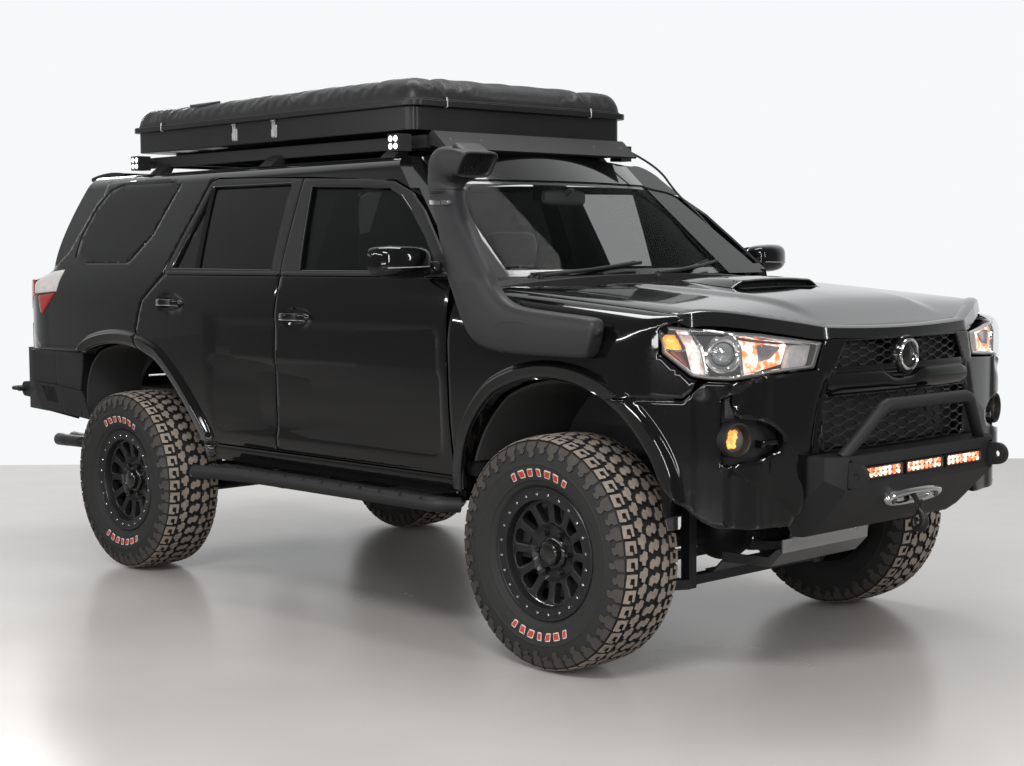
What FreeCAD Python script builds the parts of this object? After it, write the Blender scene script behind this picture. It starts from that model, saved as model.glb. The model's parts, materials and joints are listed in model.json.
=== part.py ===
"""Lifted off-road 4x4, built as separate sub-parts that share one frame.

+X is forward, +Y the left side, +Z up. The wheels stand on Z = 0, and X = 0 and Y = 0 are the middle of
the whole vehicle. All sizes are in millimetres. Inside the functions X counts from the middle of the
wheelbase; save() moves each finished shape to the frame above.
"""
import FreeCAD, Part
import math
import os
from FreeCAD import Vector

os.makedirs("parts", exist_ok=True)

# ---- driving dimensions -------------------------------------------------------------------------
WHEELBASE = 2790.0
TRACK = 1630.0
TYRE_RADIUS = 415.0
TYRE_WIDTH = 292.0
FRONT_REACH = 2390.0          # shackle tabs
REAR_REACH = -2610.0          # rear shackles
MIDDLE_X = (FRONT_REACH + REAR_REACH) / 2
FRONT_AXLE = WHEELBASE / 2
REAR_AXLE = -WHEELBASE / 2
HALF_TRACK = TRACK / 2
SILL_Z = 560.0                # underside of the body forms
SILL_LOW_Z = 575.0            # underside of the sills
BELT_Z = 1372.0
PANEL_GAP = 7.0
SKIN = 14.0                   # outer panel of a door, hemmed edge included
DOOR_DEPTH = 92.0             # whole door below the window
FRAME_DEPTH = 40.0            # door frame round the window
GLASS = 5.0
ROOF_DEPTH = 46.0             # roof panel, and where the posts behind the door frames begin
WALL = 60.0                   # quarter panel, tailgate
PILLAR_OUT, PILLAR_IN = 98.0, 138.0   # B-pillar, behind the doors
WING = 16.0                   # front wing panel
HOOD_DEPTH = 30.0
LAMP_DEPTH = 90.0
FLARE = 22.0                  # how far the wheel-arch lips stand out
VISOR_GAP = 6.0               # air between the deflector and the panels it doesn't sit on
BODY_HALF = 956.0             # greatest half-width of the body side
HOOD_SLOPE = -0.08            # fall of the front wings for each mm forward
SCREEN_SLOPE = Vector(-456, 0, 388)   # run of the windscreen from cowl to header
SCREEN_FOOT_X = 1052.0
SCREEN_BOW, SCREEN_ARC_Y = 122.0, 600.0   # how far the arc falls back, and at what half-width
COWL_Z = 1372.0
HEADER_Z = 1758.0             # top of the windscreen
RAIL_Y = 350.0                # middle of each frame rail
STEEL_TUBE_R = 22.0

X, Y, Z = Vector(1, 0, 0), Vector(0, 1, 0), Vector(0, 0, 1)
PLANES = {"xz": (X, Z, Y), "xy": (X, Y, Z), "yz": (Y, Z, X)}


# ---- small helpers ------------------------------------------------------------------------------
def face(plane, start, *steps):
    """Flat face. A step is a point for a line, or a (middle, end) pair for an arc."""
    across, up, _ = PLANES[plane]
    at = lambda p: across * p[0] + up * p[1]
    edges, here = [], start
    for step in list(steps) + [start]:
        if isinstance(step[0], tuple):
            middle, end = step
            edges.append(Part.Arc(at(here), at(middle), at(end)).toShape())
        else:
            end = step
            if end != here:
                edges.append(Part.makeLine(at(here), at(end)))
        here = end
    return Part.Face(Part.Wire(edges))


def slab(plane, low, high, start, *steps):
    """The outline of face(), standing from low to high along the plane's normal."""
    flat = face(plane, start, *steps)
    normal = PLANES[plane][2]
    flat.translate(normal * low)
    return flat.extrude(normal * (high - low))


def block(x, y, z):
    """Box from three (low, high) pairs."""
    return Part.makeBox(x[1] - x[0], y[1] - y[0], z[1] - z[0], Vector(x[0], y[0], z[0]))


def rod(start, end, radius, bore=0.0):
    """Round bar between two points, or a tube if it has a bore."""
    start, end = Vector(*start), Vector(*end)
    bar = Part.makeCylinder(radius, (end - start).Length, start, end - start)
    if bore:
        bar = bar.cut(Part.makeCylinder(bore, (end - start).Length, start, end - start))
    return bar


def bent_bar(points, radius, bend):
    """Round bar along straight runs joined by tangent arcs of radius bend."""
    pts = [Vector(*p) for p in points]
    edges, here = [], pts[0]
    for before, corner, after in zip(pts, pts[1:], pts[2:]):
        a = (before - corner).normalize()
        b = (after - corner).normalize()
        half = a.getAngle(b) / 2
        reach = bend / math.tan(half)
        start, end = corner + a * reach, corner + b * reach
        mid_dir = (a + b).normalize()
        middle = corner + mid_dir * (bend / math.sin(half) - bend)
        edges.append(Part.makeLine(here, start))
        edges.append(Part.Arc(start, middle, end).toShape())
        here = end
    edges.append(Part.makeLine(here, pts[-1]))
    ring = Part.Wire(Part.Circle(pts[0], pts[1] - pts[0], radius).toShape())
    return Part.Wire(edges).makePipeShell([ring], True, False)


def revolve(profile, centre, axis):
    """Turn an (axial, radial) profile about an axis through centre; the profile closes on itself."""
    axis = Vector(axis)
    side = X if abs(axis.x) < 0.5 else Z
    wire = Part.makePolygon([centre + axis * a + side * r for a, r in profile + profile[:1]])
    return Part.Face(wire).revolve(centre, axis, 360)


def join(parts):
    """One shape from many, with their shared faces gone."""
    parts = list(parts)
    return parts[0].multiFuse(parts[1:]).removeSplitter() if len(parts) > 1 else parts[0]


def group(parts):
    """Solids that belong to one node and don't touch."""
    return Part.makeCompound([s for p in parts for s in (p.Solids or [p])])


def mirrored(shape):
    """The same piece on the other side."""
    return shape.mirror(Vector(0, 0, 0), Y)


def pair(shape):
    """A piece and its mirror image."""
    return group([shape, mirrored(shape)])


def save(name, shape):
    """Write one node in the finished frame."""
    shape = shape.copy()
    shape.translate(Vector(-MIDDLE_X, 0, 0))
    solids = shape.Solids
    print(f"{name:22s} solids {len(solids):3d} faces {len(shape.Faces):4d} "
          f"valid {shape.isValid()} volume {shape.Volume / 1e6:9.2f} L")
    out = solids[0] if len(solids) == 1 else Part.makeCompound(solids)
    out.exportStep(f"parts/{name}.step")


# ---- body forms ---------------------------------------------------------------------------------
# Half cross-sections: y, z, and the direction in which a thickness is taken off.
CABIN_SECTION = [
    (905, 560, 1.00, 0.00), (942, 820, 1.00, 0.00), (956, 1090, 1.00, 0.00), (951, 1250, 0.99, 0.10),
    (918, 1400, 0.93, 0.36), (845, 1592, 0.93, 0.37), (765, 1780, 0.92, 0.39), (732, 1826, 0.70, 0.71),
    (640, 1847, 0.15, 0.99),
]
FRONT_SECTION = [
    (905, 560, 1.00, 0.00), (942, 820, 1.00, 0.00), (954, 1080, 1.00, 0.00), (951, 1170, 0.99, 0.10),
    (938, 1240, 0.95, 0.25), (912, 1302, 0.70, 0.70), (850, 1336, 0.20, 0.98),
]


def section(rows, crown_z, inset):
    """Whole cross-section: arcs through each three rows, a crown on top, flat below.

    An inset section reaches lower than the outer one, so that a wall between two of them is open below.
    """
    side = [(y - inset * ny, z - inset * nz) for y, z, ny, nz in rows]
    side[0] = (side[0][0], side[0][1] - inset)
    left = [(-y, z) for y, z in side]
    steps = [(left[i], left[i + 1]) for i in range(1, len(left), 2)]
    steps.append(((0.0, crown_z - inset), side[-1]))
    back = side[::-1]
    steps += [(back[i], back[i + 1]) for i in range(1, len(back), 2)]
    return face("yz", left[0], *steps)


def cabin_form(inset):
    """Prism of the cabin's cross-section, between the windscreen's surface and the rounded tail."""
    body = section(CABIN_SECTION, 1866.0, inset)
    body.translate(X * -2700.0)
    body = body.extrude(X * (4000.0 + inset))
    ends = [tail_plan(inset, COWL_Z), screen_form(inset).common(tail_lean(inset))]
    profile = tail_profile(inset)
    low = body.common(ends[0].common(profile))
    high = body.common(ends[1].common(profile))
    return low.fuse(high)


def section_prism(inset):
    """The cabin's cross-section carried the whole length, with no windscreen cut."""
    body = section(CABIN_SECTION, 1866.0, inset)
    body.translate(X * -3000)
    return body.extrude(X * 5000)


def screen_form(inset):
    """All above the cowl that lies behind the windscreen and its posts.

    The plan is an arc as far out as the glass reaches, and straight across over the posts.
    """
    front, bow, far = SCREEN_FOOT_X - inset, SCREEN_BOW, SCREEN_ARC_Y
    flat = face("xy", (-4500, -1100), (front - bow, -1100), (front - bow, -far), ((front, 0), (front - bow,
                                                                                               far)),
                (front - bow, 1100), (-4500, 1100))
    flat.translate(Z * COWL_Z)
    return flat.extrude(SCREEN_SLOPE * 1.4)


def tail_plan(inset, top):
    """Plan of the body below the belt, with its round rear corners."""
    i = inset
    return slab("xy", 400, top, (1400, -1100), (-2050, -1100), (-2050, i - 960),
                ((i - 2300, i - 905), (i - 2440, i - 790)), ((i - 2482, i - 700), (i - 2500, -600)),
                ((i - 2530, 0), (i - 2500, 600)), ((i - 2482, 700 - i), (i - 2440, 790 - i)),
                ((i - 2300, 905 - i), (-2050, 960 - i)), (-2050, 1100), (1400, 1100))


def tail_lean(inset):
    """All above the cowl's height that lies ahead of the leaning rear window."""
    i = inset
    flat = face("xy", (1400, -1100), (-1950, -1100), (-1950, i - 930), ((i - 2190, i - 840), (i - 2270,
                                                                                              -720)),
                ((i - 2345, 0), (i - 2270, 720)), ((i - 2190, 840 - i), (-1950, 930 - i)), (-1950, 1100),
                (1400, 1100))
    flat.translate(Z * COWL_Z)
    return flat.extrude(Vector(255, 0, 395) * 1.5)


def tail_profile(inset):
    """Side view of the tail, from the sill up to the roof's rear edge."""
    i = inset
    return slab("xz", -1200, 1200, (1400, 2000), (-1800, 2000), (-1800, 1900 - i), (i - 2050, 1842 - i),
                (i - 2078, 1792 - i * 0.7), ((i - 2215, 1590), (i - 2330, 1400)), ((i - 2420, 1340),
                                                                                   (i - 2470, 1270)),
                ((i - 2508, 1100), (i - 2505, 900)), (i - 2440, 640), (i - 2400, 400), (1400, 400))


def front_form(inset):
    """Front end: a prism that falls forward, rounded in plan, with the hood's nose turned down."""
    body = section(FRONT_SECTION, 1374.0, inset)
    start, length = -300.0 - inset, 1600.0
    body.translate(Vector(1100.0 + start, 0, start * HOOD_SLOPE))
    body = body.extrude(Vector(length, 0, length * HOOD_SLOPE))
    i = inset
    plan = slab("xy", 300, 1500, (700, -1100), (1640, -1100), (1640, i - 962),
                ((1900 - i, i - 915), (2075 - i, i - 835)), ((2150 - i, i * 0.7 - 770), (2180 - i, -660)),
                ((2245 - i, 0), (2180 - i, 660)), ((2150 - i, 770 - i * 0.7), (2075 - i, 835 - i)),
                ((1900 - i, 915 - i), (1640, 962 - i)), (1640, 1100), (700, 1100))
    nose = slab("xz", -1200, 1200, (700, 300), (2300, 300), (2300, 1180 - i), (2225, 1197 - i),
                ((2020, 1274 - i), (1780, 1322 - i)), (1780, 1500), (700, 1500))
    return body.common(plan.common(nose))



def checked(form, inset):
    """A body form that came out whole."""
    solid = form(inset)
    if solid.isNull() or solid.Volume < 1e9 or solid.BoundBox.ZMin > SILL_Z + 1:
        raise RuntimeError(f"{form.__name__} failed at inset {inset}")
    return solid


CABIN = {inset: checked(cabin_form, inset) for inset in (0.0, SKIN, SKIN + GLASS, FRAME_DEPTH, WALL,
                                                         DOOR_DEPTH,
                                                PILLAR_OUT, PILLAR_IN, ROOF_DEPTH)}
FRONT = {inset: checked(front_form, inset) for inset in (0.0, WING, HOOD_DEPTH, LAMP_DEPTH, -FLARE,
                                                         -VISOR_GAP)}


def cabin_wall(region, outer, inner):
    """The part of a region that lies in the cabin's wall, between two insets."""
    return region.common(CABIN[outer]).cut(CABIN[inner])


def front_wall(region, outer, inner):
    """The part of a region that lies in the front end's wall, between two insets."""
    return region.common(FRONT[outer]).cut(FRONT[inner])


SIDE = {inset: section_prism(inset) for inset in (0.0, SKIN, SKIN + GLASS, FRAME_DEPTH, ROOF_DEPTH,
                                                  DOOR_DEPTH,
                                                  -FLARE)}


def side_wall(region, outer, inner):
    """The part of a region that lies in the wall of the cabin's long sides, between two insets."""
    return region.common(CABIN[0.0]).common(SIDE[outer]).cut(SIDE[inner])


# Side views as outlines (x, z), clockwise from the lower front corner.
FRONT_DOOR = [(914, 648), (914, 1340), (866, 1431), (649, 1632), (540, 1704), (419, 1746),
              (-186, 1779), (-146, 1345), (-162, 1100), (-196, 648)]
FRONT_GLASS = [(856, 1384), (700, 1532), (579, 1629), (491, 1689), (401, 1723), (-112, 1744), (-18, 1384)]
REAR_DOOR = [(-203, 648), (-169, 1100), (-153, 1345), (-193, 1779), (-838, 1799), (-881, 1786),
             (-924, 1661), (-981, 1514), (-1034, 1384), (-1183, 1260), (-1232, 1122), (-1206, 1043),
             (-1072, 999)]
REAR_ARCH_EDGE = ((-862, 823), (-742, 648))   # arc from the rear door's last point to its sill
REAR_GLASS = [(-262, 1761), (-212, 1386), (-985, 1400), (-925, 1560), (-852, 1764)]
QUARTER_GLASS = [(-1131, 1779), (-1200, 1797), (-1638, 1800), (-1740, 1774), (-1817, 1684), (-1871, 1548),
                 (-1863, 1462), (-1743, 1427), (-1392, 1427), (-1353, 1437), (-1226, 1553)]


BELOW_BELT = block((-3000, 3000), (-1200, 0), (0, BELT_Z))


def prism(points, arch=None):
    """Side-view outline of the right side, through the whole body half."""
    steps = points[1:] + ([arch] if arch else [])
    return slab("xz", -1200, -400, points[0], *steps)


def grown(solid_face_points, arch, distance):
    """Side-view prism grown, or shrunk if distance is below zero."""
    steps = solid_face_points[1:] + ([arch] if arch else [])
    flat = face("xz", solid_face_points[0], *steps)
    flat = flat.makeOffset2D(distance, 2)
    flat.translate(Y * -1200)
    return flat.extrude(Y * 800)




# ---- doors --------------------------------------------------------------------------------------
def door(outline, arch, glass):
    """Skin over the whole outline, a deep box below the window, a frame round it and the pane's slot."""
    skin = side_wall(prism(outline, arch), 0.0, SKIN)
    inner = grown(outline, arch, -26)
    frame = side_wall(inner, 0.0, FRAME_DEPTH)
    core = side_wall(inner, 0.0, DOOR_DEPTH).common(BELOW_BELT)
    whole = skin.fuse([frame, core])
    slot = side_wall(grown(glass, None, 10), SKIN, SKIN + GLASS)
    whole = whole.cut(prism(glass).common(block((-3000, 3000), (-1200, 0), (BELT_Z, 2000)))).cut(slot)
    return whole.removeSplitter()


def pane(glass):
    """Window pane in the frame's slot."""
    return side_wall(grown(glass, None, 10), SKIN, SKIN + GLASS)


def door_handle(x, z):
    """Pull handle that stands off the skin on two feet, over a shallow cup."""
    y = -BODY_HALF
    grip = slab("xy", z - 16, z + 16, (x - 110, y - 26), ((x, y - 44), (x + 110, y - 26)),
                (x + 110, y - 12), ((x, y - 28), (x - 110, y - 12)))
    feet = [block((x + s - 18, x + s + 18), (y - 28, y + 8), (z - 13, z + 13)) for s in (-88, 88)]
    return join([grip] + feet)


def make_doors():
    """Four side doors with their panes; the left ones mirror the right ones."""
    table = [("front", FRONT_DOOR, None, FRONT_GLASS, (-8, 1207)),
             ("rear", REAR_DOOR, REAR_ARCH_EDGE, REAR_GLASS, (-950, 1250))]
    for name, outline, arch, glass, handle in table:
        panel = door(outline, arch, glass)
        panel = panel.fuse(door_handle(*handle))
        if arch:
            panel = panel.fuse(flare(REAR_ARCH, SIDE[-FLARE]).common(prism(outline, arch)))
        panel = panel.removeSplitter()
        save(f"door_{name}_right", panel)
        save(f"door_{name}_left", mirrored(panel))
        window = pane(glass)
        save(f"door_glass_{name}_right", window)
        save(f"door_glass_{name}_left", mirrored(window))


def make_mirrors():
    """Door mirrors: a rounded shell that tapers outwards, on a short foot at the window's corner."""
    plan = slab("xy", 1366, 1496, (740, -965), (850, -965), ((878, -1050), (820, -1150)),
                ((780, -1182), (724, -1176)))
    front = slab("yz", 600, 1000, (-950, 1378), (-950, 1478), ((-1060, 1494), (-1160, 1478)),
                 ((-1190, 1440), (-1176, 1392)), ((-1060, 1366), (-950, 1378)))
    shell = plan.common(front)
    foot = block((770, 840), (-980, -880), (1392, 1436)).cut(CABIN[0.0])
    mirror = shell.fuse(foot).removeSplitter()
    save("mirror_right", mirror)
    save("mirror_left", mirrored(mirror))


# ---- fixed body panels --------------------------------------------------------------------------
FRONT_ARCH = ((955, 400), (965, 600), ((1023, 790), (1173, 961)), ((1430, 1030), (1697, 983)),
              ((1838, 868), (1914, 731)), (1965, 400))
REAR_ARCH = ((-700, 400), (-735, 653), ((-862, 823), (-1072, 999)), ((-1390, 1056), (-1650, 1020)),
             ((-1755, 945), (-1812, 800)), (-1860, 400))
LID_SEAM = [(-3000, 1352), (-2032, 1420), (-1937, 1490), (-1827, 1723), (-1790, 1763), (-1790, 1950),
            (-3000, 1950)]
LAMP_SIDE = [(-2700, 1172), (-2262, 1196), (-2205, 1345), (-2700, 1350)]
LAMP_INNER_Y = 655.0
LID_LOW_Z = 820.0
FLARE_WIDTH = 61.0
FLARE_BACK = CABIN[WALL].fuse(FRONT[HOOD_DEPTH]).common(block((-3000, 3000), (-1200, 0), (500, 1300)))
POST_INNER = ((-650, 1360), (650, 1360), (600, 1764), (-600, 1764))   # front view of the windscreen


def flare(arch, form):
    """Raised lip that follows a wheel arch on the right side, out to a body form."""
    inner = face("xz", *arch)
    outer = inner.makeOffset2D(FLARE_WIDTH, 2)
    inner.translate(Y * -1200)
    outer.translate(Y * -1200)
    ring = outer.extrude(Y * 500).cut(inner.extrude(Y * 500))
    return ring.common(block((-3000, 3000), (-1100, -800), (600, 1200))).common(form).cut(FLARE_BACK)


def make_body_sides():
    """Pillars, roof rails, sills and quarter panels: one piece on each side."""
    wall = cabin_wall(block((-3000, 914), (-1200, -700), (SILL_LOW_Z, 1900)), 0.0, WALL)
    corner = cabin_wall(block((-3000, -2300), (-701, -LAMP_INNER_Y), (SILL_LOW_Z, 1400)), 0.0, WALL)
    wall = wall.fuse(corner)
    gap = PANEL_GAP
    wall = wall.cut(grown(FRONT_DOOR, None, gap)).cut(grown(REAR_DOOR, REAR_ARCH_EDGE, gap))
    wall = wall.cut(slab("xz", -1300, -400, *REAR_ARCH))
    wall = wall.cut(block((914 - 200, 1100), (-1200, -700), (500, 1340)))
    wall = wall.cut(prism(QUARTER_GLASS))
    wall = wall.cut(block((-3000, -1700), (-1200, -400), (400, 1004)))
    wall = wall.cut(slab("xz", -1300, -400, *LID_SEAM)).cut(slab("xz", -1300, -400, *LAMP_SIDE))
    wall = wall.cut(block((-3000, -2300), (-LAMP_INNER_Y, 0), (400, 1400)))
    sill = cabin_wall(block((-735, 905), (-1200, -700), (SILL_LOW_Z, 641)), 0.0, PILLAR_IN)
    pillar_low = cabin_wall(block((-235, -95), (-1200, -600), (600, BELT_Z + 8)), PILLAR_OUT, PILLAR_IN)
    pillar_high = cabin_wall(block((-225, -115), (-1200, -600), (BELT_Z + 6, 1815)), ROOF_DEPTH, PILLAR_IN)
    front_post = cabin_wall(block((845, 905), (-1200, -600), (600, BELT_Z + 8)), PILLAR_OUT, PILLAR_IN)
    side = join([wall, sill, pillar_low, pillar_high, screen_post(), front_post])
    lip = flare(REAR_ARCH, SIDE[-FLARE]).cut(grown(REAR_DOOR, REAR_ARCH_EDGE, gap))
    lip = lip.cut(block((-3000, -1690), (-1300, -400), (400, 1004)))
    side = join([side, lip])
    save("body_sides", pair(side))


def screen_post():
    """Right windscreen post: the wall beside the glass, inside the door frame."""
    post = cabin_wall(block((300, 1100), (-1200, -500), (BELT_Z, HEADER_Z)), 0.0, WALL)
    return post.common(SIDE[ROOF_DEPTH]).cut(slab("yz", 200, 1200, *POST_INNER))


def make_roof():
    """Roof panel between the rails, from the windscreen's header to the tailgate's seam."""
    roof = cabin_wall(block((-1786, 700), (-700, 700), (HEADER_Z, 1900)), 0.0, ROOF_DEPTH)
    save("roof_panel", roof)


def make_fixed_glass():
    """Windscreen and the two quarter windows."""
    screen = cabin_form(2.0).cut(cabin_form(8.0))
    screen = screen.common(block((400, 1300), (-1000, 1000), (BELT_Z + 6, HEADER_Z - 1)))
    screen = screen.common(slab("yz", 200, 1200, *POST_INNER))
    quarter = cabin_wall(prism(QUARTER_GLASS), SKIN, SKIN + GLASS)
    save("fixed_glass", group([screen, quarter, mirrored(quarter)]))


def make_cowl():
    """Scuttle panel below the windscreen with its two wipers."""
    panel = FRONT[0.0].common(block((935, 1068), (-855, 855), (1290, 1400)))
    panel = panel.cut(FRONT[HOOD_DEPTH].common(block((900, 1100), (-800, 800), (1200, 1345))))
    panel = panel.cut(CABIN[0.0].common(block((900, 1100), (-900, 900), (COWL_Z, 1500))))
    arms = []
    for foot, middle, tip in (((1010, -560, 1376), (1026, -290, 1398), (1026, -20, 1422)),
                              ((1058, 40, 1376), (1034, 300, 1400), (934, 560, 1424))):
        arms.append(bent_bar([foot, middle, tip], 7, 300))
        arms.append(rod((foot[0], foot[1], 1340), (foot[0], foot[1], foot[2] + 8), 12))
    save("cowl", join([panel] + arms))


HOOD_PLAN = ((1075, -857), (1950, -868), (2196, -405), ((2216, 0), (2196, 405)), (1950, 868), (1075, 857))
HOOD_NOSE_Z = 1182.0
SCOOP_HALF = 238.0


def make_hood():
    """Hood panel with its raised air scoop and the deflector along its front edge."""
    panel = front_wall(slab("xy", HOOD_NOSE_Z, 1450, *HOOD_PLAN), 0.0, HOOD_DEPTH)
    ramp = slab("xz", -SCOOP_HALF - 40, SCOOP_HALF + 40, (1230, 1300), (1230, 1358), ((1420, 1368), (1668,
                                                                                                     1358)),
                (1712, 1322), (1712, 1290))
    ramp = ramp.common(slab("xy", 1200, 1450, (1230, -150), (1668, -SCOOP_HALF), (1730, -SCOOP_HALF - 10),
                            (1730, SCOOP_HALF + 10), (1668, SCOOP_HALF), (1230, 150)))
    mouth = slab("xz", -SCOOP_HALF + 22, SCOOP_HALF - 22, (1600, 1324), (1600, 1349), (1668, 1349), (1730,
                                                                                                     1300),
                 (1730, 1324))
    bars = [block((1672, 1684), (y - 4, y + 4), (1318, 1352)) for y in range(-200, 201, 25)]
    ramp = ramp.fuse(FRONT[0.0].common(block((1226, 1716), (-SCOOP_HALF, SCOOP_HALF), (1280, 1345))))
    ramp = ramp.cut(mouth).fuse([b.common(mouth) for b in bars])
    ramp = ramp.cut(FRONT[HOOD_DEPTH])
    visor_out = slab("xy", 1150, 1450, (1900, -905), (1990, -872), (2226, -402), ((2246, 0), (2226, 402)),
                     (1990, 872), (1900, 905))
    visor_in = slab("xy", 1150, 1450, (1800, -872), (1950, -862), (2190, -398), ((2210, 0), (2190, 398)),
                    (1950, 862), (1800, 872))
    strip = slab("xz", -1000, 1000, (1890, 1296), ((2060, 1268), (2255, 1214)), (2255, 1199),
                 ((2060, 1250), (1890, 1276)))
    visor = visor_out.cut(visor_in).common(strip).common(block((1890, 2300), (-880, 880), (1150, 1400)))
    visor = visor.cut(FRONT[-VISOR_GAP].cut(slab("xy", 1100, 1450, *HOOD_PLAN)))
    save("hood", join([panel.cut(mouth), ramp, visor]))


BUMPER_SEAM_X = 1962.0
LAMP_FACE = ((-980, 1139), (-980, 1234), (-905, 1230), (-440, 1168), (-480, 1062), (-700, 1068),
             (-800, 1045), (-905, 1052))
UPPER_GRILLE = ((-335, 1160), (335, 1160), (392, 1082), (-392, 1082))
LOWER_GRILLE = ((-424, 972), (424, 972), (440, 940), (423, 792), (-423, 792), (-440, 940))
FOG = Vector(2136, 783, 856)
EMBLEM_Z, EMBLEM_R = 1108.0, 62.0


def lamp_opening(clearance):
    """Front-view prism of the right headlight."""
    flat = face("yz", *LAMP_FACE).makeOffset2D(clearance, 2)
    flat.translate(X * 1885)
    return flat.extrude(X * 500)


def make_front_end():
    """Front wings, bumper cover, headlights, fog lights and the grille."""
    gap = 5.0
    right = block((700, 2400), (-1200, 0), (300, 1500))
    hood_zone = slab("xy", 1100, 1500, (1068, -857 - gap), (1952, -868 - gap), (2215, -405 - gap),
                     (2300, 0), (1068, 0))
    lamp = lamp_opening(0.0)
    wing = front_wall(right, 0.0, WING).common(block((921, 2100), (-1200, -500), (560, 1500)))
    wing = wing.cut(hood_zone).cut(slab("xz", -1300, -400, *FRONT_ARCH)).cut(lamp_opening(3))
    wing = wing.cut(block((BUMPER_SEAM_X - 4, 2400), (-1200, 0), (300, 1048)))
    wing = wing.cut(block((860, 1068), (-862, -400), (1280, 1500)))
    lip = flare(FRONT_ARCH, FRONT[-FLARE]).cut(block((800, 921), (-1200, 0), (300, 1300)))
    lip = lip.cut(block((BUMPER_SEAM_X - 4, 2400), (-1200, 0), (300, 1048)))
    save("front_fenders", pair(join([wing, lip])))

    cover = front_wall(right, 0.0, HOOD_DEPTH)
    cover = cover.common(slab("xz", -1200, 0, (BUMPER_SEAM_X, 600), (2060, 560), (2300, 540), (2300, 1182),
                              (2165, 1182), (2165, 1044), (BUMPER_SEAM_X, 1044)))
    front_lip = flare(FRONT_ARCH, FRONT[-FLARE]).common(block((BUMPER_SEAM_X, 2100), (-1200, 0), (600, 1044)))
    cover = join([cover, front_lip])
    cover = cover.fuse(mirrored(cover)).cut([lamp_opening(3), mirrored(lamp_opening(3))])
    cover = cover.cut(slab("yz", 2100, 2300, *UPPER_GRILLE)).cut(slab("yz", 2100, 2300, *LOWER_GRILLE))
    for side in (-1, 1):
        cover = cover.cut(rod((1990, side * FOG.y, FOG.z), (2300, side * FOG.y, FOG.z), 62))
    cover = cover.cut(hood_zone).cut(mirrored(hood_zone)).cut(block((1900, 2300), (-520, 520), (500, 792)))
    cover = cover.cut(rod((2150, 0, EMBLEM_Z), (2300, 0, EMBLEM_Z), EMBLEM_R + 2))
    save("front_bumper_cover", cover.removeSplitter())

    lens = front_wall(lamp, 0.0, LAMP_DEPTH).cut(hood_zone)
    save("headlights", pair(lens))

    fogs = []
    for side in (-1, 1):
        body = rod((2020, side * FOG.y, FOG.z), (2142, side * FOG.y, FOG.z), 61)
        bowl = Part.makeSphere(70, Vector(2185, side * FOG.y, FOG.z))
        fogs.append(body.cut(bowl).fuse(rod((2060, side * FOG.y, FOG.z), (2132, side * FOG.y, FOG.z), 34)))
    save("fog_lamps", group(fogs))

    grille = [mesh_panel(UPPER_GRILLE, 2196, 2206, 54, 26), mesh_panel(LOWER_GRILLE, 2190, 2202, 66, 34)]
    emblem = rod((2196, 0, EMBLEM_Z), (2238, 0, EMBLEM_Z), EMBLEM_R)
    save("grille", group([join([grille[0], emblem]), grille[1]]))


def mesh_panel(outline, x_low, x_high, pitch, height):
    """Plate with staggered six-sided holes, pitch apart along Y and height apart along Z."""
    plate = slab("yz", x_low, x_high, *outline)
    ys = [p[0] for p in outline]
    zs = [p[1] for p in outline]
    inner = face("yz", *outline).makeOffset2D(-7, 2)
    inner.translate(X * (x_low - 5))
    inner = inner.extrude(X * (x_high - x_low + 10))
    a, b = pitch / 2 - 6, height / 2 - 3.5
    holes = []
    rows = int((max(zs) - min(zs)) / height) + 1
    for row in range(rows + 1):
        z = min(zs) + row * height
        shift = pitch / 2 if row % 2 else 0.0
        columns = int((max(ys) - min(ys)) / pitch) + 1
        for column in range(-columns // 2 - 1, columns // 2 + 2):
            y = column * pitch + shift
            holes.append(slab("yz", x_low - 2, x_high + 2, (y - a, z), (y - a * 0.55, z + b), (y + a * 0.55,
                                                                                               z + b),
                              (y + a, z), (y + a * 0.55, z - b), (y - a * 0.55, z - b)))
    holes = [h.common(inner) for h in holes]
    return plate.cut([h for h in holes if h.Volume > 500])


def make_tailgate():
    """Top-hinged tailgate with its roof spoiler, its window and the rear wiper."""
    gap = PANEL_GAP
    lid = cabin_wall(slab("xz", -1200, 1200, *LID_SEAM), 0.0, WALL)
    low = cabin_wall(block((-2700, -2150), (-LAMP_INNER_Y + gap, LAMP_INNER_Y - gap), (LID_LOW_Z, 1460)),
                     0.0, WALL)
    lid = join([lid, low])
    lid = lid.cut(block((-1794, -1000), (-1000, 1000), (1700, 2000)))
    window = slab("yz", -2500, -1900, (-610, 1400), (-520, 1742), ((0, 1760), (520, 1742)), (610, 1400),
                  ((0, 1385), (-610, 1400)))
    spoiler = slab("xz", -640, 640, (-1830, 1850), (-1830, 1866), ((-2000, 1872), (-2150, 1852)),
                   (-2150, 1836), ((-2080, 1820), (-2040, 1800)), (-1990, 1800))
    pane_form = cabin_wall(window, SKIN, SKIN + GLASS)
    lid = lid.cut(window).fuse(spoiler.cut(CABIN[0.0])).removeSplitter()
    save("tailgate", lid)
    save("tailgate_glass", pane_form)


def make_tail_lights():
    """Wrap-round rear lights at the corners."""
    lamp = cabin_wall(slab("xz", -1200, -LAMP_INNER_Y, *LAMP_SIDE), 0.0, WALL)
    save("tail_lights", pair(lamp))


# ---- wheels, knuckles and axles -----------------------------------------------------------------
CORNERS = {"front_right": (FRONT_AXLE, -1), "front_left": (FRONT_AXLE, 1),
           "rear_right": (REAR_AXLE, -1), "rear_left": (REAR_AXLE, 1)}
KINGPIN_Y = 700.0
STUB_R = 37.95
BEARING_R = 38.0
SHOULDER_LUGS = 24
WINDOWS = 12
LUG_NUTS = 6


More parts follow.
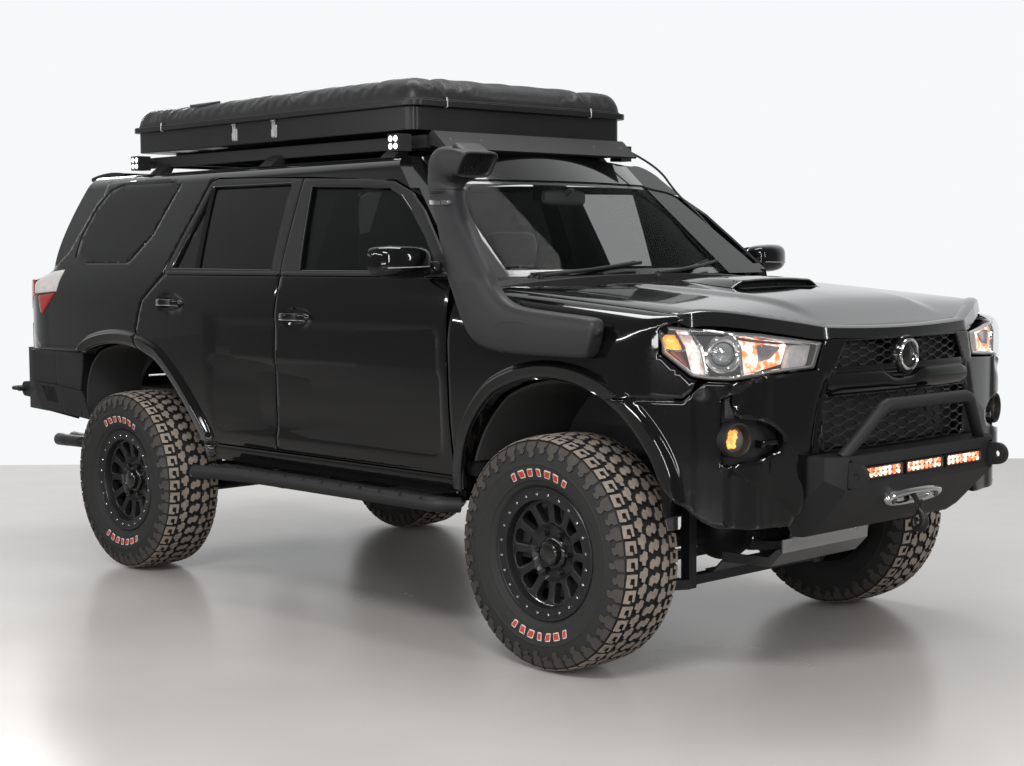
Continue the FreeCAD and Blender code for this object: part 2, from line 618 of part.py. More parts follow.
def wheel_at(shape, corner):
    """A wheel piece modelled about the origin, outer face towards -Y, moved to its corner."""
    x, side = CORNERS[corner]
    if side > 0:
        shape = mirrored(shape)
    moved = shape.copy()
    moved.translate(Vector(x, side * HALF_TRACK, TYRE_RADIUS))
    return moved


def make_tyres():
    """All-terrain tyres with notched shoulders."""
    half = TYRE_WIDTH / 2
    profile = [(108, 219), (112, 240), (134, 264), (half, 318), (half, 345), (138, 382), (124, 404), (100,
                                                                                                      413),
               (0, TYRE_RADIUS)]
    profile += [(-a, r) for a, r in profile[-2::-1]]
    body = revolve(profile, Vector(0, 0, 0), Y)
    notches = []
    for i in range(SHOULDER_LUGS):
        for side, turn in ((1, 0.0), (-1, 0.5)):
            low, high = sorted((side * 92, side * 160))
            cut = block((-11, 11), (low, high), (372, 430))
            cut.rotate(Vector(0, 0, 0), Y, 360.0 * (i + turn) / SHOULDER_LUGS)
            notches.append(cut)
    tyre = body.cut(notches)
    for corner in CORNERS:
        save(f"tyre_{corner}", wheel_at(tyre, corner))


def make_rims():
    """Twelve-window wheels with a raised centre cap, wheel nuts and a stub in the hub's bearing."""
    barrel = revolve([(-122, 236), (-112, 236), (-108, 218.5), (108, 218.5), (112, 236), (122, 236), (122,
                                                                                                      230),
                      (104, 206), (-104, 206), (-122, 230)], Vector(0, 0, 0), Y)
    dish = revolve([(-100, 210), (-100, 188), (-74, 92), (-80, 62), (-80, 0), (-52, 0), (-52, 70), (-60, 96),
                    (-84, 194), (-84, 210)], Vector(0, 0, 0), Y)
    window = slab("xz", -130, 0, (-9, 112), ((0, 105), (9, 112)), (21, 168), ((0, 186), (-21, 168)))
    windows = []
    for i in range(WINDOWS):
        hole = window.copy()
        hole.rotate(Vector(0, 0, 0), Y, 360.0 * i / WINDOWS)
        windows.append(hole)
    dish = dish.cut(windows)
    cap = revolve([(-78, 0), (-78, 54), (-104, 50), (-112, 40), (-112, 0)], Vector(0, 0, 0), Y)
    nuts = []
    for i in range(LUG_NUTS):
        turn = 2 * math.pi * (i + 0.5) / LUG_NUTS
        foot = (70 * math.sin(turn), -70, 70 * math.cos(turn))
        nuts.append(rod(foot, (foot[0], -98, foot[2]), 10.5))
    stub = rod((0, -54, 0), (0, 52, 0), STUB_R)
    rim = join([barrel, dish, cap, stub] + nuts)
    for corner in CORNERS:
        save(f"rim_{corner}", wheel_at(rim, corner))


def brake(side_y):
    """Brake disc and caliper with the bearing housing, about the origin, wheel towards -Y."""
    disc = rod((0, -22, 0), (0, 2, 0), 165)
    housing = rod((0, -46, 0), (0, side_y, 0), 62)
    caliper = slab("xz", -42, 34, (-188, -40), ((-198, 20), (-168, 92)), (-120, 70), ((-146, 20), (-140,
                                                                                                   -40)))
    return join([disc, housing, caliper]).cut(rod((0, -60, 0), (0, 60, 0), BEARING_R))


def make_knuckles():
    """Front knuckles: bearing housing, brake, uprights to the two ball joints and the steering arm."""
    right = brake(105.0)
    upright = [rod((0, 60, 0), (0, 115, 128), 24), rod((0, 60, 0), (0, 115, -112), 26),
               rod((0, 115, 120), (0, 115, 150), 22), rod((0, 115, -130), (0, 115, -104), 24)]
    arm = rod((0, 90, -40), (-150, 120, -70), 17).fuse(rod((-150, 120, -85), (-150, 120, -55), 20))
    knuckle = join([right] + upright + [arm]).cut(rod((0, -60, 0), (0, 60, 0), BEARING_R))
    save("knuckle_right", wheel_at(knuckle, "front_right"))
    save("knuckle_left", wheel_at(knuckle, "front_left"))


def make_rear_axle():
    """Solid rear axle with brakes, links, springs, dampers and the propeller shaft."""
    axis_z = TYRE_RADIUS
    pieces = [rod((REAR_AXLE, -720, axis_z), (REAR_AXLE, 720, axis_z), 44),
              Part.makeSphere(135, Vector(REAR_AXLE - 15, 0, axis_z)),
              rod((REAR_AXLE + 100, 0, axis_z), (REAR_AXLE + 220, 0, axis_z + 8), 58)]
    pieces += [wheel_at(brake(100.0), "rear_right"), wheel_at(brake(100.0), "rear_left")]
    for side in (-1, 1):
        pieces.append(block((REAR_AXLE - 60, REAR_AXLE + 70), (side * 505 - 65, side * 505 + 65),
                            (axis_z + 30, axis_z + 62)))
        coil = revolve([(477, 0), (477, 62), (505, 50), (533, 62), (561, 50), (589, 62), (617, 50), (645, 62),
                        (673, 50), (700, 62), (728, 0)], Vector(REAR_AXLE, side * 505, 0), Z)
        pieces.append(coil)
        pieces.append(rod((REAR_AXLE - 120, side * 560, 330), (REAR_AXLE - 190, side * 520, 785), 30))
        pieces.append(block((REAR_AXLE - 150, REAR_AXLE - 20), (side * 560 - 20, side * 560 + 20), (315,
                                                                                                    430)))
        pieces.append(rod((REAR_AXLE, side * 500, 345), (-640, side * 440, 470), 26))
        pieces.append(block((REAR_AXLE - 20, REAR_AXLE + 20), (side * 500 - 25, side * 500 + 25), (330, 430)))
        pieces.append(rod((REAR_AXLE + 20, side * 230, 500), (-962, side * 240, 560), 20))
        pieces.append(block((REAR_AXLE, REAR_AXLE + 40), (side * 230 - 20, side * 230 + 20), (430, 515)))
    shaft = rod((REAR_AXLE + 215, 0, axis_z + 8), (187, 0, 505), 36)
    axle = join(pieces + [shaft])
    for side in (-1, 1):
        bore = rod((REAR_AXLE, side * 755, axis_z), (REAR_AXLE, side * 900, axis_z), BEARING_R)
        axle = axle.cut(bore)
    save("rear_axle", axle)


def make_front_suspension():
    """Upper and lower arms, coil-over struts, steering rack and half-shafts."""
    z = TYRE_RADIUS
    right = []
    lower_z = z - 150
    lower = slab("xy", lower_z - 22, lower_z + 14, (FRONT_AXLE + 210, -395), (FRONT_AXLE + 40, -700),
                 ((FRONT_AXLE, -735), (FRONT_AXLE - 40, -700)), (FRONT_AXLE - 210, -395),
                 (FRONT_AXLE - 150, -395), (FRONT_AXLE - 30, -520), (FRONT_AXLE + 30, -520),
                 (FRONT_AXLE + 150, -395))
    upper = slab("xy", z + 152, z + 176, (FRONT_AXLE + 170, -395), (FRONT_AXLE + 26, -700),
                 ((FRONT_AXLE, -722), (FRONT_AXLE - 26, -700)), (FRONT_AXLE - 170, -395),
                 (FRONT_AXLE - 125, -395), (FRONT_AXLE, -640), (FRONT_AXLE + 125, -395))
    lower = lower.fuse(rod((FRONT_AXLE, -700, lower_z), (FRONT_AXLE, -700, lower_z + 18), 24))
    right.append(lower)
    right.append(upper)
    strut = rod((FRONT_AXLE, -570, lower_z + 10), (FRONT_AXLE, -510, 694), 30)
    spring = revolve([(440, 0), (440, 66), (470, 54), (500, 66), (530, 54), (560, 66), (590, 54), (620, 66),
                      (650, 54), (680, 66), (690, 0)], Vector(FRONT_AXLE, -540, 0), Z)
    spring = spring.cut(block((FRONT_AXLE - 100, FRONT_AXLE + 100), (-800, -300), (z + 140, z + 190)))
    right.append(join([strut, spring]))
    right = [join(right)]
    boot = rod((FRONT_AXLE, -150, z - 20), (FRONT_AXLE, -640, z), 20)
    right.append(boot.cut(right[0]))
    rack = rod((FRONT_AXLE - 150, -330, 345), (FRONT_AXLE - 150, 330, 345), 32)
    rack = rack.fuse([block((FRONT_AXLE - 200, FRONT_AXLE - 172), (y - 20, y + 20), (290,
                                                                                     345)) for y in (-170,
                                                                                                     170)])
    ties = [rod((FRONT_AXLE - 150, side * 330, 345), (FRONT_AXLE - 150, side * 580, 322),
                13) for side in (-1, 1)]
    half = join(right)
    diff = join([Part.makeSphere(120, Vector(FRONT_AXLE + 10, 30, z - 20)),
                 rod((FRONT_AXLE, -160, z - 20), (FRONT_AXLE, 160, z - 20), 45)])
    save("front_suspension", group([join([half, mirrored(half), diff]), join([rack] + ties)]))


# ---- chassis ------------------------------------------------------------------------------------
RAIL = ((2118, 560), (1900, 548), (1180, 548), (900, 486), (-850, 486), (-1150, 640), (-1760, 640),
        (-1990, 590), (-2400, 590), (-2400, 700), (-1960, 700), (-1740, 760), (-1180, 760), (-900, 622),
        (860, 622), (1150, 672), (2118, 672))
# x high, x low, z low, z high
CROSS_MEMBERS = ((1990, 1930, 560, 640), (1180, 1080, 550, 610), (560, 500, 495, 560), (-380, -440, 515, 575),
                 (-900, -950, 560, 620), (-1820, -1880, 640, 700), (-2320, -2400, 600, 690))


def make_ladder_frame():
    """Two boxed rails with cross-members, spring towers and body mounts."""
    rail = slab("xz", -RAIL_Y - 45, -RAIL_Y + 45, *RAIL)
    tower = slab("yz", FRONT_AXLE - 90, FRONT_AXLE + 90, (-395, 690), (-395, 600), (-420, 600), (-470, 700),
                 (-600, 700), (-600, 716), (-395, 716))
    seat = block((REAR_AXLE - 75, REAR_AXLE + 75), (-580, -395), (728, 745))
    pieces = [rail, mirrored(rail)]
    for x in (700, -250):
        tab = block((x - 60, x + 60), (-620, -395), (560, 600))
        pad = block((x - 45, x + 45), (-620, -540), (600, 641))
        pieces += [tab, pad, mirrored(tab), mirrored(pad)]
    pieces += [seat, mirrored(seat)]
    for x_low, x_high in ((FRONT_AXLE - 205, FRONT_AXLE - 170), (FRONT_AXLE + 165, FRONT_AXLE + 205)):
        leg = block((x_low, x_high), (-395, -355), (243, 560))
        pieces += [leg, mirrored(leg), block((x_low, x_high), (-395, 395), (255, 290))]
    pieces += [tower, mirrored(tower)]
    for x_high, x_low, z_low, z_high in CROSS_MEMBERS:
        pieces.append(block((x_low, x_high), (-RAIL_Y, RAIL_Y), (z_low, z_high)))
    frame = join(pieces)
    save("ladder_frame", frame)


def make_skid_plate():
    """Bare aluminium skid plate: an upright lip and a bend below the bumper, then back to the lower cross-bar."""
    plate = slab("xz", -258, 258, (1916, 444), (1914, 396), (1860, 341), (1640, 331), (1600, 290), (1560,
                                                                                                    290),
                 (1560, 297), (1597, 297), (1637, 338), (1857, 348), (1907, 399), (1909, 444))
    sides = [slab("xz", y - 3, y + 3, (1640, 331), (1860, 341), (1912, 394), (1896, 410), (1850, 374), (1640,
                                                                                                        368))
             for y in (-255, 255)]
    brackets = [slab("xz", y - 15, y + 15, (1908, 404), (1908, 440), (1936, 560), (1976, 560), (1936, 470))
                for y in (-200, 200)]
    save("skid_plate", join([plate] + sides + brackets))


def make_powertrain():
    """Engine as one block with gearbox and transfer case, and the radiator behind the grille."""
    engine = slab("xz", -235, 235, (1890, 700), (1890, 1080), (1800, 1150), (1230, 1150), (1230, 640), (1300,
                                                                                                        560),
                  (1780, 560))
    gearbox = slab("xy", 450, 636, (1290, -190), (700, -110), (260, -110), (260, 150), (700, 110), (1290,
                                                                                                    190))
    case = block((190, 420), (-60, 230), (470, 600))
    radiator = block((2050, 2096), (-296, 296), (690, 1130))
    mounts = [block((1940, 2096), (y - 20, y + 20), (640, 690)) for y in (-170, 170)]
    box = join([engine, gearbox, case]).cut(block((1030, 1190), (-500, 500), (540, 615)))
    save("powertrain", group([box.cut(block((490, 570), (-400, 400), (400, 565))),
                              join([radiator] + mounts)]))


def make_fuel_tank():
    """Fuel tank inside the left rail."""
    tank = block((-360, 170), (110, 300), (400, 560))
    save("fuel_tank", tank.makeFillet(30, tank.Edges))


def make_exhaust():
    """Exhaust line with its silencer and two tips behind the right rear wheel."""
    flange = block((1234, 1290), (-262, -235), (610, 660))
    line = bent_bar([(1262, -264, 650), (1262, -264, 470), (1100, -264, 452), (-560, -235, 440),
                     (-700, -230, 440)], 27, 60)
    silencer = rod((-640, -230, 440), (-1040, -230, 440), 80)
    tail = bent_bar([(-1040, -230, 440), (-1130, -250, 445), (-1240, -325, 490), (-1340, -335, 590),
                     (-1500, -335, 590), (-1700, -340, 540), (-1900, -450, 500), (-2180, -590, 500),
                     (-2240, -590, 500)], 25, 40)
    tips = [bent_bar([(-2200, -590, 500), (-2330, y, 500), (-2560, y, 496)], 30, 60) for y in (-548, -632)]
    bores = [rod((-2440, y, 498), (-2570, y, 496), 26) for y in (-548, -632)]
    save("exhaust", join([flange, line, silencer, tail] + tips).cut(bores))


# ---- cabin inside -------------------------------------------------------------------------------
FLOOR_Z = 641.0
LOAD_Z = 800.0


def wheelhouse(arch, deep, high, side_y):
    """Inner arch: a sheet that follows the wheel opening from the body side in to side_y."""
    flat = face("xz", *arch)
    outer = flat.makeOffset2D(-6, 2)
    inner = flat.makeOffset2D(-16, 2)
    for shape in (outer, inner):
        shape.translate(Y * -deep)
    ring = outer.extrude(Y * (deep - side_y)).cut(inner.extrude(Y * (deep - side_y)))
    return ring.common(block((-3000, 3000), (-deep, -side_y), (high, 1300)))


def make_cabin_floor():
    """Floor, load floor, firewall and the inner arches over the wheels."""
    floor = block((-915, 925), (-850, 850), (FLOOR_Z, FLOOR_Z + 16))
    riser = block((-931, -915), (-590, 590), (FLOOR_Z, LOAD_Z))
    load = block((-2330, -915), (-600, 600), (LOAD_Z, LOAD_Z + 16))
    back = block((-2346, -2330), (-600, 600), (746, LOAD_Z + 16))
    firewall = block((905, 925), (-800, 800), (FLOOR_Z, 1285))
    wall = slab("xz", -600, -590, (-980, FLOOR_Z), *wheel_wall())
    rear_arch = wheelhouse(REAR_ARCH, 905, 690, 592)
    front_arch = wheelhouse(FRONT_ARCH, 905, 705, 432)
    apron = slab("xz", -444, -432, (925, 690), (925, 1240), (1980, 1180), (1980, 690))
    behind = block((925, 955), (-850, -432), (FLOOR_Z, 690))
    pieces = [floor, riser, load, back, firewall]
    for piece in (wall, rear_arch, front_arch, apron, behind):
        pieces += [piece, mirrored(piece)]
    whole = join(pieces)
    post = cabin_wall(block((845, 905), (-1200, -600), (600, 1420)), PILLAR_OUT, PILLAR_IN)
    pillar = cabin_wall(block((-235, -95), (-1200, -600), (600, BELT_Z)), PILLAR_OUT, PILLAR_IN)
    whole = whole.cut([pillar, mirrored(pillar), post, mirrored(post)])
    whole = whole.common(block((-2400, 2100), (-890, 890), (400, 1400)))
    towers = block((FRONT_AXLE - 92, FRONT_AXLE + 92), (-650, -390), (650, 718))
    whole = whole.cut([towers, mirrored(towers)])
    save("cabin_floor", whole)


def wheel_wall():
    """Rest of the outline of the upright sheet beside the rear wheel."""
    return ((-980, 1070), ((-1400, 1062), (-1800, 1062)), (-1860, 816), (-1860, 690), (-1830, 690),
            (-1800, 830), ((-1400, 1030), (-1010, 830)), (-1010, FLOOR_Z))


def seat(x, y, half, back_height):
    """One seat on its rails: cushion, back and headrest."""
    base = slab("xz", y - half, y + half, (x + 260, 840), ((x + 275, 920), (x + 240, 950)), (x - 200, 915),
                (x - 230, 800), (x + 200, 800))
    back = slab("xz", y - half + 10, y + half - 10, (x - 120, 850), (x - 150, 900), (x - 300,
                                                                                     900 + back_height),
                (x - 385, 900 + back_height), (x - 260, 850))
    head = slab("xz", y - 130, y + 130, (x - 298, 915 + back_height), (x - 320, 1080 + back_height),
                (x - 400, 1080 + back_height), (x - 390, 915 + back_height))
    posts = [rod((x - 340, y + s * 60, 850 + back_height), (x - 350, y + s * 60, 950 + back_height), 7)
             for s in (-1, 1)]
    legs = [block((x - 200, x + 200), (y + s * (half - 50) - 20, y + s * (half - 50) + 20), (657, 805))
            for s in (-1, 1)]
    return join([base, back, head] + posts + legs)


def make_seats():
    """Two front seats and the rear bench."""
    bench = slab("xz", -560, 560, (-420, 840), ((-405, 925), (-440, 950)), (-880, 915), (-900, 800),
                 (-480, 800))
    bench_back = slab("xz", -560, 560, (-800, 860), (-830, 905), (-960, 1340), (-1040, 1340), (-930, 860))
    feet = [block((-860, -500), (y - 30, y + 30), (657, 805)) for y in (-480, 0, 480)]
    heads = [slab("xz", y - 120, y + 120, (-962, 1345), (-985, 1470), (-1055, 1470), (-1042, 1345))
             for y in (-350, 350)]
    posts = [rod((-1000, y, 1300), (-1004, y, 1380), 7) for y in (-400, -300, 300, 400)]
    rear = join([bench, bench_back] + feet + heads + posts)
    save("seats", group([seat(430, -370, 255, 420), seat(430, 370, 255, 420), rear]))


def make_dashboard():
    """Dashboard across the cabin, with the centre console."""
    panel = slab("xz", -790, 790, (904, 1000), (904, 1300), (880, 1352), ((760, 1368), (660, 1320)), (645,
                                                                                                      1180),
                 (720, 1060), (760, 1000))
    panel = panel.common(CABIN[DOOR_DEPTH]).common(block((600, 904), (-770, 770), (900, 1400)))
    console = slab("xz", -110, 110, (904, 657), (904, 1050), (730, 1050), (560, 900), (60, 880), (60, 657))
    save("dashboard", join([panel, console]).cut(steering_wheel()))


def steering_wheel():
    """Steering wheel, left-hand drive, on its column."""
    centre = Vector(560, 370, 1135)
    lean = Vector(-0.93, 0, 0.37)
    ring = Part.makeTorus(182, 15, centre, lean)
    hub = Part.makeCylinder(62, 42, centre - lean * 40, lean)
    across = Vector(0, 1, 0)
    down = Vector(-0.37, 0, -0.93)
    spokes = [rod(centre - lean * 20, centre + way * 175, 14) for way in (across, across * -1, down)]
    column = rod(centre - lean * 38, centre - lean * 140, 34)
    wheel = join([ring, hub] + spokes + [column])
    return wheel


# ---- accessories --------------------------------------------------------------------------------
TAB = Vector(2353, 431, 729)
TAB_THICK = 20.0
SHACKLE_HOLE_R = 12.0
REAR_TAB = Vector(-2492, 846, 782)
WINCH_PLATE = 10.0
LIGHT_PITCH = 248.0
LIGHT_HALF = 114.0
SLOPE_MIDDLE = Vector(2270.8, 0, 624)    # where the fairlead sits on the bumper's face
SLOPE_TILT = 42.23               # how far that face looks down, in degrees


def beyond(points, inset=0.0):
    """Round block on the outer side of the plane through three points, the plane set in by the inset."""
    first, second, third = [Vector(*p) for p in points]
    out = (second - first).cross(third - first)
    out.normalize()
    return Part.makeCylinder(420, 200, first - out * inset, out)


def winch_envelope(inset):
    """Outside of the winch bumper, or its inside where an inset is given: folded face and faceted ends."""
    drop = inset * 0.85
    form = slab("xz", -508 + inset, 508 - inset, (2323 - inset, 789 - inset), (2318 - inset,
                                                                               676 + inset * 0.3),
                (2190 - drop, 535 + inset * 0.55), (2138 - inset * 0.4, 502 + inset), (2108 - inset,
                                                                                       502 + inset),
                (2112 - inset, 640), (2120 - inset, 789 - inset))
    end = 508 - inset
    form = form.common(slab("xy", 480, 800, (2060, -end), (2274 - inset, -end), (2326 - inset,
                                                                                 -437 + inset * 0.6),
                            (2326 - inset, 437 - inset * 0.6), (2274 - inset, end), (2060, end)))
    lower_facet = beyond(((2318, -447, 676), (2270, -500, 699), (2190, -420, 530)), inset)
    return form.cut([lower_facet, mirrored(lower_facet)])


def make_winch_bumper():
    """Plate-steel winch bumper, open behind, with faceted ends and shackle tabs; its hoop is its own node."""
    shell = winch_envelope(0.0).cut(winch_envelope(WINCH_PLATE))
    window = slab("xz", -110, 110, (2309, 622), (2265, 662), (2232, 626), (2277, 586))
    hoop = bent_bar([(2281, -422, 780), (2334, -256, 949), (2334, 256, 949), (2281, 422, 780)], STEEL_TUBE_R,
                    70)
    web = ((2112, 782), (2314, 782), (2309, 680), (2180, 540), (2136, 508), (2112, 560))
    webs = [slab("xz", y - 4, y + 4, *web) for y in (-RAIL_Y, -196, 196, RAIL_Y)]
    shelf = block((2292, 2316), (-374, 374), (698, 756))
    lamp_slot = block((2306, 2340), (-366, 366), (703, 751))
    tabs = []
    for s in (-1, 1):
        tab = slab("xz", s * TAB.y - TAB_THICK / 2, s * TAB.y + TAB_THICK / 2, (2290, 680), (2290, 775),
                   (2350, 768), ((FRONT_REACH, TAB.z), (2350, 690)))
        tabs.append(tab.cut(rod((TAB.x, s * TAB.y - 20, TAB.z), (TAB.x, s * TAB.y + 20, TAB.z),
                                SHACKLE_HOLE_R)))
    arms = [block((2104, 2150), (s * RAIL_Y - 44, s * RAIL_Y + 44), (560, 700)) for s in (-1, 1)]
    frame = join([shell, shelf] + webs + arms)
    rails = [slab("xz", -RAIL_Y - 45, -RAIL_Y + 45, *RAIL)]
    rails.append(mirrored(rails[0]))
    frame = frame.cut([window, lamp_slot] + rails)
    frame = frame.cut([block((2280, 2400), (s * TAB.y - 10, s * TAB.y + 10), (680, 776)) for s in (-1, 1)])
    frame = join([frame] + tabs)
    save("winch_bumper", frame)
    save("bumper_hoop", max(hoop.cut(frame).Solids, key=lambda piece: piece.Volume))


def make_winch_fairlead():
    """Polished hawse fairlead on the bumper's sloping face, with the rope's hook."""
    plate = slab("yz", 0, 24, (-148, -38), ((-168, 0), (-148, 38)), (148, 38), ((168, 0), (148, -38)))
    slot = slab("yz", -5, 30, (-92, -14), ((-104, 0), (-92, 14)), (92, 14), ((104, 0), (92, -14)))
    rope = rod((-8, 0, 0), (50, 0, 0), 9)
    eye = rod((50, -16, 0), (50, 16, 0), 20)
    stay = block((2, 10), (-8, 8), (-18, 18))
    fairlead = join([plate.cut(slot), rope, eye, stay])
    fairlead.rotate(Vector(0, 0, 0), Y, SLOPE_TILT)
    fairlead.translate(SLOPE_MIDDLE)
    hook = bent_bar([(2308, 0, 588), (2324, 0, 556), (2318, 0, 506), (2288, 0, 500), (2282, 0, 528)], 11, 14)
    save("winch_fairlead", join([fairlead, hook]))


def make_bumper_lights():
    """Three light bars let into the front of the bumper."""
    bars = []
    for y in (-LIGHT_PITCH, 0, LIGHT_PITCH):
        bar = block((2306, 2330), (y - LIGHT_HALF, y + LIGHT_HALF), (706, 748))
        bars.append(bar.makeFillet(6, bar.Edges))
    save("bumper_lights", group(bars))


def make_rear_bumper():
    """Plate-steel rear bumper with wings to the rear arches, lamp pockets, shackles and a latch post."""
    outer = slab("xy", 600, 1010, (-1836, -940), (-2230, -968), (-2420, -870), (-2520, -700), (-2520, 700),
                 (-2420, 870), (-2230, 968), (-1836, 940))
    inner = slab("xy", 500, 1100, (-1700, -900), (-2215, -916), (-2385, -832), (-2460, -690), (-2460, 690),
                 (-2385, 832), (-2215, 916), (-1700, 900))
    side = slab("xz", -1200, 1200, (-1832, 1000), (-2600, 1000), (-2600, 760), (-2440, 690), (-2185, 690),
                (-1880, 668), (-1838, 720))
    shell = outer.cut(inner).common(side)
    lid_space = block((-2700, -2300), (-LAMP_INNER_Y - 10, LAMP_INNER_Y + 10), (LID_LOW_Z - 12, 1100))
    shell = shell.cut(lid_space)
    top = slab("xy", 796, 806, (-2400, -700), (-2510, -690), (-2510, 690), (-2400, 700))
    arms = [block((-2470, -2300), (s * RAIL_Y - 44, s * RAIL_Y + 44), (700, 740)) for s in (-1, 1)]
    pieces = [shell, top] + arms
    for s in (-1, 1):
        tab = slab("xz", s * REAR_TAB.y - 12, s * REAR_TAB.y + 12, (-2390, 740), (-2390, 824),
                   (REAR_TAB.x, 820), ((REAR_TAB.x - 38, REAR_TAB.z), (REAR_TAB.x, 744)))
        hole = rod((REAR_TAB.x, s * REAR_TAB.y - 30, REAR_TAB.z), (REAR_TAB.x, s * REAR_TAB.y + 30,
                                                                   REAR_TAB.z),
                   SHACKLE_HOLE_R)
        pieces.append(tab.cut(hole))
    post = rod((-2470, -800, 940), (-2470, -800, 1120), 14)
    foot = block((-2490, -2420), (-820, -780), (930, 960))
    bumper = join(pieces + [post, foot])
    receiver = block((-2560, -2455), (-38, 38), (706, 782))
    socket = block((-2600, -2470), (-25.5, 25.5), (718.5, 769.5))
    shackles = [rear_shackle(s * REAR_TAB.y) for s in (-1, 1)]
    save("rear_bumper", group([join([bumper, receiver]).cut(socket)] + shackles))


def rear_shackle(y):
    """Bow shackle whose pin runs through a rear tab's hole."""
    z = REAR_TAB.z
    bow = bent_bar([(REAR_TAB.x, y - 34, z), (REAR_REACH + 10, y - 34, z), (REAR_REACH + 10, y + 34, z),
                    (REAR_TAB.x, y + 34, z)], 10, 33)
    pin = rod((REAR_TAB.x, y - 50, z), (REAR_TAB.x, y + 50, z), SHACKLE_HOLE_R - 0.5)
    return join([bow, pin])


def make_rock_sliders():
    """Tube sliders with a step plate, on legs from the frame."""
    z = 542
    tube = bent_bar([(930, -905, z - 6), (880, -985, z), (-300, -1000, z), (-640, -1036, z - 8)], 28, 60)
    plate = slab("xy", z + 12, z + 18, (850, -905), (850, -975), (-300, -990), (-600, -1020), (-600, -905))
    inner = block((-600, 850), (-923, -887), (z - 20, z + 12))
    legs = [block((x - 22, x + 22), (-970, -395), (z - 22, z + 12)) for x in (760, 260, -260, -570)]
    slider = join([tube, inner, plate] + legs)
    save("rock_sliders", pair(slider))


def make_snorkel():
    """Air intake: a moulded duct from the right wing up the windscreen post to a forward-facing head."""
    low = slab("xz", -1012, -948, (1655, 1160), (1672, 1200), ((1655, 1245), (1600, 1262)), (1350, 1278),
               ((1200, 1300), (1090, 1420)), (1010, 1420), ((1030, 1290), (1090, 1225)), (1160, 1168),
               ((1400, 1140), (1600, 1142)))
    low = low.makeFillet(14, [e for e in low.Edges if abs(e.BoundBox.YMin + 1012) < 1 and e.BoundBox.YLength < 1])
    sections = []
    for x, y, z, w, d in ((1060, -968, 1370, 74, 38), (975, -932, 1500, 72, 42), (868, -878, 1680, 70, 44),
                          (826, -862, 1760, 68, 44)):
        lean = Vector(-0.5, 0.25, 0.83)
        ring = Part.makePolygon([Vector(x + sx * w, y + sy * d, z) for sx, sy in
                                 ((1, 0.5), (0.5, 1), (-0.5, 1), (-1, 0.5), (-1, -0.5), (-0.5, -1), (0.5, -1),
                                  (1, -0.5), (1, 0.5))])
        sections.append(ring)
    duct = Part.makeLoft(sections, True, True)
    collar = rod((822, -860, 1745), (816, -858, 1778), 62)
    head = slab("xz", -950, -770, (770, 1770), (740, 1840), ((770, 1900), (860, 1905)), (1010, 1880),
                (1024, 1800), (880, 1790), (860, 1765))
    head = head.makeFillet(24, [e for e in head.Edges if e.BoundBox.YLength < 1])
    mouth = block((960, 1100), (-936, -784), (1806, 1880))
    head = head.cut(mouth)
    bars = [block((975, 981), (y - 3, y + 3), (1800, 1885)) for y in range(-920, -790, 22)]
    head = join([head] + bars)
    clip = block((840, 900), (-850, -790), (1690, 1720))
    snorkel = join([low, duct, collar, head, clip])
    snorkel = snorkel.cut(CABIN[0.0]).cut(FRONT[0.0])
    save("snorkel", snorkel.Solids[0] if len(snorkel.Solids) == 1 else snorkel)


RACK_FRONT, RACK_REAR = 372.0, -1760.0
RACK_HALF = 560.0
DECK_Z = 1902.0


def make_roof_rack():
    """Flat tube rack on six feet, with its front wind deflector."""
    pieces = []
    for s in (-1, 1):
        pieces.append(block((RACK_REAR, RACK_FRONT), (s * RACK_HALF - 16, s * RACK_HALF + 16),
                            (DECK_Z - 16, DECK_Z + 34)))
    for i in range(9):
        x = RACK_REAR + 30 + i * (RACK_FRONT - RACK_REAR - 60) / 8
        pieces.append(block((x - 20, x + 20), (-RACK_HALF, RACK_HALF), (DECK_Z - 10, DECK_Z + 14)))
    for x in (200, -650, -1560):
        for s in (-1, 1):
            foot = slab("yz", x - 45, x + 45, (s * 545, DECK_Z), (s * 575, DECK_Z), (s * 640, 1850),
                        (s * 640, 1800), (s * 600, 1800))
            pieces.append(foot)
    fairing = slab("xz", -556, 556, (360, 1908), (374, 1998), (386, 1998), (480, 1880), (472, 1874), (360,
                                                                                                      1900))
    pieces.append(fairing)
    rack = join(pieces).cut(CABIN[0.0])
    pods = []
    for x, y in ((296, 650), (RACK_REAR + 100, 650)):
        for s in (-1, 1):
            pods.append(block((x - 34, x + 34), (s * y - 34, s * y + 34), (DECK_Z - 30, DECK_Z + 38)))
            pods.append(block((x - 12, x + 12), *[sorted((s * (RACK_HALF + 10), s * (y - 30)))],
                              (DECK_Z, DECK_Z + 16)))
    save("roof_rack", join([rack] + pods))


TENT = (-1770.0, 360.0, 640.0)      # rear, front, half-width
TENT_LOW, TENT_LIP, TENT_TOP = 1958.0, 2080.0, 2186.0


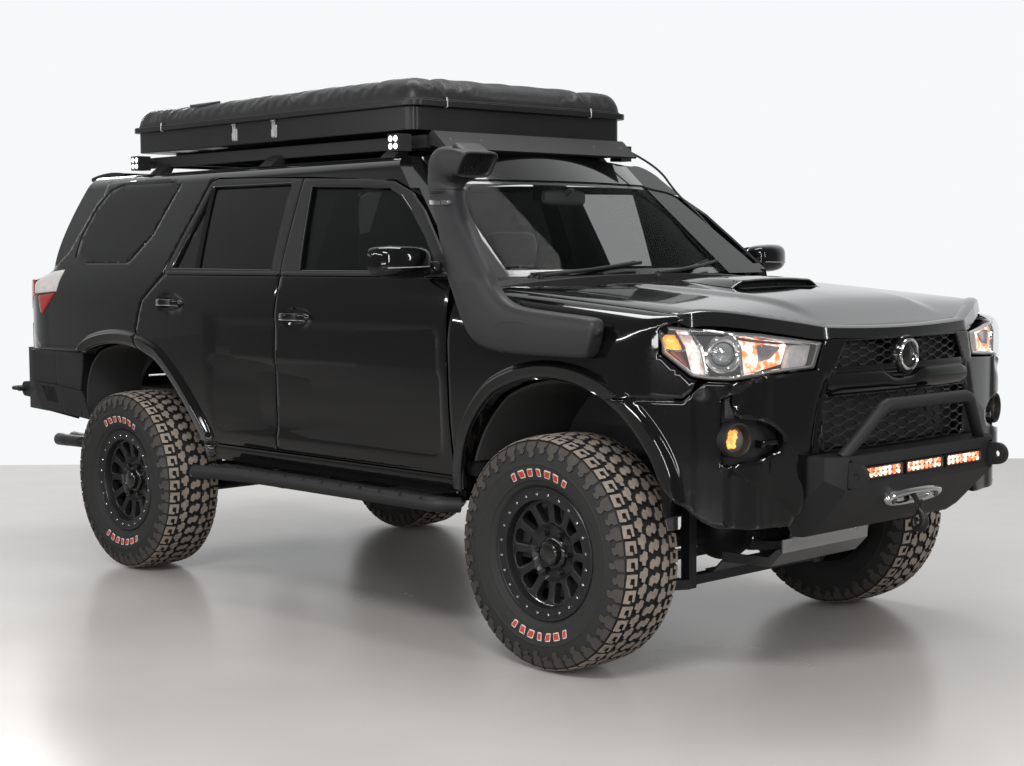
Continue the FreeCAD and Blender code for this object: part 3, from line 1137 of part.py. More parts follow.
def make_tent():
    """Hard-shell roof tent: the tray with its lip, and the soft cover as one plain closed form."""
    rear, front, half = TENT
    tray = block((rear + 24, front - 30), (-half + 24, half - 24), (TENT_LOW, TENT_LIP - 20))
    tray = tray.makeFillet(40, [e for e in tray.Edges if e.BoundBox.ZLength > 50])
    lip = block((rear, front), (-half, half), (TENT_LIP - 26, TENT_LIP))
    lip = lip.makeFillet(60, [e for e in lip.Edges if e.BoundBox.ZLength > 20])
    feet = [block((rear + 60, front - 60), (y - 20, y + 20), (DECK_Z + 14, TENT_LOW)) for y in (-400, 400)]
    save("tent_base", join([tray, lip] + feet))
    low = Part.makePolygon([Vector(x, y, TENT_LIP) for x, y in
                            ((rear + 10, -half + 50), (rear + 50, -half + 10), (front - 50, -half + 10),
                             (front - 10, -half + 50), (front - 10, half - 50), (front - 50, half - 10),
                             (rear + 50, half - 10), (rear + 10, half - 50), (rear + 10, -half + 50))])
    mid = Part.makePolygon([Vector(x, y, TENT_TOP - 26) for x, y in
                            ((rear + 40, -half + 80), (rear + 80, -half + 40), (front - 90, -half + 40),
                             (front - 50, -half + 80), (front - 50, half - 80), (front - 90, half - 40),
                             (rear + 80, half - 40), (rear + 40, half - 80), (rear + 40, -half + 80))])
    top = Part.makePolygon([Vector(x, y, TENT_TOP) for x, y in
                            ((rear + 150, -half + 190), (rear + 190, -half + 150), (front - 200, -half + 150),
                             (front - 160, -half + 190), (front - 160, half - 190), (front - 200, half - 150),
                             (rear + 190, half - 150), (rear + 150, half - 190), (rear + 150, -half + 190))])
    save("tent_cover", Part.makeLoft([low, mid, top], True, True))


CABLE_ROUTE = ((400, 575, 1915), (470, 700, 1850), (520, 775, 1722), (640, 800, 1625), (760, 840, 1480),
               (850, 872, 1400), (930, 845, 1352), (975, 800, 1330))


def make_light_cable():
    """Light cable clipped along the left windscreen post, from the rack down to the scuttle."""
    cable = bent_bar(CABLE_ROUTE, 5, 30)
    cable = cable.cut(CABIN[0.0]).cut(FRONT[0.0])
    save("light_cable", max(cable.Solids, key=lambda solid: solid.Volume))


def main():
    """Build and write every node."""
    make_doors()
    make_mirrors()
    make_body_sides()
    make_roof()
    make_fixed_glass()
    make_cowl()
    make_hood()
    make_front_end()
    make_tailgate()
    make_tail_lights()
    make_tyres()
    make_rims()
    make_knuckles()
    make_rear_axle()
    make_front_suspension()
    make_ladder_frame()
    make_skid_plate()
    make_powertrain()
    make_fuel_tank()
    make_exhaust()
    make_cabin_floor()
    make_seats()
    make_dashboard()
    save("steering_wheel", steering_wheel())
    make_winch_bumper()
    make_winch_fairlead()
    make_bumper_lights()
    make_rear_bumper()
    make_rock_sliders()
    make_snorkel()
    make_roof_rack()
    make_tent()
    make_light_cable()


main()
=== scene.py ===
"""Looks of a lifted off-road 4x4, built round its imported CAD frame.

Lengths in this file are in millimetres and X counts from the middle of the wheelbase; put() turns finished
points into the frame's metres. +X is forward, +Y the left side, +Z up.
"""
from __future__ import annotations

import json
import logging
import math
from dataclasses import dataclass, field
from enum import Enum
from typing import Callable, Optional, Sequence, Union

import bmesh
import bpy
import numpy as np
from mathutils import Matrix, Vector
from mathutils.geometry import delaunay_2d_cdt


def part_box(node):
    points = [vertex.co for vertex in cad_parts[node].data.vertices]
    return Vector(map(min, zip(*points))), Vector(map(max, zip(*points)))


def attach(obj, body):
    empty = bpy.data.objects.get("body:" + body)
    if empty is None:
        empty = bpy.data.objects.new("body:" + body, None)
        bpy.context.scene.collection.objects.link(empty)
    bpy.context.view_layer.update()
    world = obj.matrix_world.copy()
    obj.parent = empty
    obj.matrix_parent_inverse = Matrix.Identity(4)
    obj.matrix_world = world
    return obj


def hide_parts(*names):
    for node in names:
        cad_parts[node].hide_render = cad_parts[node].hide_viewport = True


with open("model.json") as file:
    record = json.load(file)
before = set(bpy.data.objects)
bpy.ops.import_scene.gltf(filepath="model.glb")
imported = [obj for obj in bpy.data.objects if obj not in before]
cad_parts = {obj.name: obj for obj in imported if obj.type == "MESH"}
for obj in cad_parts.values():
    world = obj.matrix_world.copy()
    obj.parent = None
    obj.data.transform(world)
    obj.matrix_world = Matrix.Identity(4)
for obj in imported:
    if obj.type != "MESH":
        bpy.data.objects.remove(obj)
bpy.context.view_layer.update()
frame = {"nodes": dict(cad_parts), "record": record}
LOG = logging.getLogger("off_road_4x4")

Points = np.ndarray
Outline = Sequence[tuple[float, float]]

ORIGIN = np.array([110.0, 0.0, 0.0])      # middle of the wheelbase, in the frame
MM = 0.001
FRONT_AXLE, REAR_AXLE = 1395.0, -1395.0
HALF_TRACK, TYRE_R = 815.0, 415.0
RIGHT, LEFT = -1, 1
SIDES = (("right", RIGHT), ("left", LEFT))
AWAY = (-0.726, 0.688)                    # level direction from the camera to the far surroundings


# ---- surfaces -------------------------------------------------------------------------------------
@dataclass
class Surface:
    """Points in millimetres with their faces, as arrays of point numbers."""

    points: Points
    faces: list[list[int]]

    def moved(self, x: float = 0.0, y: float = 0.0, z: float = 0.0) -> "Surface":
        """The same surface, shifted."""
        return Surface(self.points + np.array([x, y, z]), self.faces)

    def mirrored(self) -> "Surface":
        """The other side's surface, with its faces turned so that they still point outwards."""
        return Surface(self.points * np.array([1.0, -1.0, 1.0]), [face[::-1] for face in self.faces])

    def turned(self, matrix: np.ndarray) -> "Surface":
        """The surface with every point multiplied by a 3 by 3 rotation."""
        return Surface(self.points @ np.asarray(matrix).T, self.faces)


def join(parts: Sequence[Surface]) -> Surface:
    """One surface from many, with the face numbers carried on."""
    points, faces, start = [], [], 0
    for part in parts:
        points.append(part.points)
        faces.extend([[start + i for i in face] for face in part.faces])
        start += len(part.points)
    return Surface(np.vstack(points), faces)


def grid(points: Points, close_u: bool = False, close_v: bool = False, caps: bool = False) -> Surface:
    """Surface through a grid of points.

    Formula: face (i, j) joins points (i, j), (i, j+1), (i+1, j+1), (i+1, j).

    Args:
        points: array of rows by columns by 3.
        close_u: whether the last row joins the first.
        close_v: whether the last column joins the first.
        caps: whether the first and last rows are closed with a flat face.

    Returns:
        The surface.
    """
    rows, columns = points.shape[:2]
    number = np.arange(rows * columns).reshape(rows, columns)
    if close_u:
        number = np.vstack([number, number[:1]])
    if close_v:
        number = np.hstack([number, number[:, :1]])
    quads = np.stack([number[:-1, :-1], number[:-1, 1:], number[1:, 1:], number[1:, :-1]], axis=-1)
    faces = quads.reshape(-1, 4).tolist()
    if caps:
        faces.append(list(range(columns))[::-1])
        faces.append([(rows - 1) * columns + i for i in range(columns)])
    return Surface(points.reshape(-1, 3), faces)


def facing_out(surface: Surface) -> Surface:
    """A closed surface with all faces turned outwards.

    Formula: the signed volume, a sum of point products over the faces' fans, is made positive.
    """
    p = surface.points
    volume = 0.0
    for face in surface.faces:
        a = p[face[0]]
        for i in range(1, len(face) - 1):
            volume += float(np.dot(a, np.cross(p[face[i]], p[face[i + 1]])))
    return surface if volume >= 0 else Surface(p, [face[::-1] for face in surface.faces])


def rod(lines: Sequence[Points]) -> Surface:
    """Closed form from lines that run along it side by side, with flat ends."""
    return facing_out(grid(np.array(lines).transpose(1, 0, 2), close_v=True, caps=True))


def on_side(surface: Surface, sign: int) -> Surface:
    """A right-hand surface on the side that it is for."""
    return surface if sign == RIGHT else surface.mirrored()


def turns(count: int) -> Points:
    """Equal steps of angle round a circle, from zero."""
    return np.linspace(0, 2 * math.pi, count, endpoint=False)


def squarish(angle: Points, power: Union[float, Points]) -> tuple[Points, Points]:
    """Cosine and sine with their sizes raised to a power, which squares a circle below 1."""
    c, s = np.cos(angle), np.sin(angle)
    return np.sign(c) * np.abs(c) ** power, np.sign(s) * np.abs(s) ** power


def length_along(path: Points) -> Points:
    """Length along a path at each of its points."""
    return np.concatenate([[0.0], np.cumsum(np.linalg.norm(np.diff(path, axis=0), axis=1))])


def spline(points: Sequence[Sequence[float]], count: int, closed: bool = False) -> Points:
    """Even steps along a Catmull-Rom curve through the points.

    Formula: each span is the cubic whose end slopes are half the chord between the neighbours.
    """
    p = np.asarray(points, float)
    if closed:
        p = np.vstack([p[-1], p, p[0], p[1]])
    else:
        p = np.vstack([2 * p[0] - p[1], p, 2 * p[-1] - p[-2]])
    t = np.linspace(0, 1, 16, endpoint=False)[:, None]
    spans = []
    for a, b, c, d in zip(p[:-3], p[1:-2], p[2:-1], p[3:]):
        spans.append(0.5 * (2 * b + (c - a) * t + (2 * a - 5 * b + 4 * c - d) * t ** 2
                            + (3 * b - a - 3 * c + d) * t ** 3))
    dense = np.vstack(spans + [p[-2:-1]])
    return even(dense, count)


def even(path: Points, count: int) -> Points:
    """A path cut into equal steps of its own length."""
    length = length_along(path)
    at = np.linspace(0, length[-1], count)
    return np.stack([np.interp(at, length, path[:, k]) for k in range(path.shape[1])], axis=1)


def round_corners(points: Sequence[Sequence[float]], radius: float, steps: int = 6) -> Points:
    """A bent path whose corners are parabolic arcs of about the given radius."""
    p = np.asarray(points, float)
    out = [p[0]]
    for before, corner, after in zip(p, p[1:], p[2:]):
        a, b = before - corner, after - corner
        la, lb = np.linalg.norm(a), np.linalg.norm(b)
        a, b = a / la, b / lb
        half = 0.5 * math.acos(float(np.clip(np.dot(a, b), -1, 1)))
        reach = min(radius / math.tan(half), 0.48 * la, 0.48 * lb)
        t = np.linspace(0, 1, steps)[:, None]
        start, end = corner + a * reach, corner + b * reach
        out.extend((1 - t) ** 2 * start + 2 * t * (1 - t) * corner + t ** 2 * end)
    out.append(p[-1])
    return np.array(out)


def tube(path: Points, radius: Union[float, Points], sides: int = 16,
         profile: Optional[Points] = None) -> Surface:
    """Closed tube along a path.

    Formula: a profile (a, b) at each path point p stands at p + a u + b v, where u and v are carried along
    the path without twist.

    Args:
        path: points along the middle.
        radius: tube radius, one or one for each point.
        sides: points round a circular profile.
        profile: other profile, as (a, b) rows scaled by the radius.

    Returns:
        The tube with flat ends.
    """
    path = np.asarray(path, float)
    tangent = np.gradient(path, axis=0)
    tangent /= np.linalg.norm(tangent, axis=1)[:, None]
    ref = np.array([0.0, 0.0, 1.0]) if abs(tangent[0][2]) < 0.9 else np.array([1.0, 0.0, 0.0])
    u = np.cross(tangent[0], ref)
    us = []
    for t in tangent:
        u = u - np.dot(u, t) * t
        u /= np.linalg.norm(u)
        us.append(u)
    us = np.array(us)
    vs = np.cross(tangent, us)
    if profile is None:
        a = turns(sides)
        profile = np.stack([np.cos(a), np.sin(a)], axis=1)
    r = np.broadcast_to(np.asarray(radius, float), (len(path),))[:, None, None]
    ring = profile[None, :, 0:1] * us[:, None, :] + profile[None, :, 1:2] * vs[:, None, :]
    return facing_out(grid(path[:, None, :] + r * ring, close_v=True, caps=True))


class Axis(Enum):
    """Axis that a turned piece goes round."""

    X = 0
    Y = 1
    Z = 2


def lathe(profile: Outline, axis: Axis, centre: Sequence[float] = (0.0, 0.0, 0.0), sides: int = 48,
          closed: bool = True) -> Surface:
    """Surface turned round an axis.

    Formula: an (along, radius) pair and an angle t give the point along the axis plus radius times
    (cos t, sin t) across it.
    """
    p = np.asarray(profile, float)
    t = turns(sides)
    along = np.repeat(p[:, 0:1], sides, axis=1)
    across = p[:, 1:2] * np.cos(t)
    other = p[:, 1:2] * np.sin(t)
    order = {Axis.X: (along, across, other), Axis.Y: (across, along, other),
             Axis.Z: (across, other, along)}[axis]
    points = np.stack(order, axis=-1) + np.asarray(centre, float)
    return facing_out(grid(points, close_u=closed, close_v=True, caps=not closed))


def box(x: tuple[float, float], y: tuple[float, float], z: tuple[float, float]) -> Surface:
    """Six-sided box from three (low, high) pairs."""
    p = np.array([[i, j, k] for i in x for j in y for k in z], float)
    return facing_out(Surface(p, [[0, 1, 3, 2], [4, 6, 7, 5], [0, 4, 5, 1], [2, 3, 7, 6], [0, 2, 6, 4],
                                  [1, 5, 7, 3]]))


def prism(outline: Outline, low: float, high: float, plane: str = "xz") -> Surface:
    """An outline carried straight from low to high along the third axis."""
    o = np.asarray(outline, float)
    place = {"xz": (0, 2, 1), "xy": (0, 1, 2), "yz": (1, 2, 0)}[plane]
    rows = []
    for level in (low, high):
        p = np.zeros((len(o), 3))
        p[:, place[0]], p[:, place[1]], p[:, place[2]] = o[:, 0], o[:, 1], level
        rows.append(p)
    return facing_out(grid(np.array(rows), close_v=True, caps=True))


def inside(points: Points, outline: Points) -> np.ndarray:
    """Which 2-D points lie inside a closed outline, by counting crossings of a ray."""
    x, y = points[:, 0:1], points[:, 1:2]
    a, b = outline, np.roll(outline, -1, axis=0)
    crosses = (a[:, 1] > y) != (b[:, 1] > y)
    rise = np.where(b[:, 1] == a[:, 1], 1e-9, b[:, 1] - a[:, 1])
    at = a[:, 0] + (y - a[:, 1]) * (b[:, 0] - a[:, 0]) / rise
    return (np.sum(crosses & (x < at), axis=1) % 2) == 1


def distance_to(points: Points, outline: Points, closed: bool = True) -> np.ndarray:
    """Distance of 2-D points from the lines of an outline."""
    a = outline if closed else outline[:-1]
    b = np.roll(outline, -1, axis=0) if closed else outline[1:]
    best = np.full(len(points), 1e9)
    for start, end in zip(a, b):
        run = end - start
        t = np.clip(((points - start) @ run) / max(float(run @ run), 1e-9), 0, 1)
        best = np.minimum(best, np.linalg.norm(points - start - t[:, None] * run, axis=1))
    return best


def dense(outline: Outline, step: float) -> Points:
    """An outline's corners with extra points, so that none is further than a step from the next."""
    o = np.asarray(outline, float)
    out = []
    for a, b in zip(o, np.roll(o, -1, axis=0)):
        count = max(1, int(np.linalg.norm(b - a) / step))
        out.extend(a + (b - a) * np.arange(count)[:, None] / count)
    return np.array(out)


# How a panel's mesh is laid out: shares of its spacing, shares of its hem, and millimetres from a guide row.
EDGE_STEP, LATTICE_SHIFT, LATTICE_ROOM = 0.7, (0.37, 0.41), 0.3
ROLL_ROW, RING_ROOM = 0.28, 0.93
GUIDE_ROOM, GUIDE_REACH = 3.0, 7.5


def within(points: Points, loops: Sequence[Points]) -> np.ndarray:
    """Which 2-D points lie inside the first loop and outside the others."""
    good = inside(points, loops[0])
    for hole in loops[1:]:
        good &= ~inside(points, hole)
    return good


def nearest(points: Points, loops: Sequence[Points]) -> Points:
    """Distance of 2-D points from the nearest of several closed loops."""
    return np.min([distance_to(points, loop) for loop in loops], axis=0)


def clear_of(points: Points, loops: Sequence[Points], margin: Union[float, Points]) -> Points:
    """The 2-D points that lie in a sheet and no nearer to its edges than their margins."""
    margins = np.broadcast_to(margin, (len(points),))
    good = within(points, loops)
    return points[good][nearest(points[good], loops) >= margins[good]]


def rows_beside(loops: Sequence[Points], hem: float) -> Points:
    """Points in the sheet along its edges, at the two distances where the rolled edge bends."""
    rows, distances = [], []
    for loop in loops:
        along = np.roll(loop, -1, axis=0) - np.roll(loop, 1, axis=0)
        along /= np.maximum(np.linalg.norm(along, axis=1)[:, None], 1e-9)
        normal = np.stack([-along[:, 1], along[:, 0]], axis=1)
        for off in (ROLL_ROW * hem, hem):
            rows += [loop + normal * off, loop - normal * off]
            distances += [np.full(len(loop), off)] * 2
    return clear_of(np.vstack(rows), loops, np.concatenate(distances) * RING_ROOM)


def triangles_over(points: Points, loops: Sequence[Points]) -> tuple[Points, Points]:
    """Points and triangles of a flat sheet.

    Args:
        points: the sheet's points, beginning with the loops' own.
        loops: its outline and its holes.

    Returns:
        The points that the triangulation keeps, and its triangles inside the sheet.
    """
    edges, start = [], 0
    for loop in loops:
        count = len(loop)
        edges += [(start + i, start + (i + 1) % count) for i in range(count)]
        start += count
    verts, _, tris, _, _, _ = delaunay_2d_cdt([Vector(p) for p in points], edges, [], 0, 1e-4)
    flat = np.array([(v[0], v[1]) for v in verts])
    tri = np.array([list(t) for t in tris])
    return flat, tri[within(flat[tri].mean(axis=1), loops)]


def open_edges(tri: Points) -> Points:
    """Edges that only one triangle has, in that triangle's order."""
    pairs = np.vstack([tri[:, [0, 1]], tri[:, [1, 2]], tri[:, [2, 0]]]).tolist()
    seen = {tuple(p) for p in pairs}
    return np.array([p for p in pairs if (p[1], p[0]) not in seen])


def panel(outline: Outline, shape: Callable[[Points, Points], Points], depth: float = 10.0, hem: float = 4.0,
          spacing: float = 24.0, holes: Sequence[Outline] = (), lines: Sequence[Points] = ()) -> Surface:
    """Sheet cut to an outline and bent to a shape, with rolled edges and a return all round.

    Formula: shape(p, drop) gives the 3-D point over the 2-D point p, sunk by drop below the surface. The drop
    is R minus the height of a quarter circle of radius R at the point's distance from the edge.

    Args:
        outline: the sheet's edge in two dimensions.
        shape: function of the 2-D points and their drops.
        depth: how far the edges turn in.
        hem: radius of the rolled edge.
        spacing: mesh size away from the edges.
        holes: outlines that are cut out.
        lines: rows of points that the mesh follows, where the shape bends sharply.

    Returns:
        The sheet.
    """
    loops = [dense(o, spacing * EDGE_STEP) for o in (outline, *holes)]
    low, high = loops[0].min(axis=0), loops[0].max(axis=0)
    xs, ys = (np.arange(a, b, spacing) + spacing * shift for a, b, shift in zip(low, high, LATTICE_SHIFT))
    lattice = np.stack(np.meshgrid(xs, ys), axis=-1).reshape(-1, 2)
    lattice = clear_of(lattice, loops, hem + spacing * LATTICE_ROOM)
    if len(lines):
        for row in lines:
            if len(lattice):
                lattice = lattice[distance_to(lattice, row, False) > GUIDE_REACH]
        lattice = np.vstack([clear_of(np.vstack(lines), loops, hem + GUIDE_ROOM), lattice])
    flat, tri = triangles_over(np.vstack([*loops, rows_beside(loops, hem), lattice]), loops)
    t = np.clip(nearest(flat, loops) / hem, 0, 1)
    drop = hem * (1 - np.sqrt(np.clip(1 - (1 - t) ** 2, 0, 1)))
    rim = open_edges(tri)
    rim_ids = np.unique(rim)
    back = {int(v): len(flat) + k for k, v in enumerate(rim_ids)}
    low_ring = shape(flat[rim_ids], np.full(len(rim_ids), hem + depth))
    faces = tri.tolist() + [[int(b), int(a), back[int(a)], back[int(b)]] for a, b in rim]
    return Surface(np.vstack([shape(flat, drop), low_ring]), faces)


# ---- finishes -------------------------------------------------------------------------------------
def feed(tree: bpy.types.NodeTree, slot: bpy.types.NodeSocket, value: object) -> None:
    """Link a socket to a node's input, or set the input's own value."""
    if isinstance(value, Sock):
        tree.links.new(value.socket, slot)
    else:
        slot.default_value = value


class Sock:
    """A shader socket that takes part in expressions; each operator adds a Math node."""

    def __init__(self, tree: bpy.types.NodeTree, socket: bpy.types.NodeSocket) -> None:
        """Keep the socket with its tree."""
        self.tree, self.socket = tree, socket

    def _math(self, kind: str, a: object, b: object) -> "Sock":
        """A Math node on two values or sockets."""
        node = self.tree.nodes.new("ShaderNodeMath")
        node.operation = kind
        for slot, value in zip(node.inputs, (a, b)):
            feed(self.tree, slot, value)
        return Sock(self.tree, node.outputs[0])

    def __add__(self, other: object) -> "Sock":
        """Sum."""
        return self._math("ADD", self, other)

    def __mul__(self, other: object) -> "Sock":
        """Product."""
        return self._math("MULTIPLY", self, other)

    def __sub__(self, other: object) -> "Sock":
        """Difference."""
        return self._math("SUBTRACT", self, other)

    def above(self, edge: float, soft: float) -> "Sock":
        """Zero below an edge and one above it, over a soft width."""
        ramp = (self - (edge - soft / 2)) * (1 / soft)
        return ramp._math("MAXIMUM", ramp._math("MINIMUM", ramp, 1.0), 0.0)


class Shader:
    """Builds one material's nodes."""

    def __init__(self, name: str) -> None:
        """Start an empty material with its output."""
        self.material = bpy.data.materials.new(name)
        self.material.use_nodes = True
        self.tree = self.material.node_tree
        self.tree.nodes.clear()
        self.output = self.tree.nodes.new("ShaderNodeOutputMaterial")

    def node(self, kind: str, settings: Optional[dict] = None, **inputs: object) -> bpy.types.Node:
        """Add a node.

        Args:
            kind: node type.
            settings: node properties, set first.
            inputs: values or sockets by input name, with _ for a space.

        Returns:
            The node.
        """
        node = self.tree.nodes.new(kind)
        for key, value in (settings or {}).items():
            setattr(node, key, value)
        for key, value in inputs.items():
            feed(self.tree, node.inputs[key.replace("_", " ")], value)
        return node

    def out(self, node: bpy.types.Node, name: Union[str, int] = 0) -> Sock:
        """One output of a node, for expressions."""
        return Sock(self.tree, node.outputs[name])

    def place(self) -> Sock:
        """Object coordinates."""
        return self.out(self.node("ShaderNodeTexCoord"), "Object")

    def noise(self, scale: float, detail: float = 3.0, rough: float = 0.5) -> Sock:
        """Noise in the object's own space, from 0 to 1."""
        node = self.node("ShaderNodeTexNoise", Vector=self.place(), Scale=scale, Detail=detail,
                         Roughness=rough)
        return self.out(node, 0)

    def mix(self, factor: object, a: object, b: object) -> Sock:
        """Mix of two colours."""
        node = self.node("ShaderNodeMix", {"data_type": "RGBA"})
        for slot, value in ((node.inputs[0], factor), (node.inputs[6], a), (node.inputs[7], b)):
            feed(self.tree, slot, value)
        return Sock(self.tree, node.outputs[2])

    def finish(self, shader: Sock) -> bpy.types.Material:
        """Connect the surface."""
        self.tree.links.new(shader.socket, self.output.inputs[0])
        return self.material


def rgba(colour: Sequence[float]) -> tuple[float, float, float, float]:
    """A colour with full alpha."""
    return (colour[0], colour[1], colour[2], 1.0)


@dataclass(frozen=True)
class Finish:
    """One surface finish: two tones and two roughnesses that noise mixes, with an optional grain."""

    name: str
    tone: tuple[float, float, float]
    second: tuple[float, float, float]
    rough: tuple[float, float] = (0.4, 0.5)
    scale: float = 6.0
    metallic: float = 0.0
    coat: float = 0.0
    grain: float = 0.0
    grain_scale: float = 900.0
    specular: float = 0.5
    sheen: float = 0.0
    alpha: float = 1.0
    glow: tuple[float, float, float] = (0.0, 0.0, 0.0)
    glow_strength: float = 0.0

    def make(self) -> bpy.types.Material:
        """Build the material once.

        Returns:
            The material, the same one at each call.
        """
        if self.name in bpy.data.materials:
            return bpy.data.materials[self.name]
        shader = Shader(self.name)
        cloud = shader.noise(self.scale, 4.0)
        values = dict(Base_Color=shader.mix(cloud, rgba(self.tone), rgba(self.second)),
                      Roughness=cloud * (self.rough[1] - self.rough[0]) + self.rough[0],
                      Metallic=self.metallic, Coat_Weight=self.coat, Coat_Roughness=0.03,
                      Specular_IOR_Level=self.specular, Sheen_Weight=self.sheen,
                      Alpha=self.alpha)
        if self.glow_strength:
            values.update(Emission_Color=rgba(self.glow), Emission_Strength=self.glow_strength)
        if self.grain:
            bump = shader.node("ShaderNodeBump", Strength=self.grain, Distance=0.0004,
                               Height=shader.noise(self.grain_scale, 2.0))
            values["Normal"] = shader.out(bump)
        return shader.finish(shader.out(shader.node("ShaderNodeBsdfPrincipled", **values)))


PAINT = Finish("gloss_black_paint", (0.0022, 0.0022, 0.0026), (0.0040, 0.0040, 0.0045), (0.10, 0.14), 3.0,
               coat=1.0, specular=0.12)
SATIN = Finish("satin_black_trim", (0.011, 0.011, 0.012), (0.016, 0.016, 0.017), (0.36, 0.46), 12.0,
               grain=0.05)
PLASTIC = Finish("grained_black_plastic", (0.010, 0.010, 0.011), (0.015, 0.015, 0.016), (0.5, 0.62), 20.0,
                 grain=0.25, grain_scale=1400.0)
STEEL = Finish("textured_black_steel", (0.013, 0.013, 0.014), (0.019, 0.019, 0.020), (0.48, 0.6), 9.0,
               grain=0.35, grain_scale=1500.0)
CHASSIS = Finish("chassis_black", (0.012, 0.012, 0.012), (0.03, 0.027, 0.024), (0.5, 0.75), 8.0, grain=0.2)
CAST = Finish("cast_grey_metal", (0.10, 0.10, 0.10), (0.17, 0.165, 0.16), (0.45, 0.65), 14.0, metallic=0.8,
              grain=0.3)
GLOSS_TRIM = Finish("gloss_black_trim", (0.006, 0.006, 0.006), (0.009, 0.009, 0.009), (0.12, 0.18), 5.0,
                    coat=0.6)
MOULDING = Finish("dark_grey_moulding", (0.020, 0.020, 0.022), (0.028, 0.028, 0.030), (0.42, 0.52), 7.0,
                  grain=0.45, grain_scale=1100.0)
ALUMINIUM = Finish("bare_aluminium", (0.52, 0.52, 0.53), (0.66, 0.66, 0.67), (0.28, 0.42), 5.0, metallic=1.0,
                   grain=0.08)
BRIGHT = Finish("bright_metal", (0.80, 0.80, 0.80), (0.88, 0.88, 0.88), (0.06, 0.12), 9.0, metallic=1.0)
BURNT = Finish("burnt_steel", (0.030, 0.029, 0.029), (0.060, 0.056, 0.054), (0.3, 0.45), 8.0, metallic=0.6)
SMOKED = Finish("smoked_glass", (0.003, 0.003, 0.004), (0.005, 0.005, 0.006), (0.02, 0.04), 2.0, specular=0.6,
                alpha=0.93)
HALF_TINT = Finish("lightly_smoked_glass", (0.003, 0.004, 0.004), (0.005, 0.006, 0.006), (0.02, 0.04), 2.0,
                   specular=0.6, alpha=0.5)
CLEAR = Finish("clear_glass", (0.010, 0.013, 0.012), (0.014, 0.017, 0.016), (0.01, 0.02), 2.0, specular=0.32,
               alpha=0.06)
LENS = Finish("clear_lamp_cover", (0.5, 0.5, 0.5), (0.55, 0.55, 0.55), (0.01, 0.02), 2.0, specular=0.7,
              alpha=0.14)
RED_LENS = Finish("red_lamp_cover", (0.35, 0.01, 0.008), (0.42, 0.015, 0.01), (0.05, 0.08), 6.0, coat=0.8)
AMBER = Finish("amber_lamp", (0.9, 0.32, 0.02), (1.0, 0.42, 0.05), (0.1, 0.2), 30.0, coat=0.5,
               glow=(1.0, 0.35, 0.02), glow_strength=0.9)
CABIN_GREY = Finish("cabin_plastic", (0.02, 0.02, 0.021), (0.03, 0.03, 0.031), (0.55, 0.7), 10.0, grain=0.2)
CLOTH = Finish("seat_cloth", (0.022, 0.022, 0.024), (0.034, 0.034, 0.036), (0.8, 0.95), 60.0, sheen=0.3,
               grain=0.4, grain_scale=700.0)
CARPET = Finish("floor_carpet", (0.010, 0.010, 0.010), (0.016, 0.016, 0.016), (0.85, 0.98), 80.0, grain=0.5)
TENT_TRAY = Finish("tent_tray_shell", (0.008, 0.008, 0.009), (0.012, 0.012, 0.013), (0.28, 0.4), 6.0,
                   grain=0.1)
TENT_CLOTH = Finish("coated_tent_cloth", (0.009, 0.009, 0.010), (0.015, 0.015, 0.016), (0.34, 0.52), 5.0,
                    sheen=0.04, grain=0.35, grain_scale=1600.0)
RUBBER = Finish("tyre_rubber", (0.034, 0.032, 0.031), (0.060, 0.056, 0.053), (0.72, 0.88), 25.0, grain=0.3,
                grain_scale=500.0)
SHEATH = Finish("cable_sheath", (0.012, 0.012, 0.012), (0.02, 0.02, 0.02), (0.35, 0.5), 40.0)

CAD_FINISHES: dict[str, Finish] = {
    "body_paint": PAINT, "steel_black": STEEL, "chassis_black": CHASSIS, "trim_black": PLASTIC,
    "grille_black": GLOSS_TRIM, "snorkel_plastic": MOULDING, "tyre_rubber": RUBBER, "wheel_black": SATIN,
    "cast_metal": CAST, "aluminium_plate": ALUMINIUM, "exhaust_steel": BURNT, "window_glass": CLEAR,
    "tinted_glass": SMOKED, "lamp_clear": LENS, "lamp_red": RED_LENS, "lamp_amber": AMBER,
    "interior_dark": CABIN_GREY, "seat_fabric": CLOTH, "floor_carpet": CARPET, "tent_shell": TENT_TRAY,
    "tent_fabric": TENT_CLOTH, "cable_black": SHEATH, "tank_plastic": PLASTIC,
}


def put(name: str, surface: Surface, body: str, slot: str, finish: Finish, smooth: float = 32.0,
        bevel: float = 0.0, replaces: Sequence[str] = (), subdivide: int = 0) -> bpy.types.Object:
    """Make one finished piece.

    Args:
        name: the piece's name.
        surface: its points and faces in millimetres.
        body: CAD body that it rides on.
        slot: material slot of the record.
        finish: its finish.
        smooth: edges sharper than this many degrees stay sharp.
        bevel: width of rounded edges, 0 for none.
        replaces: CAD nodes that it stands for.
        subdivide: levels of subdivision.

    Returns:
        The object.
    """
    mesh = bpy.data.meshes.new(name)
    mesh.from_pydata(((surface.points + ORIGIN) * MM).tolist(), [], surface.faces)
    mesh.update()
    mesh.shade_smooth()
    if not bevel:
        mesh.set_sharp_from_angle(angle=math.radians(smooth))
    piece = bpy.data.objects.new(name, mesh)
    bpy.context.scene.collection.objects.link(piece)
    mesh.materials.append(finish.make())
    if subdivide:
        sub = piece.modifiers.new("subdivision", "SUBSURF")
        sub.levels = sub.render_levels = subdivide
    if bevel:
        rounding = piece.modifiers.new("bevel", "BEVEL")
        rounding.width, rounding.segments = bevel * MM, 3
        rounding.limit_method, rounding.angle_limit = "ANGLE", math.radians(28)
        rounding.harden_normals = True
    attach(piece, body)
    for node in replaces:
        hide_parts(node)
    return piece


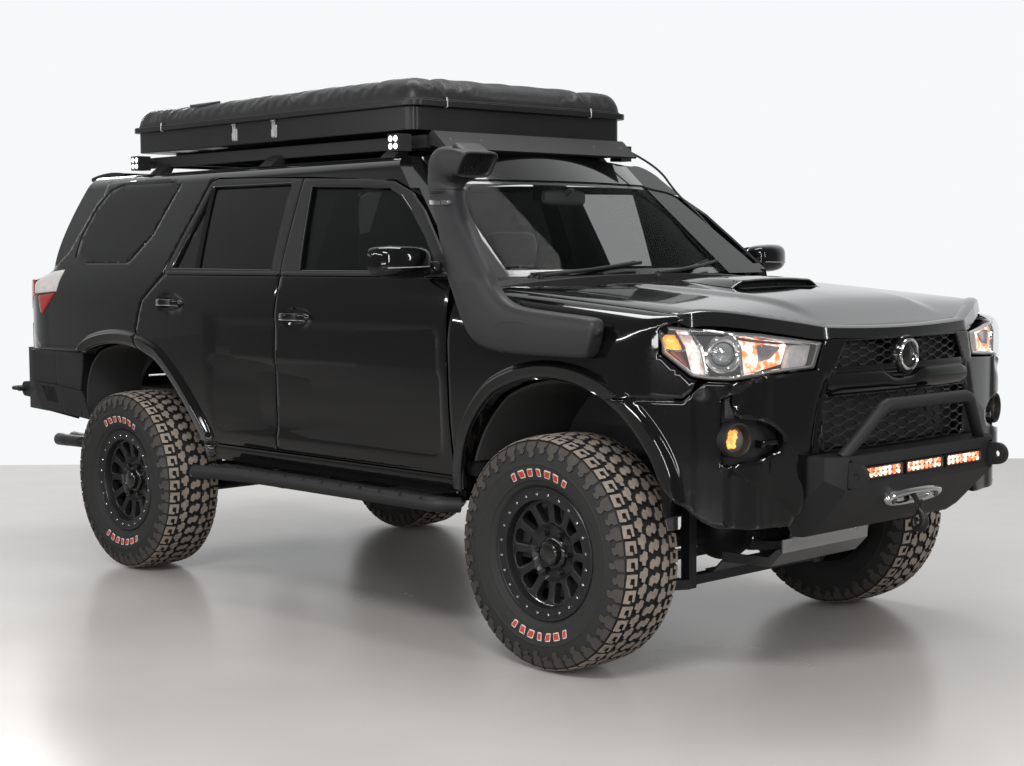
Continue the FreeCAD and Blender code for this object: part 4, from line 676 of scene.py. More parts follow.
class CadFinishes:
    """Gives every CAD node its finish."""

    def dress(self) -> None:
        """Set each node's material from its slot in the record."""
        slots = {row["node"]: row["material_slot"] for row in frame["record"]["subparts"]}
        for name, node in frame["nodes"].items():
            finish = HALF_TINT if name.startswith("door_glass_front") else CAD_FINISHES[slots[name]]
            for slot in node.material_slots:
                slot.material = finish.make()


# ---- stage, lights and camera ---------------------------------------------------------------------
@dataclass
class Stage:
    """Pale floor, white surroundings and soft lamps."""

    far: float = 4.25
    near: float = 16.0
    half: float = 22.0
    ambient: float = 0.50

    def build(self) -> None:
        """Make the floor, the world and the lamps."""
        mesh = bpy.data.meshes.new("floor")
        away, along = np.array(AWAY), np.array([AWAY[1], -AWAY[0]])
        corners = [away * a + along * b for a, b in ((-self.near, -self.half), (-self.near, self.half),
                                                     (self.far, self.half), (self.far, -self.half))]
        mesh.from_pydata([(*c, -0.001) for c in corners], [], [(0, 1, 2, 3)])
        floor = bpy.data.objects.new("floor", mesh)
        bpy.context.scene.collection.objects.link(floor)
        shader = Shader("pale_floor")
        cloud = shader.noise(0.8, 5.0)
        path = shader.node("ShaderNodeLightPath")
        seen = shader.out(path, "Is Camera Ray") + shader.out(path, "Is Transmission Ray") \
            + shader.out(path, "Is Glossy Ray") * 0.25
        pale = shader.mix(cloud, (0.48, 0.455, 0.43, 1), (0.61, 0.585, 0.56, 1))
        surface = shader.node("ShaderNodeBsdfPrincipled",
                              Base_Color=shader.mix(seen, (0.20, 0.19, 0.18, 1), pale),
                              Roughness=cloud * 0.2 + 0.14, Specular_IOR_Level=0.5)
        mesh.materials.append(shader.finish(shader.out(surface)))
        self._world()
        self._lamps()

    def _world(self) -> None:
        """White where camera, mirror and glass rays look, softer as a light."""
        world = bpy.data.worlds.new("studio")
        bpy.context.scene.world = world
        world.use_nodes = True
        tree = world.node_tree
        tree.nodes.clear()
        output = tree.nodes.new("ShaderNodeOutputWorld")
        seen = tree.nodes.new("ShaderNodeBackground")
        seen.inputs[0].default_value = (0.93, 0.94, 0.95, 1)
        lit = tree.nodes.new("ShaderNodeBackground")
        lit.inputs[0].default_value = (1, 1, 1, 1)
        path = tree.nodes.new("ShaderNodeLightPath")
        tree.links.new((Sock(tree, path.outputs["Is Glossy Ray"]) * -0.38 + self.ambient).socket,
                       lit.inputs[1])
        mix = tree.nodes.new("ShaderNodeMixShader")
        way = tree.nodes.new("ShaderNodeSeparateXYZ")
        tree.links.new(tree.nodes.new("ShaderNodeTexCoord").outputs["Generated"], way.inputs[0])
        toward = Sock(tree, way.outputs[0]) * AWAY[0] + Sock(tree, way.outputs[1]) * AWAY[1]
        mirrored = toward.above(0.45, 0.5) * 0.75 + 0.025
        rays = Sock(tree, path.outputs["Is Camera Ray"]) + Sock(tree, path.outputs["Is Transmission Ray"]) \
            + Sock(tree, path.outputs["Is Glossy Ray"]) * mirrored
        tree.links.new(rays.socket, mix.inputs[0])
        tree.links.new(lit.outputs[0], mix.inputs[1])
        tree.links.new(seen.outputs[0], mix.inputs[2])
        tree.links.new(mix.outputs[0], output.inputs[0])

    def _lamps(self) -> None:
        """Soft boxes: place, aim, size and power."""
        table = [("key", (4.5, -5.5, 6.0), (0.3, 0.0, 0.9), (3.6, 0.9), 270.0),
                 ("side_strip", (-1.5, -7.5, 3.1), (0.0, 0.0, 0.9), (8.0, 0.16), 120.0),
                 ("corner_strip", (7.2, -4.4, 2.7), (1.8, -0.6, 0.8), (0.14, 3.2), 80.0),
                 ("low_fill", (3.5, -7.0, 0.9), (0.8, -0.8, 0.5), (5.0, 0.22), 55.0),
                 ("top", (-0.4, 0.4, 6.5), (0.0, 0.0, 0.0), (5.5, 1.3), 200.0),
                 ("front", (8.5, 2.2, 3.4), (1.5, 0.0, 0.9), (0.4, 3.5), 95.0),
                 ("rear", (-7.0, 3.0, 4.0), (-1.5, 0.0, 1.0), (4.0, 1.0), 150.0)]
        for name, place, aim, size, power in table:
            data = bpy.data.lights.new(name, "AREA")
            data.shape = "RECTANGLE"
            data.size, data.size_y = size
            data.energy = power
            lamp = bpy.data.objects.new(name, data)
            bpy.context.scene.collection.objects.link(lamp)
            lamp.location = place
            lamp.rotation_euler = (Vector(aim) - Vector(place)).to_track_quat("-Z", "Y").to_euler()


@dataclass
class Camera:
    """Long lens near the right front corner, at about the height of the belt line."""

    place: tuple[float, float, float] = (5.5596 + 0.110, -5.0239, 1.4635)
    azimuth: float = 46.5535
    elevation: float = 4.3989
    roll: float = -0.3774
    lens: float = 59.495

    def build(self) -> None:
        """Make the camera and set it as the scene's.

        The view's axes are worked out from the azimuth, elevation and roll.
        """
        az, el, roll = (math.radians(v) for v in (self.azimuth, self.elevation, self.roll))
        back = Vector((math.sin(az) * math.cos(el), -math.cos(az) * math.cos(el), math.sin(el)))
        right = Vector((math.cos(az), math.sin(az), 0.0))
        up = back.cross(right)
        across = right * math.cos(roll) + up * math.sin(roll)
        upright = up * math.cos(roll) - right * math.sin(roll)
        data = bpy.data.cameras.new("camera")
        data.lens, data.sensor_width = self.lens, 36.0
        data.clip_end = 200.0
        camera = bpy.data.objects.new("camera", data)
        turn = Matrix((across, upright, back)).transposed()
        camera.matrix_world = Matrix.Translation(self.place) @ turn.to_4x4()
        bpy.context.scene.collection.objects.link(camera)
        bpy.context.scene.camera = camera


# ---- the painted body's outside ---------------------------------------------------------------------
def arc3(start: Sequence[float], middle: Sequence[float], end: Sequence[float], count: int = 14) -> Points:
    """Points along the arc through three 2-D points.

    Formula: the centre solves 2 (m - a) . c = m.m - a.a and the same for the end; angles run past the middle.
    """
    a, m, b = (np.asarray(p, float) for p in (start, middle, end))
    centre = np.linalg.solve(2 * np.array([m - a, b - a]), np.array([m @ m - a @ a, b @ b - a @ a]))
    angles = np.unwrap([math.atan2(*(p - centre)[::-1]) for p in (a, m, b)])
    t = np.linspace(angles[0], angles[2], count)
    return centre + np.linalg.norm(a - centre) * np.stack([np.cos(t), np.sin(t)], axis=1)


def outline(start: Sequence[float], *steps: Sequence) -> Points:
    """Outline from a start and steps, each a point for a line or a (middle, end) pair for an arc."""
    out, here = [np.asarray(start, float)[None, :]], start
    for step in steps:
        if isinstance(step[0], (tuple, list)):
            out.append(arc3(here, *step)[1:])
            here = step[1]
        else:
            out.append(np.asarray(step, float)[None, :])
            here = step
    return np.vstack(out)


def rise(low: float, high: float, value: Points) -> Points:
    """Smooth step from 0 at low to 1 at high."""
    t = np.clip((value - low) / (high - low), 0, 1)
    return t * t * (3 - 2 * t)


def least(a: Points, b: Points, soft: float) -> Points:
    """Smaller of two values, rounded where they cross.

    Formula: min(a, b) - h h / (4 soft), with h = max(soft - |a - b|, 0).
    """
    h = np.maximum(soft - np.abs(a - b), 0)
    return np.minimum(a, b) - h * h / (4 * soft)


CABIN_ROWS = ((905, 560), (942, 820), (956, 1090), (951, 1250), (918, 1400), (845, 1592), (765, 1780),
              (732, 1826), (640, 1847))
WING_ROWS = ((905, 560), (942, 820), (954, 1080), (951, 1170), (938, 1240), (912, 1302), (850, 1336),
             (700, 1352), (0, 1374))
FRONT_ARCH = outline((955, 400), (965, 600), ((1023, 790), (1173, 961)), ((1430, 1030), (1697, 983)),
                     ((1838, 868), (1914, 731)), (1965, 400))
REAR_ARCH = outline((-700, 400), (-735, 653), ((-862, 823), (-1072, 999)), ((-1390, 1056), (-1650, 1020)),
                    ((-1755, 945), (-1812, 800)), (-1860, 400))
NOSE_PLAN = outline((1300, 975), (1640, 962), ((1900, 915), (2075, 835)), ((2150, 770), (2180, 660)),
                    ((2232, 340), (2245, 0)))
TAIL_PLAN = outline((-1700, 966), (-2050, 960), ((-2300, 905), (-2440, 790)), ((-2482, 700), (-2500, 600)),
                    ((-2522, 300), (-2530, 0)))
LEAN_PLAN = outline((-1500, 944), (-1950, 930), ((-2190, 840), (-2270, 720)), ((-2326, 360), (-2345, 0)))
WING_FALL = -0.08                # the wing's fall for each millimetre forward of WING_FOOT
WING_FOOT = 1100.0
BELT = 1372.0
ARCH_LIP = 20.0                  # how far the wheel-arch lips stand out
LIP_ROWS = (9, 18, 27, 37, 45, 50, 55, 60, 66, 74)      # distances from an arch's edge
HANDLES = ((-8, 1207), (-950, 1250))


def wing_drop(x: Points) -> Points:
    """How much the wing's section is raised at x; below zero it is lowered."""
    return WING_FALL * (x - WING_FOOT)


class Form:
    """Formulas for the body's outside on its right side, with y below zero."""

    def __init__(self) -> None:
        """Tabulate the cross-sections and plans."""
        self.cabin = spline(CABIN_ROWS, 900)
        self.wing = spline(WING_ROWS, 1200)
        nose = spline(NOSE_PLAN[::-1], 600)
        self.nose = (nose, length_along(nose))
        self.cabin_s = length_along(self.cabin)
        self.wing_s = length_along(self.wing)

    @staticmethod
    def _plan(table: Points, x: Points) -> Points:
        """Half-width that a plan allows at x."""
        order = np.argsort(table[:, 0])
        return np.interp(x, table[order, 0], table[order, 1])

    def relief(self, x: Points, z: Points) -> Points:
        """How far the side stands out of its plain section: arch lips, hollow door sides and handle cups."""
        at = np.stack([x, z], axis=1)
        front, rear = distance_to(at, FRONT_ARCH, False), distance_to(at, REAR_ARCH, False)
        out = np.zeros(len(x))
        for gap in (front, rear):
            band = 1 - rise(46, 66, gap)
            out += ARCH_LIP * band + 3.0 * np.exp(-((gap - 44) / 9) ** 2) - 5.0 * (1 - rise(0, 26, gap))
        near_arch = np.maximum(1 - rise(70, 210, front), 1 - rise(70, 190, rear))
        along = rise(-690, -560, x) * (1 - rise(820, 890, x))
        out -= 7.0 * along * rise(700, 740, z) * (1 - rise(1150, 1225, z)) * (1 - near_arch)
        step = rise(1018, 1004, z) * rise(690, 800, z)
        out -= 9.0 * along * step * (1 - near_arch)
        for cx, cz in HANDLES:
            u, v = (x - cx) / 96.0, (z - cz) / 38.0
            out -= 15.0 * np.clip(1 - (u * u + v * v), 0, 1) ** 0.8
        return out

    def side(self, flat: Points) -> Points:
        """Cabin side over (x, s), s being the length up the section."""
        x, s = flat[:, 0], flat[:, 1]
        y = np.interp(s, self.cabin_s, self.cabin[:, 0])
        z = np.interp(s, self.cabin_s, self.cabin[:, 1])
        lean = self._plan(LEAN_PLAN, x - np.maximum(z - BELT, 0) * 255 / 395)
        tail = self._plan(TAIL_PLAN, x)
        limit = tail + (lean - tail) * rise(1330, 1400, z)
        y = least(y, limit, 14.0) + self.relief(x, z)
        return np.stack([x, -y, z], axis=1)

    def wing_side(self, flat: Points) -> Points:
        """Front wing over (x, s)."""
        x, s = flat[:, 0], flat[:, 1]
        y = np.interp(s, self.wing_s, self.wing[:, 0])
        z = np.interp(s, self.wing_s, self.wing[:, 1]) + wing_drop(x)
        y = least(y, self._plan(NOSE_PLAN, x), 18.0) + self.relief(x, z) * rise(1300, 1240, z)
        return np.stack([x, -y, z], axis=1)

    def cabin_flat(self, points: Outline) -> Points:
        """A side view's (x, z) points as (x, s)."""
        p = dense(points, 60)
        return np.stack([p[:, 0], np.interp(p[:, 1], self.cabin[:, 1], self.cabin_s)], axis=1)

    def wing_flat(self, points: Outline) -> Points:
        """A side view's (x, z) points on the wing as (x, s)."""
        p = dense(points, 60)
        z = p[:, 1] - wing_drop(p[:, 0])
        return np.stack([p[:, 0], np.interp(z, self.wing[:, 1], self.wing_s)], axis=1)

    def arch_rows(self, wing: bool) -> list[Points]:
        """Rows of mesh points round both arches, as (x, s), where the lips bend."""
        rows = []
        table, along = (self.wing, self.wing_s) if wing else (self.cabin, self.cabin_s)
        for arch in (FRONT_ARCH, REAR_ARCH):
            path = even(arch, 150)
            way = np.gradient(path, axis=0)
            way /= np.linalg.norm(way, axis=1)[:, None]
            outwards = -1 if arch is REAR_ARCH else 1
            for off in LIP_ROWS:
                reach = outwards * off
                side = np.array([path[:, 0] - way[:, 1] * reach, path[:, 1] + way[:, 0] * reach])
                z = side[1] - (wing_drop(side[0]) if wing else 0)
                rows.append(np.stack([side[0], np.interp(z, table[:, 1], along)], axis=1))
        return rows

    def side_y(self, x: Points, z: Points) -> Points:
        """Half-width of the cabin side at x and z."""
        s = np.interp(z, self.cabin[:, 1], self.cabin_s)
        return -self.side(np.stack([x, s], axis=1))[:, 1]

    def nose_at(self, flat: Points) -> Points:
        """Front end over (u, z), u being the plan's length from the middle, below zero on the right."""
        table, along = self.nose
        u = np.abs(flat[:, 0])
        x, y = np.interp(u, along, table[:, 0]), np.interp(u, along, table[:, 1])
        z = flat[:, 1]
        s = np.interp(z - wing_drop(x), self.wing[:, 1], self.wing_s)
        section = np.interp(s, self.wing_s, self.wing[:, 0])
        y = least(y, section, 18.0) + self.relief(x, z) * rise(1300, 1240, z) * rise(1000, 1040, x)
        lean = np.maximum(z - 1165, 0) * 0.5
        return np.stack([x - lean, np.where(flat[:, 0] < 0, -y, y), z], axis=1)

    def nose_u(self, y: float) -> float:
        """Plan length at a half-width y on the front."""
        table, along = self.nose
        return float(np.interp(abs(y), table[:, 1], along)) * (1 if y > 0 else -1)

    def top(self, flat: Points) -> Points:
        """Hood over (x, y), with its soft creases."""
        x, y = flat[:, 0], np.abs(flat[:, 1])
        order = np.argsort(self.wing[:, 0])
        z = np.interp(y, self.wing[order, 0], self.wing[order, 1]) + wing_drop(x)
        nose = outline((1500, 1346), (1780, 1322), ((2020, 1274), (2225, 1197)), (2320, 1150))
        z = least(z, np.interp(x, nose[:, 0], nose[:, 1]), 22.0)
        ridge = 470 - 0.10 * (x - 1100)
        z += 12.0 * rise(ridge + 40, ridge - 34, y) * rise(1120, 1420, x) * (1 - rise(1960, 2170, x))
        return np.stack([x, flat[:, 1], z], axis=1)


FORM = Form()


def sunk(base: Callable[[Points], Points], lift: float = 0.0) -> Callable[[Points, Points], Points]:
    """A panel shape from a surface.

    Formula: P(u, v) + (lift - drop) N, N being the unit product of the surface's two slopes by differences.
    """
    def shape(flat: Points, drop: Points) -> Points:
        """The surface's points, pushed in along its normal."""
        h = 1.5
        du = base(flat + [h, 0.0]) - base(flat - [h, 0.0])
        dv = base(flat + [0.0, h]) - base(flat - [0.0, h])
        normal = np.cross(du, dv)
        normal /= np.maximum(np.linalg.norm(normal, axis=1)[:, None], 1e-9)
        return base(flat) + normal * (lift - drop)[:, None]
    return shape


def thick(outline_flat: Points, base: Callable[[Points], Points], depth: float, **options: object) -> Surface:
    """A panel with a plain inner face, so that it can be seen from behind as well."""
    outer = panel(outline_flat, sunk(base), depth=depth, **options)
    inner = panel(outline_flat, sunk(base, -depth - 1.0), depth=0.5, hem=1.0, spacing=60.0,
                  holes=options.get("holes", ()))
    return join([outer, Surface(inner.points, [f[::-1] for f in inner.faces])])


class CopyOfCad:
    """A CAD node's mesh as the inner structure behind new outer panels."""

    @staticmethod
    def points_of(node: str, flat_faces: bool = False) -> tuple[Points, list[list[int]]]:
        """A node's points in millimetres from the wheelbase's middle, and its faces, welded.

        Args:
            node: the CAD node.
            flat_faces: whether triangles in one plane become one face.

        Returns:
            The points and the faces.
        """
        work = bmesh.new()
        work.from_mesh(frame["nodes"][node].data)
        bmesh.ops.remove_doubles(work, verts=work.verts, dist=1e-5)
        if flat_faces:
            bmesh.ops.dissolve_limit(work, angle_limit=math.radians(1.0), verts=work.verts, edges=work.edges)
        points = np.array([v.co[:] for v in work.verts]) / MM - ORIGIN
        faces = [[v.index for v in f.verts] for f in work.faces]
        work.free()
        return points, faces

    @classmethod
    def put(cls, node: str, body: str, slot: str, finish: Finish, press: Callable[[Points], Points]) -> None:
        """Replace a node by its welded copy, pressed in behind the new skin.

        Args:
            node: the CAD node.
            body: its body.
            slot: its material slot.
            finish: its finish.
            press: moves the points that would stand in the skin's way.
        """
        points, faces = cls.points_of(node)
        put(f"{node}_inner", Surface(press(points), faces), body, slot, finish, smooth=25.0, replaces=[node])

    @classmethod
    def soften(cls, node: str, body: str, slot: str, finish: "Finish", bevel: float,
               press: Optional[Callable[[Points], Points]] = None) -> bpy.types.Object:
        """Replace a node by its welded copy with rounded edges.

        Args:
            node: the CAD node.
            body: its body.
            slot: its material slot.
            finish: its finish.
            bevel: width of the rounded edges in millimetres.
            press: moves points to where the real part has them.

        Returns:
            The piece.
        """
        points, faces = cls.points_of(node, flat_faces=True)
        points = points if press is None else press(points)
        return put(f"{node}_rounded", Surface(points, faces), body, slot, finish, bevel=bevel,
                   replaces=[node])


def press_side(points: Points, under: float = 3.5) -> Points:
    """Push points to behind the cabin side's surface, below the roof's rounding."""
    out = points.copy()
    z = np.clip(out[:, 2], 565, 1800)
    limit = FORM.side_y(out[:, 0], z) - under
    over = (np.abs(out[:, 1]) > limit) & (out[:, 2] < 1798)
    out[over, 1] = np.sign(out[over, 1]) * limit[over]
    return out


def press_wing(points: Points, under: float = 3.5) -> Points:
    """Push points to behind the front wing's surface."""
    out = points.copy()
    zz = out[:, 2] - wing_drop(out[:, 0])
    s = np.interp(np.clip(zz, 565, 1334), FORM.wing[:, 1], FORM.wing_s)
    skin = FORM.wing_side(np.stack([out[:, 0], s], axis=1))
    limit = -skin[:, 1] - under
    over = np.abs(out[:, 1]) > limit
    out[over, 1] = np.sign(out[over, 1]) * limit[over]
    top = FORM.top(out[:, :2])[:, 2] - under
    out[:, 2] = np.minimum(out[:, 2], np.maximum(top, 1150))
    lamp = (out[:, 0] > 1925) & (out[:, 2] > 1190)
    out[lamp, 2] = np.minimum(out[lamp, 2], 1196.0)
    return out


FRONT_DOOR = ((914, 648), (914, 1340), (902, 1376), (-148, 1376), (-146, 1345), (-162, 1100), (-196, 648))
FRONT_FRAME = ((900, 1380), (866, 1431), (760, 1530), (649, 1632), (540, 1704), (419, 1746), (200, 1763),
               (-186, 1779), (-150, 1380))
FRONT_GLASS = ((842, 1394), (700, 1532), (579, 1629), (491, 1689), (401, 1723), (200, 1733), (-112, 1744),
               (-22, 1394))
REAR_DOOR = outline((-203, 648), (-169, 1100), (-153, 1345), (-155, 1376), (-1029, 1376), (-1034, 1372),
                    (-1183, 1260), (-1232, 1122), (-1206, 1043), (-1072, 999), ((-862, 823), (-742, 648)))
REAR_FRAME = ((-157, 1380), (-193, 1779), (-500, 1791), (-838, 1799), (-881, 1786), (-924, 1661),
              (-981, 1514), (-1032, 1386), (-1028, 1380))
REAR_GLASS = ((-262, 1761), (-214, 1396), (-985, 1402), (-925, 1560), (-852, 1764))
QUARTER_GLASS = ((-1131, 1779), (-1200, 1797), (-1638, 1800), (-1740, 1774), (-1817, 1684), (-1871, 1548),
                 (-1863, 1462), (-1743, 1427), (-1392, 1427), (-1353, 1437), (-1226, 1553))
QUARTER = outline((-1041, 1382), (-1190, 1258), (-1240, 1122), (-1214, 1046), (-1080, 1005),
                  ((-1390, 1062), (-1650, 1026)), (-1690, 1010), (-2140, 1010), (-2240, 1080), (-2262, 1190),
                  (-2212, 1345), (-2150, 1366), (-2040, 1412), (-1945, 1486), (-1836, 1716), (-1800, 1756),
                  (-1800, 1812), (-1500, 1820), (-850, 1812), (-888, 1792), (-931, 1663), (-988, 1516),
                  (-1041, 1390))


@dataclass
class SidePanels:
    """Doors, rear quarters, sills, their window frames and mouldings, on both sides."""

    hem: float = 4.0
    skin_depth: float = 13.0
    belt_height: float = 17.0

    def build(self) -> None:
        """Make the right side and mirror it."""
        for side, sign in SIDES:
            self._door("front", side, sign, FRONT_DOOR, FRONT_FRAME, FRONT_GLASS)
            self._door("rear", side, sign, REAR_DOOR, REAR_FRAME, REAR_GLASS)
            self._quarter(side, sign)
        for node in ("door_front", "door_rear"):
            for side in ("right", "left"):
                CopyOfCad.put(f"{node}_{side}", f"{node}_{side}", "body_paint", PAINT, press_side)
        CopyOfCad.put("body_sides", "body", "body_paint", PAINT, press_side)

    def _door(self, which: str, side: str, sign: int, skin: Outline, frame_line: Outline,
              glass: Outline) -> None:
        """One door's skin, window frame, seal, moulding and handle."""
        body = f"door_{which}_{side}"
        sheet = panel(FORM.cabin_flat(skin), sunk(FORM.side), self.skin_depth, self.hem, 17.0,
                      lines=FORM.arch_rows(wing=False))
        put(f"{body}_skin", on_side(sheet, sign), body, "body_paint", PAINT)
        ring = panel(FORM.cabin_flat(frame_line), sunk(FORM.side, 0.5), 12.0, 2.5, 15.0,
                     holes=[FORM.cabin_flat(glass)])
        put(f"{body}_window_frame", on_side(ring, sign), body, "trim_black", SATIN)
        seal = self._along(glass, 5.0, 4.0, closed=True)
        put(f"{body}_window_seal", on_side(seal, sign), body, "trim_black", GLOSS_TRIM)
        low, high = (-146, 896) if which == "front" else (-1024, -159)
        belt = self._strip(low, high, 1385.0)
        put(f"{body}_belt_moulding", on_side(belt, sign), body, "trim_black", SATIN)
        if which == "rear":
            bar = self._bar((-858, 1762), (-783, 1400), 11.0)
            put(f"{body}_window_bar", on_side(bar, sign), body, "trim_black", GLOSS_TRIM)
        cx, cz = HANDLES[0] if which == "front" else HANDLES[1]
        self._handle(body, sign, cx, cz)

    def _lifted(self, line: Points, lift: float) -> Points:
        """Side-view points lifted onto the body's surface."""
        y = FORM.side_y(line[:, 0], line[:, 1]) + lift
        return np.stack([line[:, 0], -y, line[:, 1]], axis=1)

    def _along(self, line: Outline, radius: float, sink: float, closed: bool) -> Surface:
        """Round bead along a side-view outline, sunk below the surface."""
        path = dense(line, 18)
        if closed:
            path = np.vstack([path, path[:1]])
        return tube(self._lifted(path, -sink), radius, 8)

    def _strip(self, low: float, high: float, z: float) -> Surface:
        """Raised moulding between two x positions, rounded and tapered at its ends."""
        x = np.linspace(low, high, 60)
        ends = np.minimum(1.0, np.minimum(x - low, high - x) / 14.0 + 0.25)
        half = self.belt_height / 2
        rows = []
        for a in turns(12):
            zz = z + half * ends * math.sin(a)
            y = FORM.side_y(x, zz) + (5.5 * math.cos(a) + 1.0) * ends
            rows.append(np.stack([x, -y, zz], axis=1))
        return rod(rows)

    def _bar(self, top: Sequence[float], low: Sequence[float], half: float) -> Surface:
        """Upright bar that divides the rear window."""
        t = np.linspace(0, 1, 20)[:, None]
        line = np.asarray(top) * (1 - t) + np.asarray(low) * t
        return tube(self._lifted(line, -9.0), half,
                    profile=np.array([[1, 0.5], [-1, 0.5], [-1, -0.5], [1, -0.5]]))

    def _handle(self, body: str, sign: int, cx: float, cz: float) -> None:
        """Bowed grip over its cup, with a bright line.

        Formula: at t from -1 to 1 the grip's middle stands out 22 (1 - t^4) + 6 mm, and its section is an
        ellipse whose axes shrink with the root of (1 - |t|^9).
        """
        t = np.linspace(-1, 1, 41)
        x = cx + 104 * t
        out = 6 + 22 * (1 - t ** 4)
        taper = np.sqrt(np.clip(1 - np.abs(t) ** 9, 0.05, 1))
        base = FORM.side_y(x, np.full_like(x, cz + 34.0)) - 2
        rows = []
        for a in turns(20):
            c, s = math.cos(a), math.sin(a)
            z = cz + 4 + 15.5 * taper * math.copysign(abs(s) ** 0.8, s)
            y = base + out + 8.5 * taper * math.copysign(abs(c) ** 0.8, c)
            rows.append(np.stack([x, -y, z], axis=1))
        grip = rod(rows)
        put(f"{body}_grip", on_side(grip, sign), body, "body_paint", PAINT)
        line = np.stack([x[3:-3], -(base + out + 6.5)[3:-3], np.full(35, cz - 8.5)], axis=1)
        put(f"{body}_grip_line", on_side(tube(line, 2.2, 8), sign), body, "lamp_clear", BRIGHT)

    def _quarter(self, side: str, sign: int) -> None:
        """Rear quarter with its flush window, and the sill."""
        hole = FORM.cabin_flat(QUARTER_GLASS)
        sheet = panel(FORM.cabin_flat(QUARTER), sunk(FORM.side), 12.0, self.hem, 17.0, holes=[hole],
                      lines=FORM.arch_rows(wing=False))
        put(f"quarter_{side}_skin", on_side(sheet, sign), "body", "body_paint", PAINT)
        pane = panel(FORM.cabin_flat(np.asarray(QUARTER_GLASS) * 0.994 + np.array([-9.0, 9.7])),
                     sunk(FORM.side, -0.8), 6.0, 1.5, 26.0)
        put(f"quarter_{side}_window", on_side(pane, sign), "body", "tinted_glass", SMOKED)
        sill = panel(FORM.cabin_flat(((905, 578), (905, 638), (-735, 638), (-722, 578))),
                     sunk(FORM.side, 1.0), 14.0, 9.0, 15.0)
        put(f"sill_{side}_skin", on_side(sill, sign), "body", "body_paint", PAINT)


@dataclass
class FrontWings:
    """Front wings with their arch lips, above the bumper's seam."""

    hem: float = 3.5

    def build(self) -> None:
        """Make both wings and the pressed copy behind them."""
        line = outline((921, 590), (921, 1352), (1066, 1338), (1952, 1264.5), (1996, 1243), (1952, 1233),
                       (1914, 1217), (1909, 1208), (1909, 1133), (1962, 1092), (2008, 1054), (2028, 1050),
                       (2012, 1012), (1985, 990), (1704, 985), ((1430, 1036), (1168, 967)),
                       ((1016, 792), (958, 600)), (957, 590))
        flat = FORM.wing_flat(line)
        flat[:, 1] = np.minimum(flat[:, 1], self._edge(flat[:, 0]))
        sheet = panel(flat, sunk(FORM.wing_side), 12.0, self.hem, 15.0, lines=FORM.arch_rows(wing=True))
        for side, sign in SIDES:
            put(f"front_wing_{side}_skin", on_side(sheet, sign), "body", "body_paint", PAINT)
        CopyOfCad.put("front_fenders", "body", "body_paint", PAINT, press_wing)

    def _edge(self, x: Points) -> Points:
        """Length up the section where the hood's seam runs."""
        y = np.interp(x, [1068, 1952], [861.5, 872.5])
        order = np.argsort(FORM.wing[:, 0])
        return np.interp(y, FORM.wing[order, 0], FORM.wing_s[order])


# ---- wheels ---------------------------------------------------------------------------------------
def inset(loop: Points, distance: float) -> Points:
    """A closed 2-D loop moved inwards by a distance.

    Formula: each corner moves along the mean of its two edge normals, divided by the half angle's cosine.
    """
    area = 0.5 * np.sum(loop[:, 0] * np.roll(loop[:, 1], -1) - np.roll(loop[:, 0], -1) * loop[:, 1])
    edge = np.roll(loop, -1, axis=0) - loop
    edge /= np.maximum(np.linalg.norm(edge, axis=1)[:, None], 1e-9)
    normal = np.stack([-edge[:, 1], edge[:, 0]], axis=1) * (1 if area > 0 else -1)
    mean = normal + np.roll(normal, 1, axis=0)
    length = np.linalg.norm(mean, axis=1)[:, None]
    mean /= np.maximum(length, 1e-9)
    return loop + mean * distance / np.maximum(length / 2, 0.5)


def round_loop(points: Outline, radius: float, steps: int = 4) -> Points:
    """A closed 2-D loop with its corners rounded by parabolas that start a radius from each corner."""
    p = np.asarray(points, float)
    out = []
    for before, corner, after in zip(np.roll(p, 1, axis=0), p, np.roll(p, -1, axis=0)):
        a, b = before - corner, after - corner
        la, lb = np.linalg.norm(a), np.linalg.norm(b)
        reach_a, reach_b = min(radius, la * 0.45), min(radius, lb * 0.45)
        t = np.linspace(0, 1, steps + 1)[:, None]
        start, end = corner + a / la * reach_a, corner + b / lb * reach_b
        out.extend((1 - t) ** 2 * start + 2 * t * (1 - t) * corner + t ** 2 * end)
    return np.array(out)


def circle(radius: float, count: int, centre: Sequence[float] = (0.0, 0.0)) -> Points:
    """Points round a 2-D circle."""
    t = turns(count)
    return np.stack([centre[0] + radius * np.cos(t), centre[1] + radius * np.sin(t)], axis=1)


@dataclass(frozen=True)
class TreadRubber:
    """Tyre rubber whose worn block tops carry dry dust."""

    name: str = "dusty_tread_rubber"
    rubber: tuple[float, float, float] = (0.016, 0.016, 0.016)
    dust: tuple[float, float, float] = (0.50, 0.42, 0.35)

    def make(self) -> bpy.types.Material:
        """Rubber mixed with dust by the mesh's own dust value and two noises."""
        if self.name in bpy.data.materials:
            return bpy.data.materials[self.name]
        shader = Shader(self.name)
        mark = shader.out(shader.node("ShaderNodeAttribute", {"attribute_name": "dust"}), "Fac")
        fine, broad = shader.noise(70.0, 4.0), shader.noise(9.0, 3.0)
        cover = mark * (fine * 0.55 + broad * 0.55 + 0.15)
        rubber = shader.mix(fine, rgba(self.rubber), (0.036, 0.035, 0.034, 1))
        colour = shader.mix(cover, rubber, rgba(self.dust))
        bump = shader.node("ShaderNodeBump", Strength=0.35, Distance=0.0006, Height=shader.noise(420.0, 3.0))
        surface = shader.node("ShaderNodeBsdfPrincipled", Base_Color=colour, Roughness=fine * 0.2 + 0.62,
                              Specular_IOR_Level=0.4, Normal=shader.out(bump))
        return shader.finish(shader.out(surface))


